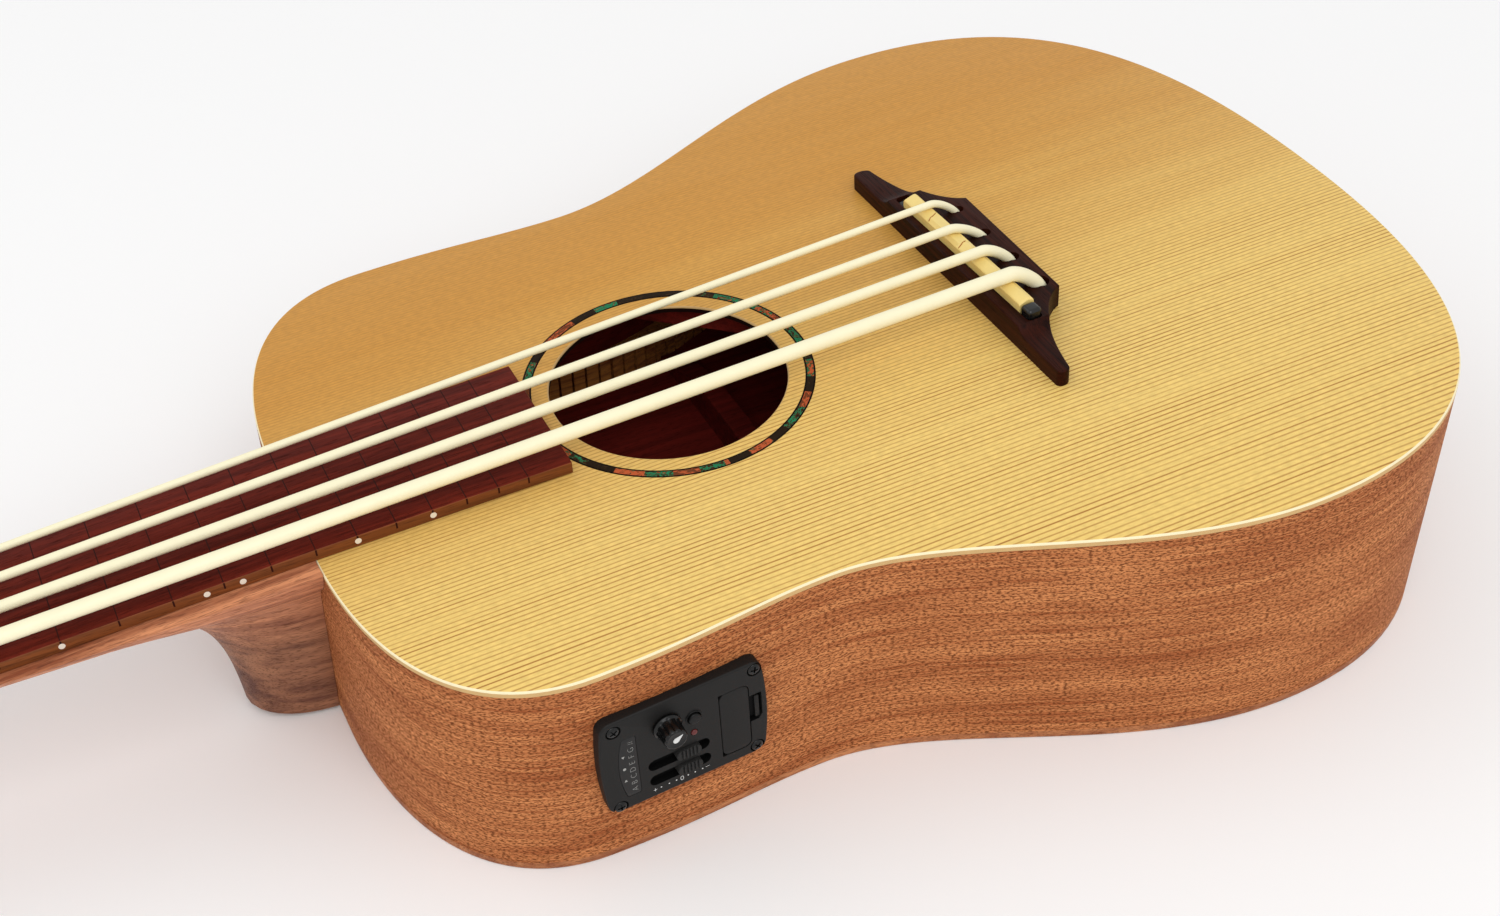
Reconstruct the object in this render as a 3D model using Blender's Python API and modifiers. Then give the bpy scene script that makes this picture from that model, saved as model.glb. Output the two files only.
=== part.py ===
"""Fretless acoustic-electric bass ukulele, 508 mm scale, lying on its back.

World frame: +Y points to the headstock, +X to the treble side, +Z out of the soundboard.
The origin is on the back's outer face, on the centre line, midway along the body.

The back is flat on Z = 0 and the body grows deeper towards the tail, so the soundboard leans.
Pieces on the soundboard hang from the empty top_plane, whose origin is the scale's end on the
soundboard. The neck leans back a little more, and the head more again: neck_line, head_plane.
"""

import math

import bmesh
import bpy
from mathutils import Matrix, Vector
from mathutils.geometry import interpolate_bezier

MM = 0.001

# Clearances
GAP = 0.3 * MM  # between pieces that touch on the real instrument
SLIDE_GAP = 0.4 * MM  # round pieces that move

# Body
SCALE_LENGTH = 508 * MM
BODY_LENGTH = 363 * MM
DEPTH_AT_TAIL = 87.1 * MM
DEPTH_AT_NECK = 73.5 * MM
LOWER_BOUT = 281.6 * MM
WAIST = 203 * MM
UPPER_BOUT = 212 * MM
TAIL_TO_LOWER_BOUT = 0.2755 * BODY_LENGTH
TAIL_TO_SCALE_END = 0.3747 * BODY_LENGTH
TAIL_TO_WAIST = 0.6474 * BODY_LENGTH
TAIL_TO_UPPER_BOUT = 0.8485 * BODY_LENGTH
NECK_FLAT = 48 * MM  # straight part of the outline that the heel stands against
TOP_THICKNESS = 2.0 * MM
BACK_THICKNESS = 2.8 * MM
SIDE_THICKNESS = 2.2 * MM
LINING_WIDTH = 6 * MM
LINING_HEIGHT = 13 * MM
KERF_PITCH = 17 * MM
KERF_WIDTH = 1.4 * MM
KERF_WEB = 1.6 * MM
NECK_BLOCK_LENGTH = 28 * MM
TAIL_BLOCK_LENGTH = 14 * MM
TAIL_BLOCK_WIDTH = 60 * MM

# Sound hole and rosette
HOLE_FROM_SCALE_END = 0.2837 * BODY_LENGTH
HOLE_DIAMETER = 75.2 * MM
ROSETTE_DIAMETER = 92.6 * MM
ROSETTE_WIDTH = 3.2 * MM
ROSETTE_DEPTH = 0.8 * MM

# Braces
BRACE_WIDTH = 7 * MM
BRACE_HEIGHT = 11 * MM
BRACE_TIP = 2.5 * MM
BRACE_TAPER = 32 * MM
X_CENTRE_FROM_SCALE_END = 0.091 * BODY_LENGTH
X_HALF_ANGLE = math.radians(42.5)
UPPER_BRACE_FROM_HOLE = 0.154 * BODY_LENGTH
UPPER_BRACE_WIDTH = 9 * MM
BACK_BRACE_WIDTH = 8 * MM
BACK_BRACE_HEIGHT = 12 * MM

# Strings, thickest first: name, diameter, turns on the post
STRINGS = (
    ("e", 4.8 * MM, 1.75),
    ("a", 3.6 * MM, 2.0),
    ("d", 3.0 * MM, 2.0),
    ("g", 2.5 * MM, 2.25),
)
SPREAD_AT_SADDLE = 47.6 * MM
SPREAD_AT_NUT = 32.6 * MM
STRING_BEND_UNDER_BRIDGE_TOP = 4 * MM
STRING_BEND_REACH = 3.7 * MM
ACTION_AT_NUT = 1.0 * MM

# Bridge
BRIDGE_LENGTH = 127 * MM
BRIDGE_FRONT = 1.2 * MM
BRIDGE_DEPTH = 22 * MM
BRIDGE_REAR_WIDTH = 57 * MM
BRIDGE_TIP_DEPTH = 4.6 * MM
BRIDGE_HEIGHT = 8 * MM
BRIDGE_WING_HEIGHT = 5.4 * MM
BRIDGE_STEP_FROM_CENTRE = 40 * MM
BRIDGE_STEP_LENGTH = 9 * MM
BRIDGE_PLATE_DEPTH = 20 * MM
BRIDGE_PLATE_THICKNESS = 2.5 * MM
SADDLE_LENGTH = 68.6 * MM
SADDLE_WIDTH = 5.2 * MM
SADDLE_TO_FRONT = 5.2 * MM
SADDLE_SLANT = math.radians(2.0)
SADDLE_PROUD = 4.0 * MM
SADDLE_SLOT_DEPTH = 5 * MM
SADDLE_STEP = 1.1 * MM
PICKUP_THICKNESS = 1.2 * MM
PICKUP_END_LENGTH = 5.2 * MM
PICKUP_END_PROUD = 3.0 * MM
HOLES_BEHIND_SADDLE = 12 * MM

# Neck and fretboard
NECK_SET_BACK = math.radians(1.04)
FRETBOARD_THICKNESS = 4.0 * MM
FRETBOARD_TO_HOLE = 5.4 * MM
FRETBOARD_WIDTH_AT_NUT = 43 * MM
FRETBOARD_WIDTH_AT_END = 53 * MM
FRETBOARD_EDGE = 0.4 * MM
NECK_DEPTH = 14.4 * MM
NECK_ROUNDNESS = 2.2
HEEL_LENGTH = 27 * MM
HEEL_CLEAR_OF_BACK = 1.5 * MM
HEEL_REACH = 36 * MM
HEEL_FALL = 11.2 * MM
HEEL_HALF_WIDTH_AT_BOTTOM = 14 * MM
HEEL_BLEND = 3.0
NUT_LENGTH = 5 * MM

# Headstock
HEAD_ANGLE = math.radians(8)
HEAD_LENGTH = 138 * MM
HEAD_THICKNESS = 13 * MM
HEAD_WIDTH_LOW = 66 * MM
HEAD_WIDTH_HIGH = 73 * MM
HEAD_FLARE = 28 * MM
HEADPLATE_THICKNESS = 1.5 * MM
POST_SPACING = 44 * MM
LOW_POST = 0.275 * HEAD_LENGTH
HIGH_POST = 0.667 * HEAD_LENGTH
VOLUTE_LENGTH = 28 * MM
VOLUTE_PROUD = 1.8 * MM

# Tuning machines
WHEEL_TEETH = 14
TOOTH_MODULE = 1.0 * MM
WHEEL_THICKNESS = 3 * MM
WORM_PITCH_RADIUS = 2.6 * MM
WORM_TURNS = 3
TOOTH_ADDENDUM = 0.8
WHEEL_DEDENDUM = 1.1
WORM_DEDENDUM = 1.0
POST_RADIUS = 3.9 * MM
POST_SHAFT_RADIUS = 3.0 * MM
POST_EXPOSED = 19 * MM
MACHINE_PLATE_THICKNESS = 1.2 * MM
MACHINE_AXLE_DEPTH = 5.4 * MM  # from the head's back to the worm's axis
EAR_THICKNESS = 1.3 * MM
KEY_SHAFT_RADIUS = 1.6 * MM
KEY_REACH = 16.5 * MM  # from the post's axis to the button
BUTTON_SIZE = Vector((14 * MM, 17 * MM, 7 * MM))
BUSHING_RADIUS = 4.4 * MM
BUSHING_FLANGE_RADIUS = 6.6 * MM
BUSHING_FLANGE = 1.2 * MM
BUSHING_LENGTH = 9 * MM
WINDING_GAP = 0.55 * MM

# Preamp in the bass side. Its face's frame: X to the tail, Y up, Z outwards.
PREAMP_FROM_SCALE_END = 0.4124 * BODY_LENGTH
PREAMP_BELOW_TOP = 35 * MM
PREAMP_LENGTH = 50 * MM
PREAMP_HEIGHT = 37 * MM
PREAMP_BOW = 1.5 * MM
PREAMP_CORNER = 3 * MM
PREAMP_PROUD = 2.8 * MM
BOX_DEPTH = 13 * MM
KNOB_SKIRT_RADIUS = 4.5 * MM
KNOB_RADIUS = 3.9 * MM
KNOB_HEIGHT = 6.5 * MM
KNOB_AT = Vector((-5.3, 8.7)) * MM
KNOB_FLUTES = 8
KNOB_SHAFT_RADIUS = 1.6 * MM
BUTTON_AT = Vector((3.2, 7.1)) * MM
TUNER_BUTTON_RADIUS = 1.9 * MM
BUTTON_PROUD = 1.0 * MM
BUTTON_TRAVEL = 0.8 * MM
LED_AT = Vector((2.9, 1.1)) * MM
LED_RADIUS = 1.0 * MM
SLOT_LENGTH = 19.6 * MM
SLOT_WIDTH = 4.2 * MM
SLOT_DEPTH = 2.4 * MM
SLOT_CENTRE = -2.4 * MM
TREBLE_SLOT_Y = -5.4 * MM
BASS_SLOT_Y = -11.7 * MM
CAP_LENGTH = 7.9 * MM
CAP_PROUD = 1.2 * MM
CAP_REST = 2.8 * MM  # from the slot's centre, towards the tail
WINDOW_AT = Vector((-17.2, -1.7)) * MM
WINDOW_WIDTH = 4.2 * MM
WINDOW_HEIGHT = 23.6 * MM
WINDOW_BOW = 1.7 * MM
WINDOW_THICKNESS = 0.8 * MM
COVER_AT = Vector((16.0, -1.8)) * MM
COVER_WIDTH = 9.2 * MM
COVER_HEIGHT = 25.2 * MM
COVER_CORNER = 2.2 * MM
COVER_THICKNESS = 1.2 * MM
LATCH_HEIGHT = 8.6 * MM
LATCH_REACH = 3.4 * MM
LATCH_ABOVE_COVER_MIDDLE = 1.9 * MM
CELL_RADIUS = 10 * MM
CELL_THICKNESS = 3.2 * MM

# Output jack in the tail
JACK_BORE_RADIUS = 3.25 * MM
JACK_BARREL_RADIUS = 5.9 * MM
JACK_FLANGE_RADIUS = 8 * MM
JACK_FLANGE = 3 * MM
JACK_LENGTH = 32 * MM

# Derived values
TAPER = math.atan((DEPTH_AT_TAIL - DEPTH_AT_NECK) / BODY_LENGTH)
TAIL_Y = -TAIL_TO_SCALE_END
JOINT_Y = BODY_LENGTH - TAIL_TO_SCALE_END
BODY_MIDDLE = (TAIL_Y + JOINT_Y) / 2
DEPTH_AT_SCALE_END = DEPTH_AT_TAIL - TAIL_TO_SCALE_END * math.tan(TAPER)
LINING_INSET = SIDE_THICKNESS + GAP
BRACE_INSET = LINING_INSET + LINING_WIDTH + 0.5 * MM
FRETBOARD_TOP = GAP + FRETBOARD_THICKNESS
FRETBOARD_END = HOLE_FROM_SCALE_END + HOLE_DIAMETER / 2 + FRETBOARD_TO_HOLE
BRIDGE_TOP = GAP + BRIDGE_HEIGHT
CREST = BRIDGE_TOP + SADDLE_PROUD
SADDLE_Y = BRIDGE_FRONT - SADDLE_TO_FRONT
NUT_Y = SCALE_LENGTH - JOINT_Y  # along the neck
WHEEL_PITCH_RADIUS = TOOTH_MODULE * WHEEL_TEETH / 2
WORM_LEAD = math.pi * TOOTH_MODULE
WORM_OFFSET = WHEEL_PITCH_RADIUS + WORM_PITCH_RADIUS
HEAD_BACK = -GAP - HEAD_THICKNESS
ENVELOPE = (-0.3 * DEPTH_AT_TAIL, 1.6 * DEPTH_AT_TAIL)
BALL_RIM = 2.2 * MM

FINISHES = {
    "cedar": ((0.72, 0.42, 0.16), 0.45, 0.0),
    "sapele": ((0.36, 0.12, 0.05), 0.5, 0.0),
    "spruce": ((0.70, 0.50, 0.28), 0.7, 0.0),
    "rosewood": ((0.07, 0.02, 0.015), 0.5, 0.0),
    "abalone": ((0.05, 0.16, 0.12), 0.2, 0.1),
    "bone": ((0.82, 0.70, 0.45), 0.4, 0.0),
    "urethane": ((0.86, 0.80, 0.62), 0.45, 0.0),
    "black_plastic": ((0.02, 0.02, 0.02), 0.45, 0.0),
    "grey_rubber": ((0.09, 0.09, 0.09), 0.7, 0.0),
    "red_lens": ((0.45, 0.02, 0.02), 0.2, 0.0),
    "smoked_lens": ((0.03, 0.03, 0.035), 0.15, 0.0),
    "steel": ((0.55, 0.55, 0.55), 0.3, 1.0),
    "brass": ((0.60, 0.42, 0.16), 0.35, 1.0),
}


class Frame:
    """An empty, with its place in the world."""

    def __init__(self, name, parent=None, location=(0, 0, 0), rotation=(0, 0, 0)):
        self.empty = bpy.data.objects.new(name, None)
        self.empty.empty_display_size = 0.02
        self.empty.location = location
        self.empty.rotation_euler = rotation
        turn = self.empty.rotation_euler.to_matrix().to_4x4()
        self.world = Matrix.Translation(location) @ turn
        if parent:
            self.empty.parent = parent.empty
            self.world = parent.world @ self.world
        PARTS.objects.link(self.empty)

    def at(self, x, y, z):
        return self.world @ Vector((x, y, z))


def clear_scene():
    for item in list(bpy.data.objects):
        bpy.data.objects.remove(item, do_unlink=True)


def collection(name):
    made = bpy.data.collections.new(name)
    bpy.context.scene.collection.children.link(made)
    return made


def material(name):
    found = bpy.data.materials.get(name)
    if found:
        return found
    colour, roughness, metallic = FINISHES[name]
    made = bpy.data.materials.new(name)
    made.use_nodes = True
    made.diffuse_color = (*colour, 1)
    shader = made.node_tree.nodes["Principled BSDF"]
    shader.inputs["Base Color"].default_value = (*colour, 1)
    shader.inputs["Roughness"].default_value = roughness
    shader.inputs["Metallic"].default_value = metallic
    return made


def piece(name, data, finish, frame, round_edges=False):
    """A node of the instrument: an object in the given frame."""
    made = bpy.data.objects.new(name, data)
    made.parent = frame.empty
    data.materials.append(material(finish))
    PARTS.objects.link(made)
    if round_edges:
        data.shade_smooth()
        data.set_sharp_from_angle(angle=math.radians(35))
    return made


def cutter(name, mesh, frame):
    made = bpy.data.objects.new(name, mesh)
    made.parent = frame.empty
    made.hide_render = True
    made.display_type = "WIRE"
    CUTTERS.objects.link(made)
    return made


def combine(target, other, operation):
    change = target.modifiers.new(f"{operation.lower()} {other.name}", "BOOLEAN")
    change.operation = operation
    change.object = other


def cut(target, *others):
    for other in others:
        combine(target, other, "DIFFERENCE")


def mesh_of(name, bm):
    bmesh.ops.recalc_face_normals(bm, faces=bm.faces)
    mesh = bpy.data.meshes.new(name)
    bm.to_mesh(mesh)
    bm.free()
    return mesh


def height(rule, y):
    return rule(y) if callable(rule) else rule


def prism(name, outline, low, high):
    """An upright prism on an outline. Its ends are heights, or rules that give a height at Y."""
    bm = bmesh.new()
    floor = bm.faces.new([bm.verts.new((x, y, height(low, y))) for x, y in outline])
    raised = bmesh.ops.extrude_face_region(bm, geom=[floor])["geom"]
    for vert in (v for v in raised if isinstance(v, bmesh.types.BMVert)):
        vert.co.z = height(high, vert.co.y)
    return mesh_of(name, bm)


def plate(name, outlines, low, high):
    """A flat plate: the first outline is its edge and the others are holes."""
    curve = bpy.data.curves.new(name, "CURVE")
    curve.dimensions = "2D"
    curve.fill_mode = "BOTH"
    curve.extrude = (high - low) / 2
    for outline in outlines:
        spline = curve.splines.new("POLY")
        spline.points.add(len(outline) - 1)
        for point, (x, y) in zip(spline.points, outline):
            point.co = (x, y, 0, 1)
        spline.use_cyclic_u = True
    drawn = bpy.data.objects.new(name + "_outline", curve)
    bpy.context.scene.collection.objects.link(drawn)
    found = drawn.evaluated_get(bpy.context.evaluated_depsgraph_get())
    bm = bmesh.new()
    bm.from_mesh(bpy.data.meshes.new_from_object(found))
    bpy.data.objects.remove(drawn, do_unlink=True)
    bmesh.ops.remove_doubles(bm, verts=bm.verts, dist=0.001 * MM)
    bmesh.ops.translate(bm, verts=bm.verts, vec=(0, 0, (low + high) / 2))
    return mesh_of(name, bm)


def box(name, low, high):
    size = Vector(high) - Vector(low)
    middle = (Vector(high) + Vector(low)) / 2
    bm = bmesh.new()
    place = Matrix.Translation(middle) @ Matrix.Diagonal((*size, 1))
    bmesh.ops.create_cube(bm, size=1, matrix=place)
    return mesh_of(name, bm)


def cylinder(name, radius, low, high, segments=24, place=Matrix()):
    """A cylinder along Z from low to high, carried by place."""
    bm = bmesh.new()
    bmesh.ops.create_cone(
        bm,
        cap_ends=True,
        segments=segments,
        radius1=radius,
        radius2=radius,
        depth=high - low,
        matrix=place @ Matrix.Translation((0, 0, (low + high) / 2)),
    )
    return mesh_of(name, bm)


def loft(name, rings):
    """A closed skin through rings of as many points each, capped at both ends."""
    bm = bmesh.new()
    made = [[bm.verts.new(point) for point in ring] for ring in rings]
    for before, after in zip(made, made[1:]):
        for i in range(len(before)):
            j = (i + 1) % len(before)
            bm.faces.new((before[i], before[j], after[j], after[i]))
    bm.faces.new(made[0])
    bm.faces.new(list(reversed(made[-1])))
    bmesh.ops.remove_doubles(bm, verts=bm.verts, dist=0.001 * MM)
    return mesh_of(name, bm)


def turned(name, profile, segments=20, along="Z"):
    """A turned mesh from (radius, height) points that run from the top of its axis to the foot."""
    bm = bmesh.new()
    points = [bm.verts.new((radius, 0, level)) for radius, level in profile]
    edges = [bm.edges.new(pair) for pair in zip(points, points[1:])]
    bmesh.ops.spin(
        bm,
        geom=points + edges,
        axis=(0, 0, 1),
        cent=(0, 0, 0),
        angle=math.tau,
        steps=segments,
        use_merge=True,
        use_duplicate=False,
    )
    bmesh.ops.remove_doubles(bm, verts=bm.verts, dist=0.001 * MM)
    if along == "X":
        bmesh.ops.rotate(
            bm, verts=bm.verts, matrix=Matrix.Rotation(math.pi / 2, 3, "Y")
        )
    return mesh_of(name, bm)


def wire(name, points, radius, finish, resolution=2):
    """A round tube through world points."""
    curve = bpy.data.curves.new(name, "CURVE")
    curve.dimensions = "3D"
    curve.bevel_depth = radius
    curve.bevel_resolution = resolution
    curve.use_fill_caps = True
    spline = curve.splines.new("POLY")
    spline.points.add(len(points) - 1)
    for point, place in zip(spline.points, points):
        point.co = (*place, 1)
    spline.use_smooth = True
    made = bpy.data.objects.new(name, curve)
    curve.materials.append(material(finish))
    PARTS.objects.link(made)
    return made


def circle(x, y, radius, count):
    turns = (math.tau * i / count for i in range(count))
    return [(x + radius * math.cos(t), y + radius * math.sin(t)) for t in turns]


def rounded_rectangle(x, y, width, depth, radius, bow=0.0, steps=4, bow_left=None):
    """A rectangle with round corners. A bow swells its ends outwards by that much."""
    bows = (bow, bow if bow_left is None else bow_left)
    points = []
    half = depth / 2
    for corner, (sx, sy) in enumerate(((1, 1), (-1, 1), (-1, -1), (1, -1))):
        centre_x = x + sx * (width / 2 - radius)
        centre_y = y + sy * (half - radius)
        for step in range(steps + 1):
            turn = math.pi / 2 * (corner + step / steps)
            px = centre_x + radius * math.cos(turn)
            py = centre_y + radius * math.sin(turn)
            swell = bows[0] if px > x else bows[1]
            share = abs(px - x) / (width / 2)
            px += math.copysign(swell * share * (1 - ((py - y) / half) ** 2), px - x)
            points.append((px, py))
        swell = bows[0] if sx > 0 else bows[1]
        if swell and corner in (1, 3):
            for part in range(1, 6):
                py = y + sy * (half - radius) * (1 - part / 3)
                px = sx * (width / 2 + swell * (1 - ((py - y) / half) ** 2))
                points.append((x + px, py))
    return points


def half_outline(inset=0.0, steps=10):
    """The treble half of the body's outline, tail to neck, moved inwards by inset."""
    lower = Vector((LOWER_BOUT / 2, TAIL_Y + TAIL_TO_LOWER_BOUT))
    waist = Vector((WAIST / 2, TAIL_Y + TAIL_TO_WAIST))
    upper = Vector((UPPER_BOUT / 2, TAIL_Y + TAIL_TO_UPPER_BOUT))
    tail = Vector((0, TAIL_Y))
    shoulder = Vector((NECK_FLAT / 2, JOINT_Y))
    down = Vector((0, -1))
    right = Vector((1, 0))
    spans = (
        (
            tail,
            tail + right * 0.42 * lower.x,
            lower + down * 0.90 * TAIL_TO_LOWER_BOUT,
            lower,
        ),
        (
            lower,
            lower - down * 0.395 * (waist - lower).y,
            waist + down * 0.285 * (waist - lower).y,
            waist,
        ),
        (
            waist,
            waist - down * 0.32 * (upper - waist).y,
            upper + down * 0.47 * (upper - waist).y,
            upper,
        ),
        (
            upper,
            upper - down * 0.91 * (JOINT_Y - upper.y),
            shoulder + right * 0.26 * (upper - shoulder).x,
            shoulder,
        ),
    )
    line = [tail]
    for start, handle, other, end in spans:
        line += interpolate_bezier(start, handle, other, end, steps + 1)[1:]
    line.append(Vector((0, JOINT_Y)))
    if not inset:
        return [tuple(point) for point in line]
    moved = []
    for i, point in enumerate(line):
        before = line[max(i - 1, 0)]
        after = line[min(i + 1, len(line) - 1)]
        along = (after - before).normalized()
        if i in (0, len(line) - 1):
            along = Vector((1, 0)) if i == 0 else Vector((-1, 0))
        moved.append((point.x - along.y * inset, point.y + along.x * inset))
    return moved


def whole_outline(inset=0.0):
    half = half_outline(inset)
    return half + [(-x, y) for x, y in reversed(half[1:-1])]


def reach(start, direction, inset):
    """How far a line runs inside the body before it meets the outline moved in by inset."""
    loop = whole_outline(inset)
    far = 0.0
    for (x1, y1), (x2, y2) in zip(loop, loop[1:] + loop[:1]):
        edge = Vector((x2 - x1, y2 - y1))
        cross = direction.cross(edge)
        if abs(cross) < 1e-12:
            continue
        offset = Vector((x1, y1)) - start
        along = offset.cross(edge) / cross
        share = offset.cross(direction) / cross
        if along > 0 and 0 <= share <= 1:
            far = along if far == 0.0 else min(far, along)
    return far


def to_world(outline):
    """Moves an outline drawn in the top's plane to the level of the back."""
    lean = math.cos(TAPER)
    return [(x, (y - BODY_MIDDLE) * lean) for x, y in outline]


def below_top(depth):
    """A rule for the height, at world Y, of a plane this far under the soundboard's surface."""
    start = TOP.world.translation

    def rule(y):
        return start.z - (y - start.y) * math.tan(TAPER) - depth / math.cos(TAPER)

    return rule


def build_shell():
    under_top = below_top(TOP_THICKNESS + GAP)
    holes = [circle(0, HOLE_FROM_SCALE_END, HOLE_DIAMETER / 2, 48)]
    for x, y, radius in string_holes():
        holes.append(circle(x, y, radius, 12))
    board = piece(
        "soundboard",
        plate("soundboard", [whole_outline()] + holes, -TOP_THICKNESS, 0),
        "cedar",
        TOP,
    )
    outer = ROSETTE_DIAMETER / 2
    ring = [
        circle(0, HOLE_FROM_SCALE_END, outer, 48),
        circle(0, HOLE_FROM_SCALE_END, outer - ROSETTE_WIDTH, 48),
    ]
    groove = [
        circle(0, HOLE_FROM_SCALE_END, outer + GAP, 48),
        circle(0, HOLE_FROM_SCALE_END, outer - ROSETTE_WIDTH - GAP, 48),
    ]
    cut(
        board,
        cutter(
            "rosette_groove",
            plate("rosette_groove", groove, -ROSETTE_DEPTH - GAP, 1 * MM),
            TOP,
        ),
    )
    piece("rosette", plate("rosette", ring, -ROSETTE_DEPTH, 0), "abalone", TOP)

    back = whole_outline()
    piece("back", prism("back", to_world(back), 0, BACK_THICKNESS), "sapele", BODY)

    for side, sign in (("bass", -1), ("treble", 1)):
        line = [(max(x, GAP / 2) * sign, y) for x, y in half_outline()]
        wall = side_wall(f"side_{side}", to_world(line), sign, under_top)
        build_linings(side, sign)
        if side == "bass":
            cut(wall, preamp_opening())
        cut(wall, jack_bore(f"jack_hole_{side}", JACK_BARREL_RADIUS + GAP))

    floor = BACK_THICKNESS + GAP
    flat = NECK_FLAT / 2
    outer_y = JOINT_Y - LINING_INSET
    block = [
        (-flat, outer_y - NECK_BLOCK_LENGTH),
        (flat, outer_y - NECK_BLOCK_LENGTH),
        (flat, outer_y),
        (-flat, outer_y),
    ]
    piece(
        "neck_block",
        prism("neck_block", to_world(block), floor, under_top),
        "sapele",
        BODY,
    )
    inner = [
        point
        for point in half_outline(LINING_INSET)
        if point[0] < TAIL_BLOCK_WIDTH / 2 and point[1] < 0
    ]
    edge = inner + [(TAIL_BLOCK_WIDTH / 2, tail_edge_at(TAIL_BLOCK_WIDTH / 2))]
    face = TAIL_Y + LINING_INSET + TAIL_BLOCK_LENGTH
    block = [(-x, y) for x, y in reversed(edge[1:])] + edge
    block += [(TAIL_BLOCK_WIDTH / 2, face), (-TAIL_BLOCK_WIDTH / 2, face)]
    tail = piece(
        "tail_block",
        prism("tail_block", to_world(block), floor, under_top),
        "sapele",
        BODY,
    )
    cut(tail, jack_bore("jack_hole_block", JACK_BARREL_RADIUS + GAP))


def tail_edge_at(x):
    """Y of the outline inside the sides, at X near the tail."""
    line = [p for p in half_outline(LINING_INSET) if p[1] < 0]
    for (x1, y1), (x2, y2) in zip(line, line[1:]):
        if x1 <= x <= x2:
            return y1 + (y2 - y1) * (x - x1) / (x2 - x1)
    return line[0][1]


def side_wall(name, line, sign, under_top):
    """A bent side: an upright sheet along half the outline, thickened inwards."""
    bm = bmesh.new()
    low = [bm.verts.new((x, y, BACK_THICKNESS + GAP)) for x, y in line]
    edges = [bm.edges.new(pair) for pair in zip(low, low[1:])]
    raised = bmesh.ops.extrude_edge_only(bm, edges=edges)["geom"]
    for vert in (v for v in raised if isinstance(v, bmesh.types.BMVert)):
        vert.co.z = under_top(vert.co.y)
    bm.normal_update()
    middle = max(bm.faces, key=lambda f: abs(f.calc_center_median().x))
    if middle.normal.x * sign < 0:
        bmesh.ops.reverse_faces(bm, faces=bm.faces)
    mesh = bpy.data.meshes.new(name)
    bm.to_mesh(mesh)
    bm.free()
    wall = piece(name, mesh, "sapele", BODY)
    sheet = wall.modifiers.new("thickness", "SOLIDIFY")
    sheet.thickness = SIDE_THICKNESS
    sheet.offset = -1
    sheet.use_even_offset = True
    return wall


def build_linings(side, sign):
    """Kerfed strips that glue the sides to the top and the back: combs along the outline."""
    outer = lining_line()
    tops = below_top(TOP_THICKNESS + GAP)
    low_tops = below_top(TOP_THICKNESS + GAP + LINING_HEIGHT)
    floor = BACK_THICKNESS + GAP
    comb = [(x * sign, y) for x, y in kerfed(outer)]
    piece(
        f"lining_top_{side}",
        prism(f"lining_top_{side}", to_world(comb), low_tops, tops),
        "spruce",
        BODY,
    )
    piece(
        f"lining_back_{side}",
        prism(f"lining_back_{side}", to_world(comb), floor, floor + LINING_HEIGHT),
        "spruce",
        BODY,
    )


def lining_line():
    """The outer line of a lining, from beside the tail block to beside the neck block."""
    line = [Vector(point) for point in half_outline(LINING_INSET)]
    start = TAIL_BLOCK_WIDTH / 2 + 1 * MM
    end = NECK_FLAT / 2 + 1 * MM
    kept = [p for p in line if (p.x > start if p.y < 0 else p.x > end)]
    return kept


def kerfed(outer):
    """A comb: the outer line, and inside it teeth parted by kerfs that stop short of it."""
    lengths = [0.0]
    for before, after in zip(outer, outer[1:]):
        lengths.append(lengths[-1] + (after - before).length)

    def along(distance, inset):
        distance = min(max(distance, 0), lengths[-1])
        k = max(i for i, length in enumerate(lengths[:-1]) if length <= distance)
        direction = (outer[k + 1] - outer[k]).normalized()
        point = outer[k] + direction * (distance - lengths[k])
        before = outer[max(k - 1, 0)]
        after = outer[min(k + 2, len(outer) - 1)]
        slope = (after - before).normalized()
        return (point.x - slope.y * inset, point.y + slope.x * inset)

    count = int(lengths[-1] / KERF_PITCH)
    pitch = lengths[-1] / count
    inner = []
    for tooth in range(count):
        start = tooth * pitch + (KERF_WIDTH / 2 if tooth else 0)
        end = (tooth + 1) * pitch - (KERF_WIDTH / 2 if tooth < count - 1 else 0)
        if tooth:
            inner.append(along(start, KERF_WEB))
        inner.append(along(start, LINING_WIDTH))
        inner.append(along(end, LINING_WIDTH))
        if tooth < count - 1:
            inner.append(along(end, KERF_WEB))
    return [tuple(point) for point in outer] + inner[::-1]


def beam(name, start, end, width, depth, tip, hang):
    """A brace from start to end, its ends tapered. It hangs from hang, or stands on it."""
    length = (end - start).length
    taper = min(BRACE_TAPER, length / 3)
    sign = -1 if depth < 0 else 1
    profile = [
        (0, 0),
        (length, 0),
        (length, sign * tip),
        (length - taper, depth),
        (taper, depth),
        (0, sign * tip),
    ]
    bm = bmesh.new()
    face = bm.faces.new([bm.verts.new((s, -width / 2, h)) for s, h in profile])
    raised = bmesh.ops.extrude_face_region(bm, geom=[face])["geom"]
    verts = [v for v in raised if isinstance(v, bmesh.types.BMVert)]
    bmesh.ops.translate(bm, verts=verts, vec=(0, width, 0))
    turn = math.atan2((end - start).y, (end - start).x)
    place = Matrix.Translation((start.x, start.y, hang)) @ Matrix.Rotation(turn, 4, "Z")
    bmesh.ops.transform(bm, matrix=place, verts=bm.verts)
    return mesh_of(name, bm)


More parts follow.
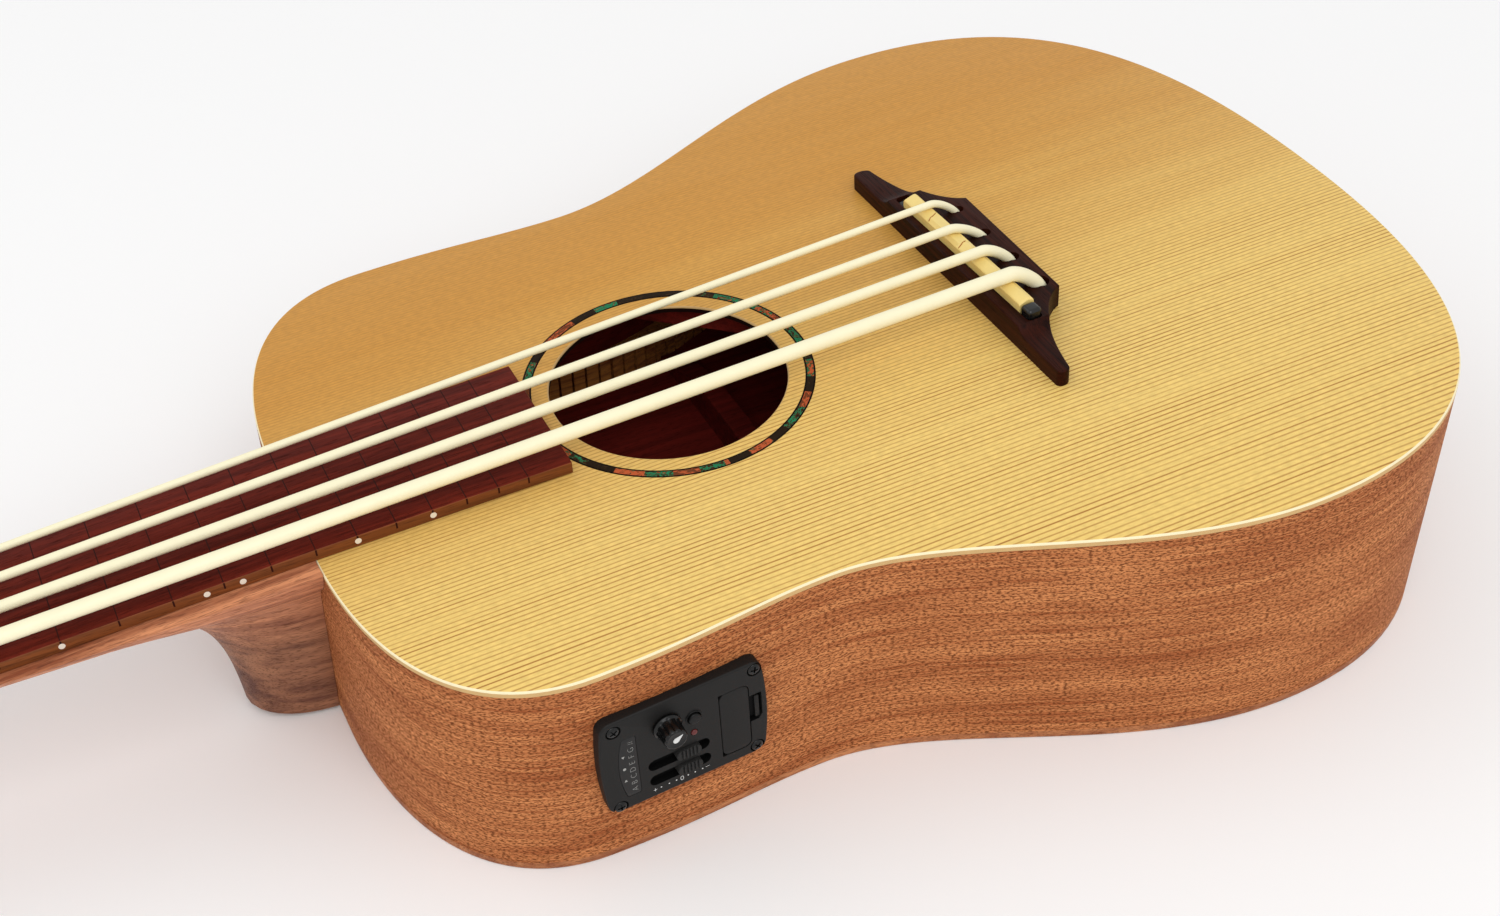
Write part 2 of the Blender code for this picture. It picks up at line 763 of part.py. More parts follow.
def build_braces():
    hang = -TOP_THICKNESS - GAP
    centre = Vector((0, X_CENTRE_FROM_SCALE_END))
    legs = {}
    for name, sign in (("x_brace_long", 1), ("x_brace_lapped", -1)):
        up = Vector((sign * math.sin(X_HALF_ANGLE), math.cos(X_HALF_ANGLE)))
        start = centre - up * (reach(centre, -up, BRACE_INSET) - 0.7 * BRACE_WIDTH)
        end = centre + up * (reach(centre, up, BRACE_INSET) - 0.7 * BRACE_WIDTH)
        mesh = beam(name, start, end, BRACE_WIDTH, -BRACE_HEIGHT, BRACE_TIP, hang)
        legs[name] = (piece(name, mesh, "spruce", TOP), math.atan2(up.y, up.x))
    lap = hang - BRACE_HEIGHT / 2
    half = BRACE_WIDTH / 2 + GAP
    for name, other, low, high in (
        ("x_brace_long", "x_brace_lapped", lap, hang + 1 * MM),
        ("x_brace_lapped", "x_brace_long", hang - BRACE_HEIGHT - 1 * MM, lap + GAP),
    ):
        turn = legs[other][1]
        notch = box(f"{name}_notch", (-4 * half, -half, low), (4 * half, half, high))
        notch.transform(Matrix.Translation((*centre, 0)) @ Matrix.Rotation(turn, 4, "Z"))
        cut(legs[name][0], cutter(f"{name}_notch", notch, TOP))

    y = HOLE_FROM_SCALE_END + UPPER_BRACE_FROM_HOLE
    far = reach(Vector((0, y)), Vector((1, 0)), BRACE_INSET + 2 * MM)
    ends = Vector((-far, y)), Vector((far, y))
    mesh = beam("upper_brace", *ends, UPPER_BRACE_WIDTH, -BRACE_HEIGHT, BRACE_TIP, hang)
    piece("upper_brace", mesh, "spruce", TOP)

    stand = BACK_THICKNESS + GAP
    places = (
        ("back_brace_upper", TAIL_Y + 0.80 * BODY_LENGTH),
        ("back_brace_middle", TAIL_Y + 0.54 * BODY_LENGTH),
        ("back_brace_lower", TAIL_Y + 0.27 * BODY_LENGTH),
    )
    for name, y in places:
        far = reach(Vector((0, y)), Vector((1, 0)), BRACE_INSET + 2 * MM)
        level = (y - BODY_MIDDLE) * math.cos(TAPER)
        ends = Vector((-far, level)), Vector((far, level))
        mesh = beam(
            name, *ends, BACK_BRACE_WIDTH, BACK_BRACE_HEIGHT, BRACE_TIP, stand
        )
        piece(name, mesh, "spruce", BODY)


def string_x(index, spread):
    return spread * (index / (len(STRINGS) - 1) - 0.5)


def saddle_line(x):
    """Y of the saddle's middle at X: the bass end lies nearer the tail."""
    return SADDLE_Y + x * math.tan(SADDLE_SLANT)


def string_holes():
    found = []
    for index, (_, diameter, _) in enumerate(STRINGS):
        x = string_x(index, SPREAD_AT_SADDLE)
        y = saddle_line(x) - HOLES_BEHIND_SADDLE
        found.append((x, y, diameter / 2 + SLIDE_GAP))
    return found


def build_bridge():
    """The bridge is its plan outline crossed with its long profile."""
    front = BRIDGE_FRONT
    rear = BRIDGE_FRONT - BRIDGE_DEPTH
    tip = Vector((BRIDGE_LENGTH / 2, front - BRIDGE_TIP_DEPTH / 2))
    corner = Vector((BRIDGE_REAR_WIDTH / 2, rear))
    wing = tip + Vector((-2 * MM, -BRIDGE_TIP_DEPTH / 2))
    sweep = interpolate_bezier(
        corner,
        corner + Vector((0.14, 0.38)) * BRIDGE_DEPTH,
        wing + Vector((-0.75, -0.12)) * BRIDGE_DEPTH,
        wing,
        12,
    )
    nose = interpolate_bezier(
        wing,
        wing + Vector((2.2 * MM, 0.4 * MM)),
        tip + Vector((0.6 * MM, BRIDGE_TIP_DEPTH / 2)),
        tip + Vector((-2 * MM, BRIDGE_TIP_DEPTH / 2)),
        6,
    )
    half = [tuple(p) for p in sweep] + [tuple(p) for p in nose[1:]]
    outline = half + [(-x, y) for x, y in reversed(half)]
    body = piece(
        "bridge", prism("bridge", outline, GAP, BRIDGE_TOP + 1 * MM), "rosewood", TOP
    )
    step = BRIDGE_STEP_FROM_CENTRE
    low = GAP + BRIDGE_WING_HEIGHT
    ramp = interpolate_bezier(
        Vector((step, BRIDGE_TOP)),
        Vector((step + 0.25 * BRIDGE_STEP_LENGTH, low + 0.2 * MM)),
        Vector((step + 0.5 * BRIDGE_STEP_LENGTH, low)),
        Vector((step + BRIDGE_STEP_LENGTH, low)),
        7,
    )
    far = BRIDGE_LENGTH / 2 + 5 * MM
    right = [(far, low)] + [tuple(p) for p in reversed(ramp)]
    edge = [(far, -5 * MM)] + right + [(-x, z) for x, z in reversed(right)]
    edge.append((-far, -5 * MM))
    profile = prism("bridge_profile", edge, rear - 5 * MM, front + 5 * MM)
    profile.transform(Matrix(((1, 0, 0, 0), (0, 0, 1, 0), (0, 1, 0, 0), (0, 0, 0, 1))))
    profile.flip_normals()
    combine(body, cutter("bridge_profile", profile, TOP), "INTERSECT")
    for index, (x, y, radius) in enumerate(string_holes()):
        bore = cylinder("bore", radius, -1 * MM, BRIDGE_TOP + 2 * MM, 12)
        bore.transform(Matrix.Translation((x, y, 0)))
        cut(body, cutter(f"bridge_hole_{STRINGS[index][0]}", bore, TOP))
        mouth = string_mouth(index, radius)
        cut(body, cutter(f"bridge_mouth_{STRINGS[index][0]}", mouth, TOP))
    half_slot = SADDLE_LENGTH / 2 + PICKUP_END_LENGTH + GAP
    half_width = SADDLE_WIDTH / 2 + GAP
    floor = BRIDGE_TOP - SADDLE_SLOT_DEPTH
    slot = box(
        "saddle_slot",
        (-half_slot, -half_width, floor),
        (half_slot, half_width, BRIDGE_TOP + 3 * MM),
    )
    cut(body, cutter("saddle_slot", slot, SADDLE))

    seat = floor + GAP
    bottom = seat + PICKUP_THICKNESS + GAP
    piece("saddle", saddle_mesh(bottom), "bone", SADDLE)

    middle = SADDLE_LENGTH / 2 + GAP
    end = SADDLE_LENGTH / 2 + PICKUP_END_LENGTH
    top = BRIDGE_TOP + PICKUP_END_PROUD
    u_shape = [
        (-end, seat),
        (end, seat),
        (end, top - 0.8 * MM),
        (end - 0.8 * MM, top),
        (middle, top),
        (middle, seat + PICKUP_THICKNESS),
        (-middle, seat + PICKUP_THICKNESS),
        (-middle, top),
        (-end + 0.8 * MM, top),
        (-end, top - 0.8 * MM),
    ]
    strip = prism("pickup_strip", u_shape, -SADDLE_WIDTH / 2, SADDLE_WIDTH / 2)
    strip.transform(Matrix.Rotation(math.pi / 2, 4, "X"))
    piece("pickup_strip", strip, "black_plastic", SADDLE)

    y = saddle_line(0) - HOLES_BEHIND_SADDLE
    rear = y - BRIDGE_PLATE_DEPTH / 2
    front = y + BRIDGE_PLATE_DEPTH / 2
    wide, narrow = between_braces(rear), between_braces(front)
    outline = [(-wide, rear), (wide, rear), (narrow, front), (-narrow, front)]
    holes = [circle(x, hole_y, radius, 12) for x, hole_y, radius in string_holes()]
    under = -TOP_THICKNESS - GAP
    piece(
        "bridge_plate",
        plate("bridge_plate", [outline] + holes, under - BRIDGE_PLATE_THICKNESS, under),
        "sapele",
        TOP,
    )


def between_braces(y):
    """Half the room between the two X braces at Y, on the tail side of their crossing."""
    middle = (X_CENTRE_FROM_SCALE_END - y) * math.tan(X_HALF_ANGLE)
    return middle - BRACE_WIDTH / 2 / math.cos(X_HALF_ANGLE) - GAP


def crest_offset(x):
    """The crest steps back and forth, so that each string has its own length."""
    step = string_x(1, SPREAD_AT_SADDLE) - string_x(0, SPREAD_AT_SADDLE)
    if x > step:
        return -SADDLE_STEP
    if x > 0:
        return SADDLE_STEP
    return -SADDLE_STEP / 2


def saddle_mesh(bottom):
    half = SADDLE_WIDTH / 2
    step = string_x(1, SPREAD_AT_SADDLE) - string_x(0, SPREAD_AT_SADDLE)
    ease = 1.2 * MM
    stations = [-SADDLE_LENGTH / 2, -ease, ease, step - ease, step + ease, SADDLE_LENGTH / 2]
    rings = []
    for x in stations:
        crest = crest_offset(x)
        shoulder = CREST - 1.6 * MM
        section = (
            (-half, bottom),
            (half, bottom),
            (half, shoulder),
            (crest + 0.7 * MM, CREST - 0.1 * MM),
            (crest - 0.7 * MM, CREST - 0.1 * MM),
            (-half, shoulder),
        )
        rings.append([Vector((x, y, z)) for y, z in section])
    for ring, inward in ((rings[0], 1), (rings[-1], -1)):
        for point in ring[2:]:
            point.x += inward * 0.8 * MM
    return loft("saddle", rings)


def fretboard_half_width(y):
    """At a distance from the scale's end."""
    share = (SCALE_LENGTH - y) / (SCALE_LENGTH - FRETBOARD_END)
    wide = FRETBOARD_WIDTH_AT_END - FRETBOARD_WIDTH_AT_NUT
    return (FRETBOARD_WIDTH_AT_NUT + wide * share) / 2


def build_fretboard():
    rings = []
    for frame, y, from_end in (
        (TOP, FRETBOARD_END, FRETBOARD_END),
        (TOP, JOINT_Y, JOINT_Y),
        (NECK, NUT_Y - GAP, SCALE_LENGTH),
    ):
        half = fretboard_half_width(from_end)
        section = ((-half, GAP), (half, GAP), (half, FRETBOARD_TOP), (-half, FRETBOARD_TOP))
        to_top = TOP.world.inverted() @ frame.world
        rings.append([to_top @ Vector((x, y, z)) for x, z in section])
    board = piece("fretboard", loft("fretboard", rings), "rosewood", TOP)
    edge = board.modifiers.new("edges", "BEVEL")
    edge.width = FRETBOARD_EDGE
    edge.segments = 1
    edge.limit_method = "ANGLE"
    edge.angle_limit = math.radians(45)


def heel_front(z):
    """How far the heel stands out from the body at a depth under the fretboard."""
    return HEEL_LENGTH + HEEL_REACH * math.exp(-(abs(z) - NECK_DEPTH) / HEEL_FALL)


def heel_floor(y):
    """The heel's flat foot, parallel to the back and just clear of it."""
    lean = TAPER + NECK_SET_BACK
    return (HEEL_CLEAR_OF_BACK - DEPTH_AT_NECK + y * math.sin(lean)) / math.cos(lean)


def neck_half_width(y, z):
    """Half the neck's width at a place along it and a depth: the shaft blended with the heel."""
    full = fretboard_half_width(JOINT_Y + y)
    sunk = min(abs(z) / NECK_DEPTH, 1.0)
    shaft = full * (1 - sunk**NECK_ROUNDNESS) ** (1 / NECK_ROUNDNESS)
    share = min(max(y, 0) / heel_front(z), 1.0)
    fall = (abs(z) / abs(heel_floor(0))) ** 0.87
    wide = full + (HEEL_HALF_WIDTH_AT_BOTTOM - full) * fall
    heel = wide * (1 - share**NECK_ROUNDNESS) ** (1 / NECK_ROUNDNESS)
    return (shaft**HEEL_BLEND + heel**HEEL_BLEND) ** (1 / HEEL_BLEND)


def neck_depth_at(y):
    """The depth of the underside: the shaft's, the heel's curve, or the heel's foot."""
    beyond = y - HEEL_LENGTH
    limit = -heel_floor(y)
    if beyond <= 0:
        return limit
    curve = NECK_DEPTH + HEEL_FALL * math.log(HEEL_REACH / beyond)
    return min(max(curve, NECK_DEPTH), limit)


def neck_ring(y, points=10):
    deep = neck_depth_at(y)
    ring = [Vector((0, y, 0))]
    for k in range(points):
        z = -deep * math.sin(math.pi / 2 * k / (points - 1))
        wide = neck_half_width(y, z)
        if deep < -heel_floor(y) and k == points - 1:
            wide = 0.0
        ring.append(Vector((wide, y, z)))
    ring.append(Vector((0, y, -deep)))
    return ring


def volute_ring(y, share, points=10):
    """Past the nut the shaft runs out in a point under the head."""
    drop = (y - NUT_Y - NUT_LENGTH) * math.tan(HEAD_ANGLE)
    top = -drop - HEAD_THICKNESS / 2
    proud = VOLUTE_PROUD * math.sin(math.pi * min(share + 0.15, 1.0))
    deep = drop + HEAD_THICKNESS + proud - (1.2 * MM if share == 1 else 0)
    half = fretboard_half_width(SCALE_LENGTH) * (1 - share**1.5) + 3 * MM * share
    ring = [Vector((0, y, top))]
    for k in range(points):
        turn = math.pi / 2 * k / (points - 1)
        z = top - (deep + top) * math.sin(turn)
        ring.append(Vector((half * math.cos(turn) ** 0.9, y, z)))
    ring.append(Vector((0, y, -deep)))
    return ring


def build_neck():
    """A half skin from the body to past the nut, mirrored, with the head joined on."""
    heel = [HEEL_LENGTH * (share - 0.3) for share in (0.0, 0.3, 0.6, 0.85, 1.05, 1.2, 1.3)]
    steps = (1.1, 3, 6, 10, 15, 21, 28, 36)
    curve = [HEEL_LENGTH + step * HEEL_REACH / 36 for step in steps]
    shaft = [NUT_Y * share for share in (0.33, 0.6, 1.0)]
    rings = [neck_ring(y) for y in heel + curve + shaft]
    for share in (0.0, 0.3, 0.6, 0.85, 1.0):
        y = NUT_Y + NUT_LENGTH + share * VOLUTE_LENGTH
        rings.append(volute_ring(y, share))
    bm = bmesh.new()
    made = [[bm.verts.new(point) for point in ring] for ring in rings]
    for before, after in zip(made, made[1:]):
        for i in range(len(before) - 1):
            bm.faces.new((before[i], before[i + 1], after[i + 1], after[i]))
    bm.faces.new(made[0])
    bm.faces.new(list(reversed(made[-1])))
    bmesh.ops.remove_doubles(bm, verts=bm.verts, dist=0.001 * MM)
    neck = piece("neck", mesh_of("neck", bm), "sapele", NECK, round_edges=True)
    mirror = neck.modifiers.new("other half", "MIRROR")
    mirror.use_axis = (True, False, False)
    mirror.use_mirror_merge = True
    mirror.merge_threshold = 0.01 * MM
    envelope = prism("body_envelope", to_world(whole_outline(-GAP)), *ENVELOPE)
    cut(neck, cutter("body_envelope_neck", envelope, BODY))

    slab = cutter("head_slab", prism("head_slab", head_outline(-2 * MM), HEAD_BACK, -GAP), HEAD)
    combine(neck, slab, "UNION")
    radius = BUSHING_RADIUS + GAP
    holes = []
    for index, (name, _, _) in enumerate(STRINGS):
        x, y = post_place(index)
        holes.append(circle(x, y, radius, 20))
        bore = cylinder("post_bore", radius, HEAD_BACK - 5 * MM, 5 * MM, 20)
        bore.transform(Matrix.Translation((x, y, 0)))
        cut(neck, cutter(f"post_bore_{name}", bore, HEAD))
    outline = head_outline(0.6 * MM)
    piece(
        "headplate",
        plate("headplate", [outline] + holes, 0, HEADPLATE_THICKNESS),
        "rosewood",
        HEAD,
    )

    half = FRETBOARD_WIDTH_AT_NUT / 2
    tallest = FRETBOARD_TOP + ACTION_AT_NUT + STRINGS[0][1] * 0.55
    lower = FRETBOARD_TOP + ACTION_AT_NUT + STRINGS[3][1] * 0.6
    section = ((-half, GAP), (half, GAP), (half, lower), (-half, tallest))
    rings = []
    for y, trim in ((NUT_Y, 0.0), (NUT_Y + NUT_LENGTH * 0.55, 0.0), (NUT_Y + NUT_LENGTH, 1.0)):
        rings.append(
            [(x, y, z - (trim * MM if z > GAP else 0)) for x, z in section]
        )
    nut = piece("nut", loft("nut", rings), "bone", NECK)
    for index, (name, diameter, _) in enumerate(STRINGS):
        x = string_x(index, SPREAD_AT_NUT)
        level = FRETBOARD_TOP + ACTION_AT_NUT + diameter / 2
        turn = Matrix.Rotation(-math.pi / 2, 4, "X")
        slot = cylinder("slot", diameter / 2 + GAP, -4 * MM, NUT_LENGTH + 4 * MM, 12)
        slot.transform(Matrix.Translation((x, NUT_Y, level)) @ turn)
        cut(nut, cutter(f"nut_slot_{name}", slot, NECK))


def head_outline(start):
    """The head's outline, from its start at the nut to its crown."""
    foot = Vector((fretboard_half_width(SCALE_LENGTH) + 0.3 * MM, start))
    low = Vector((HEAD_WIDTH_LOW / 2, HEAD_FLARE))
    high = Vector((HEAD_WIDTH_HIGH / 2, HEAD_LENGTH - 14 * MM))
    crown = Vector((0, HEAD_LENGTH))
    up = Vector((0, 1))
    flare = interpolate_bezier(
        foot, foot + up * 0.55 * HEAD_FLARE, low - up * 0.45 * HEAD_FLARE, low, 8
    )
    top = interpolate_bezier(
        high,
        high + up * 13 * MM,
        crown + Vector((0.42 * HEAD_WIDTH_HIGH / 2, -1.5 * MM)),
        crown,
        9,
    )
    half = [tuple(p) for p in flare] + [tuple(p) for p in top]
    return half + [(-x, y) for x, y in reversed(half[:-1])]


def post_place(index):
    """E and A on the bass side, D and G on the treble side, the outer strings nearest the nut."""
    side = -1 if index < 2 else 1
    y = LOW_POST if index in (0, 3) else HIGH_POST
    return side * POST_SPACING / 2, y


def winding_level(diameter):
    flange = HEADPLATE_THICKNESS + GAP + BUSHING_FLANGE
    return flange + 0.6 * MM + diameter / 2


def string_route(index):
    """The string's centre line in the world: under the bridge plate, up, over and to the post."""
    _, diameter, _ = STRINGS[index]
    radius = diameter / 2
    x, hole_y, _ = string_holes()[index]
    level = CREST + GAP + radius
    ball = -TOP_THICKNESS - GAP - BRIDGE_PLATE_THICKNESS - GAP - ball_radius(diameter)
    route = [TOP.at(x, hole_y, ball)]
    route += [TOP.at(*point) for point in string_bend(index, 7)]
    over_nut = FRETBOARD_TOP + ACTION_AT_NUT + GAP + radius
    nut_x = string_x(index, SPREAD_AT_NUT)
    route.append(NECK.at(nut_x, NUT_Y + NUT_LENGTH * 0.7, over_nut))
    touch, along = post_touch(index)
    route.append(touch - along * (diameter + GAP))
    return route


def string_bend(index, count):
    """From upright in its hole, the string leans forwards and rises to the saddle's crest."""
    _, diameter, _ = STRINGS[index]
    x, hole_y, _ = string_holes()[index]
    start = Vector((x, hole_y, BRIDGE_TOP - STRING_BEND_UNDER_BRIDGE_TOP))
    end = Vector((x, saddle_line(x) + crest_offset(x), CREST + GAP + diameter / 2))
    rise = Vector((0, 0, STRING_BEND_REACH))
    ahead = Vector((0, STRING_BEND_REACH, 0))
    return interpolate_bezier(start, start + rise, end - ahead, end, count)


def string_mouth(index, radius):
    """The room that a string's bend takes in front of its hole."""
    points = string_bend(index, 7)[:5]
    side = Vector((1, 0, 0))
    rings = []
    for k, point in enumerate(points):
        along = (points[min(k + 1, 4)] - points[max(k - 1, 0)]).normalized()
        across = side.cross(along)
        wide = radius * (0.9 if k == 0 else 1.0)
        turns = [math.tau * step / 8 for step in range(8)]
        rings.append([point + (side * math.cos(t) + across * math.sin(t)) * wide for t in turns])
    return loft("string_mouth", rings)


def ball_radius(diameter):
    return diameter / 2 + BALL_RIM


def post_touch(index):
    """Where the string meets its winding, and the string's direction there."""
    _, diameter, _ = STRINGS[index]
    radius = diameter / 2
    over_nut = FRETBOARD_TOP + ACTION_AT_NUT + GAP + radius
    nut_x = string_x(index, SPREAD_AT_NUT)
    start = NECK.at(nut_x, NUT_Y + NUT_LENGTH * 0.7, over_nut)
    local = HEAD.world.inverted() @ start
    px, py = post_place(index)
    side = math.copysign(1, px)
    around = POST_RADIUS + GAP + radius
    to_post = Vector((px - local.x, py - local.y))
    reach_length = math.sqrt(to_post.length_squared - around**2)
    turn = math.asin(around / to_post.length) * side
    heading = math.atan2(to_post.y, to_post.x) + turn
    x = local.x + reach_length * math.cos(heading)
    y = local.y + reach_length * math.sin(heading)
    touch = HEAD.at(x, y, winding_level(diameter))
    return touch, (touch - start).normalized()


def build_strings():
    for index, (name, diameter, turns) in enumerate(STRINGS):
        string = wire(f"string_{name}", string_route(index), diameter / 2, "urethane")
        string = to_mesh_object(string)
        ball_at = string_route(index)[0]
        bm = bmesh.new()
        bmesh.ops.create_uvsphere(
            bm,
            u_segments=8,
            v_segments=5,
            radius=ball_radius(diameter),
            matrix=Matrix.Translation(ball_at),
        )
        ball = cutter(f"ball_{name}", mesh_of(f"ball_{name}", bm), BODY)
        combine(string, ball, "UNION")
        build_winding(index, name, diameter, turns)


def to_mesh_object(curve_object):
    """Turns a tube into a mesh with welded caps, so that it can be joined."""
    name = curve_object.name
    found = curve_object.evaluated_get(bpy.context.evaluated_depsgraph_get())
    mesh = bpy.data.meshes.new_from_object(found)
    place = curve_object.matrix_world.copy()
    bpy.data.objects.remove(curve_object, do_unlink=True)
    bm = bmesh.new()
    bm.from_mesh(mesh)
    bmesh.ops.remove_doubles(bm, verts=bm.verts, dist=0.001 * MM)
    bm.to_mesh(mesh)
    bm.free()
    made = bpy.data.objects.new(name, mesh)
    made.matrix_world = place
    PARTS.objects.link(made)
    return made


def build_winding(index, name, diameter, turns):
    """The string's turns on its post, from the touch point up the post."""
    touch, along = post_touch(index)
    px, py = post_place(index)
    side = -math.copysign(1, px)
    local = HEAD.world.inverted() @ touch
    around = POST_RADIUS + GAP + diameter / 2
    first = math.atan2(local.y - py, local.x - px)
    pitch = diameter + WINDING_GAP
    count = round(24 * turns)
    helix = []
    for k in range(count + 1):
        turn = first + side * math.tau * k / 24
        x = px + around * math.cos(turn)
        y = py + around * math.sin(turn)
        helix.append(HEAD.at(x, y, local.z + pitch * k / 24))
    gap = min(
        (helix[i] - helix[j]).length - diameter
        for i in range(len(helix))
        for j in range(i + 12, len(helix))
    )
    print(f"string_{name} winding: least gap to itself {gap / MM:.2f} mm")
    end = (helix[-1] - helix[-2]).normalized()
    points = [touch - along * diameter] + helix + [helix[-1] + end * diameter]
    post = POSTS[name]
    inverse = post.world.inverted()
    wound = wire(
        f"winding_{name}", [inverse @ p for p in points], diameter / 2, "urethane", 1
    )
    wound.parent = post.empty


def build_machine(index, name):
    """An open-gear tuning machine: a base plate with ears, a worm on the key, a wheel and post."""
    x, y = post_place(index)
    hand = math.copysign(1, x)
    base = Frame(f"machine_{name}", HEAD, (x, y, HEAD_BACK))
    post = Frame(f"post_axis_{name}", base, (0, 0, -MACHINE_AXLE_DEPTH))
    key = Frame(f"key_axis_{name}", base, (0, WORM_OFFSET, -MACHINE_AXLE_DEPTH))
    POSTS[name] = post
    plate_low = -GAP - MACHINE_PLATE_THICKNESS

    outline = rounded_rectangle(0, 3 * MM, 19 * MM, 27 * MM, 3 * MM, steps=3)
    hole = circle(0, 0, POST_SHAFT_RADIUS + SLIDE_GAP, 16)
    mesh = plate(f"machine_plate_{name}", [outline, hole], plate_low, -GAP)
    frame_plate = piece(f"machine_plate_{name}", mesh, "steel", base)
    ear_at = WORM_TURNS * WORM_LEAD / 2 + SLIDE_GAP + EAR_THICKNESS / 2 + 0.3 * MM
    for which, sign in (("inner", -1), ("outer", 1)):
        ear = ear_mesh(plate_low)
        ear.transform(Matrix.Translation((sign * ear_at, WORM_OFFSET, 0)))
        combine(frame_plate, cutter(f"ear_{which}_{name}", ear, base), "UNION")

    low = HEAD_BACK - MACHINE_AXLE_DEPTH
    flange_top = HEADPLATE_THICKNESS + GAP + BUSHING_FLANGE
    neck_top = flange_top + GAP - low
    top = flange_top + POST_EXPOSED - low
    foot = -WHEEL_THICKNESS / 2 - 1.2 * MM
    profile = [
        (0, top),
        (POST_RADIUS - 0.7 * MM, top),
        (POST_RADIUS, top - 0.7 * MM),
        (POST_RADIUS, neck_top),
        (POST_SHAFT_RADIUS, neck_top),
        (POST_SHAFT_RADIUS, foot),
        (0, foot),
    ]
    shaft = piece(
        f"post_{name}", turned(f"post_{name}", profile, 16), "steel", post, True
    )
    combine(shaft, cutter(f"wheel_{name}", wheel_mesh(name, hand), post), "UNION")

    worm_half = WORM_TURNS * WORM_LEAD / 2 + 0.3 * MM
    inner_end = ear_at + EAR_THICKNESS / 2 + 1.2 * MM
    root = WORM_PITCH_RADIUS - WORM_DEDENDUM * TOOTH_MODULE
    outer = ear_at + EAR_THICKNESS / 2 + SLIDE_GAP
    collar = KEY_SHAFT_RADIUS + 1.3 * MM
    profile = [
        (0, KEY_REACH + BUTTON_SIZE.x / 2),
        (collar, KEY_REACH + BUTTON_SIZE.x / 2),
        (collar, KEY_REACH - 2 * MM),
        (KEY_SHAFT_RADIUS, KEY_REACH - 2.6 * MM),
        (KEY_SHAFT_RADIUS, outer),
        (root, worm_half),
        (root, -worm_half),
        (KEY_SHAFT_RADIUS, -worm_half - 0.1 * MM),
        (KEY_SHAFT_RADIUS, -inner_end),
        (0, -inner_end),
    ]
    mesh = turned(f"key_{name}", profile, 12, "X")
    if hand < 0:
        mesh.transform(Matrix.Diagonal((-1, 1, 1, 1)))
        mesh.flip_normals()
    handle = piece(f"key_{name}", mesh, "steel", key, True)
    combine(handle, cutter(f"worm_{name}", worm_mesh(name, hand), key), "UNION")
    bm = bmesh.new()
    centre = (hand * (KEY_REACH + BUTTON_SIZE.x / 2), 0, 0)
    shape = Matrix.Translation(centre) @ Matrix.Diagonal((*(BUTTON_SIZE / 2), 1))
    bmesh.ops.create_uvsphere(bm, u_segments=10, v_segments=6, radius=1, matrix=shape)
    button = cutter(f"button_{name}", mesh_of(f"button_{name}", bm), key)
    combine(handle, button, "UNION")

    top = HEADPLATE_THICKNESS + GAP
    inner = POST_SHAFT_RADIUS + GAP
    profile = [
        (inner, top + BUSHING_FLANGE),
        (BUSHING_FLANGE_RADIUS - 0.5 * MM, top + BUSHING_FLANGE),
        (BUSHING_FLANGE_RADIUS, top),
        (BUSHING_RADIUS, top),
        (BUSHING_RADIUS, top - BUSHING_LENGTH),
        (inner, top - BUSHING_LENGTH),
        (inner, top + BUSHING_FLANGE),
    ]
    mesh = turned(f"bushing_{name}", profile, 16)
    mesh.transform(Matrix.Translation((x, y, 0)))
    piece(f"bushing_{name}", mesh, "steel", HEAD, True)


def ear_mesh(plate_low):
    """One of the two ears that carry the worm's shaft, with its bearing hole."""
    half = 2.9 * MM
    centre = -MACHINE_AXLE_DEPTH
    outline = [(-half, plate_low + 0.4 * MM), (-half, centre)]
    for k in range(1, 6):
        turn = math.pi + math.pi * k / 6
        outline.append((half * math.cos(turn), centre + half * math.sin(turn)))
    outline += [(half, centre), (half, plate_low + 0.4 * MM)]
    hole = circle(0, centre, KEY_SHAFT_RADIUS + SLIDE_GAP, 12)
    mesh = plate("ear", [outline, hole], -EAR_THICKNESS / 2, EAR_THICKNESS / 2)
    mesh.transform(Matrix(((0, 0, 1, 0), (1, 0, 0, 0), (0, 1, 0, 0), (0, 0, 0, 1))))
    return mesh


def wheel_mesh(name, hand):
    """A worm wheel: trapezoid teeth, twisted across its face by the worm's lead."""
    outer = WHEEL_PITCH_RADIUS + TOOTH_ADDENDUM * TOOTH_MODULE
    root = WHEEL_PITCH_RADIUS - WHEEL_DEDENDUM * TOOTH_MODULE
    pitch = math.tau / WHEEL_TEETH
    lead_slope = WORM_LEAD / (math.tau * WORM_PITCH_RADIUS)
    rings = []
    for level in (-WHEEL_THICKNESS / 2, WHEEL_THICKNESS / 2):
        twist = lead_slope * level / WHEEL_PITCH_RADIUS
        ring = []
        for tooth in range(WHEEL_TEETH):
            middle = math.pi / 2 + tooth * pitch + twist
            for share, radius in ((-0.26, root), (-0.13, outer), (0.13, outer), (0.26, root)):
                turn = middle + share * pitch
                x = hand * radius * math.cos(turn)
                ring.append((x, radius * math.sin(turn), level))
        rings.append(ring)
    return loft(f"wheel_{name}", rings)


def worm_mesh(name, hand):
    """The worm's thread: a trapezoid swept along a helix round the key's shaft."""
    crest = WORM_PITCH_RADIUS + TOOTH_ADDENDUM * TOOTH_MODULE
    root = WORM_PITCH_RADIUS - WORM_DEDENDUM * TOOTH_MODULE - 0.25 * MM
    steps = 10
    count = steps * WORM_TURNS
    rings = []
    for k in range(count + 1):
        turn = math.tau * (k / steps - WORM_TURNS / 2)
        middle = WORM_LEAD * turn / math.tau
        ring = []
        for share, radius in ((-0.27, root), (-0.11, crest), (0.11, crest), (0.27, root)):
            x = hand * (middle + share * WORM_LEAD)
            ring.append((x, radius * math.cos(turn), radius * math.sin(turn)))
        rings.append(ring)
    return loft(f"worm_{name}", rings)


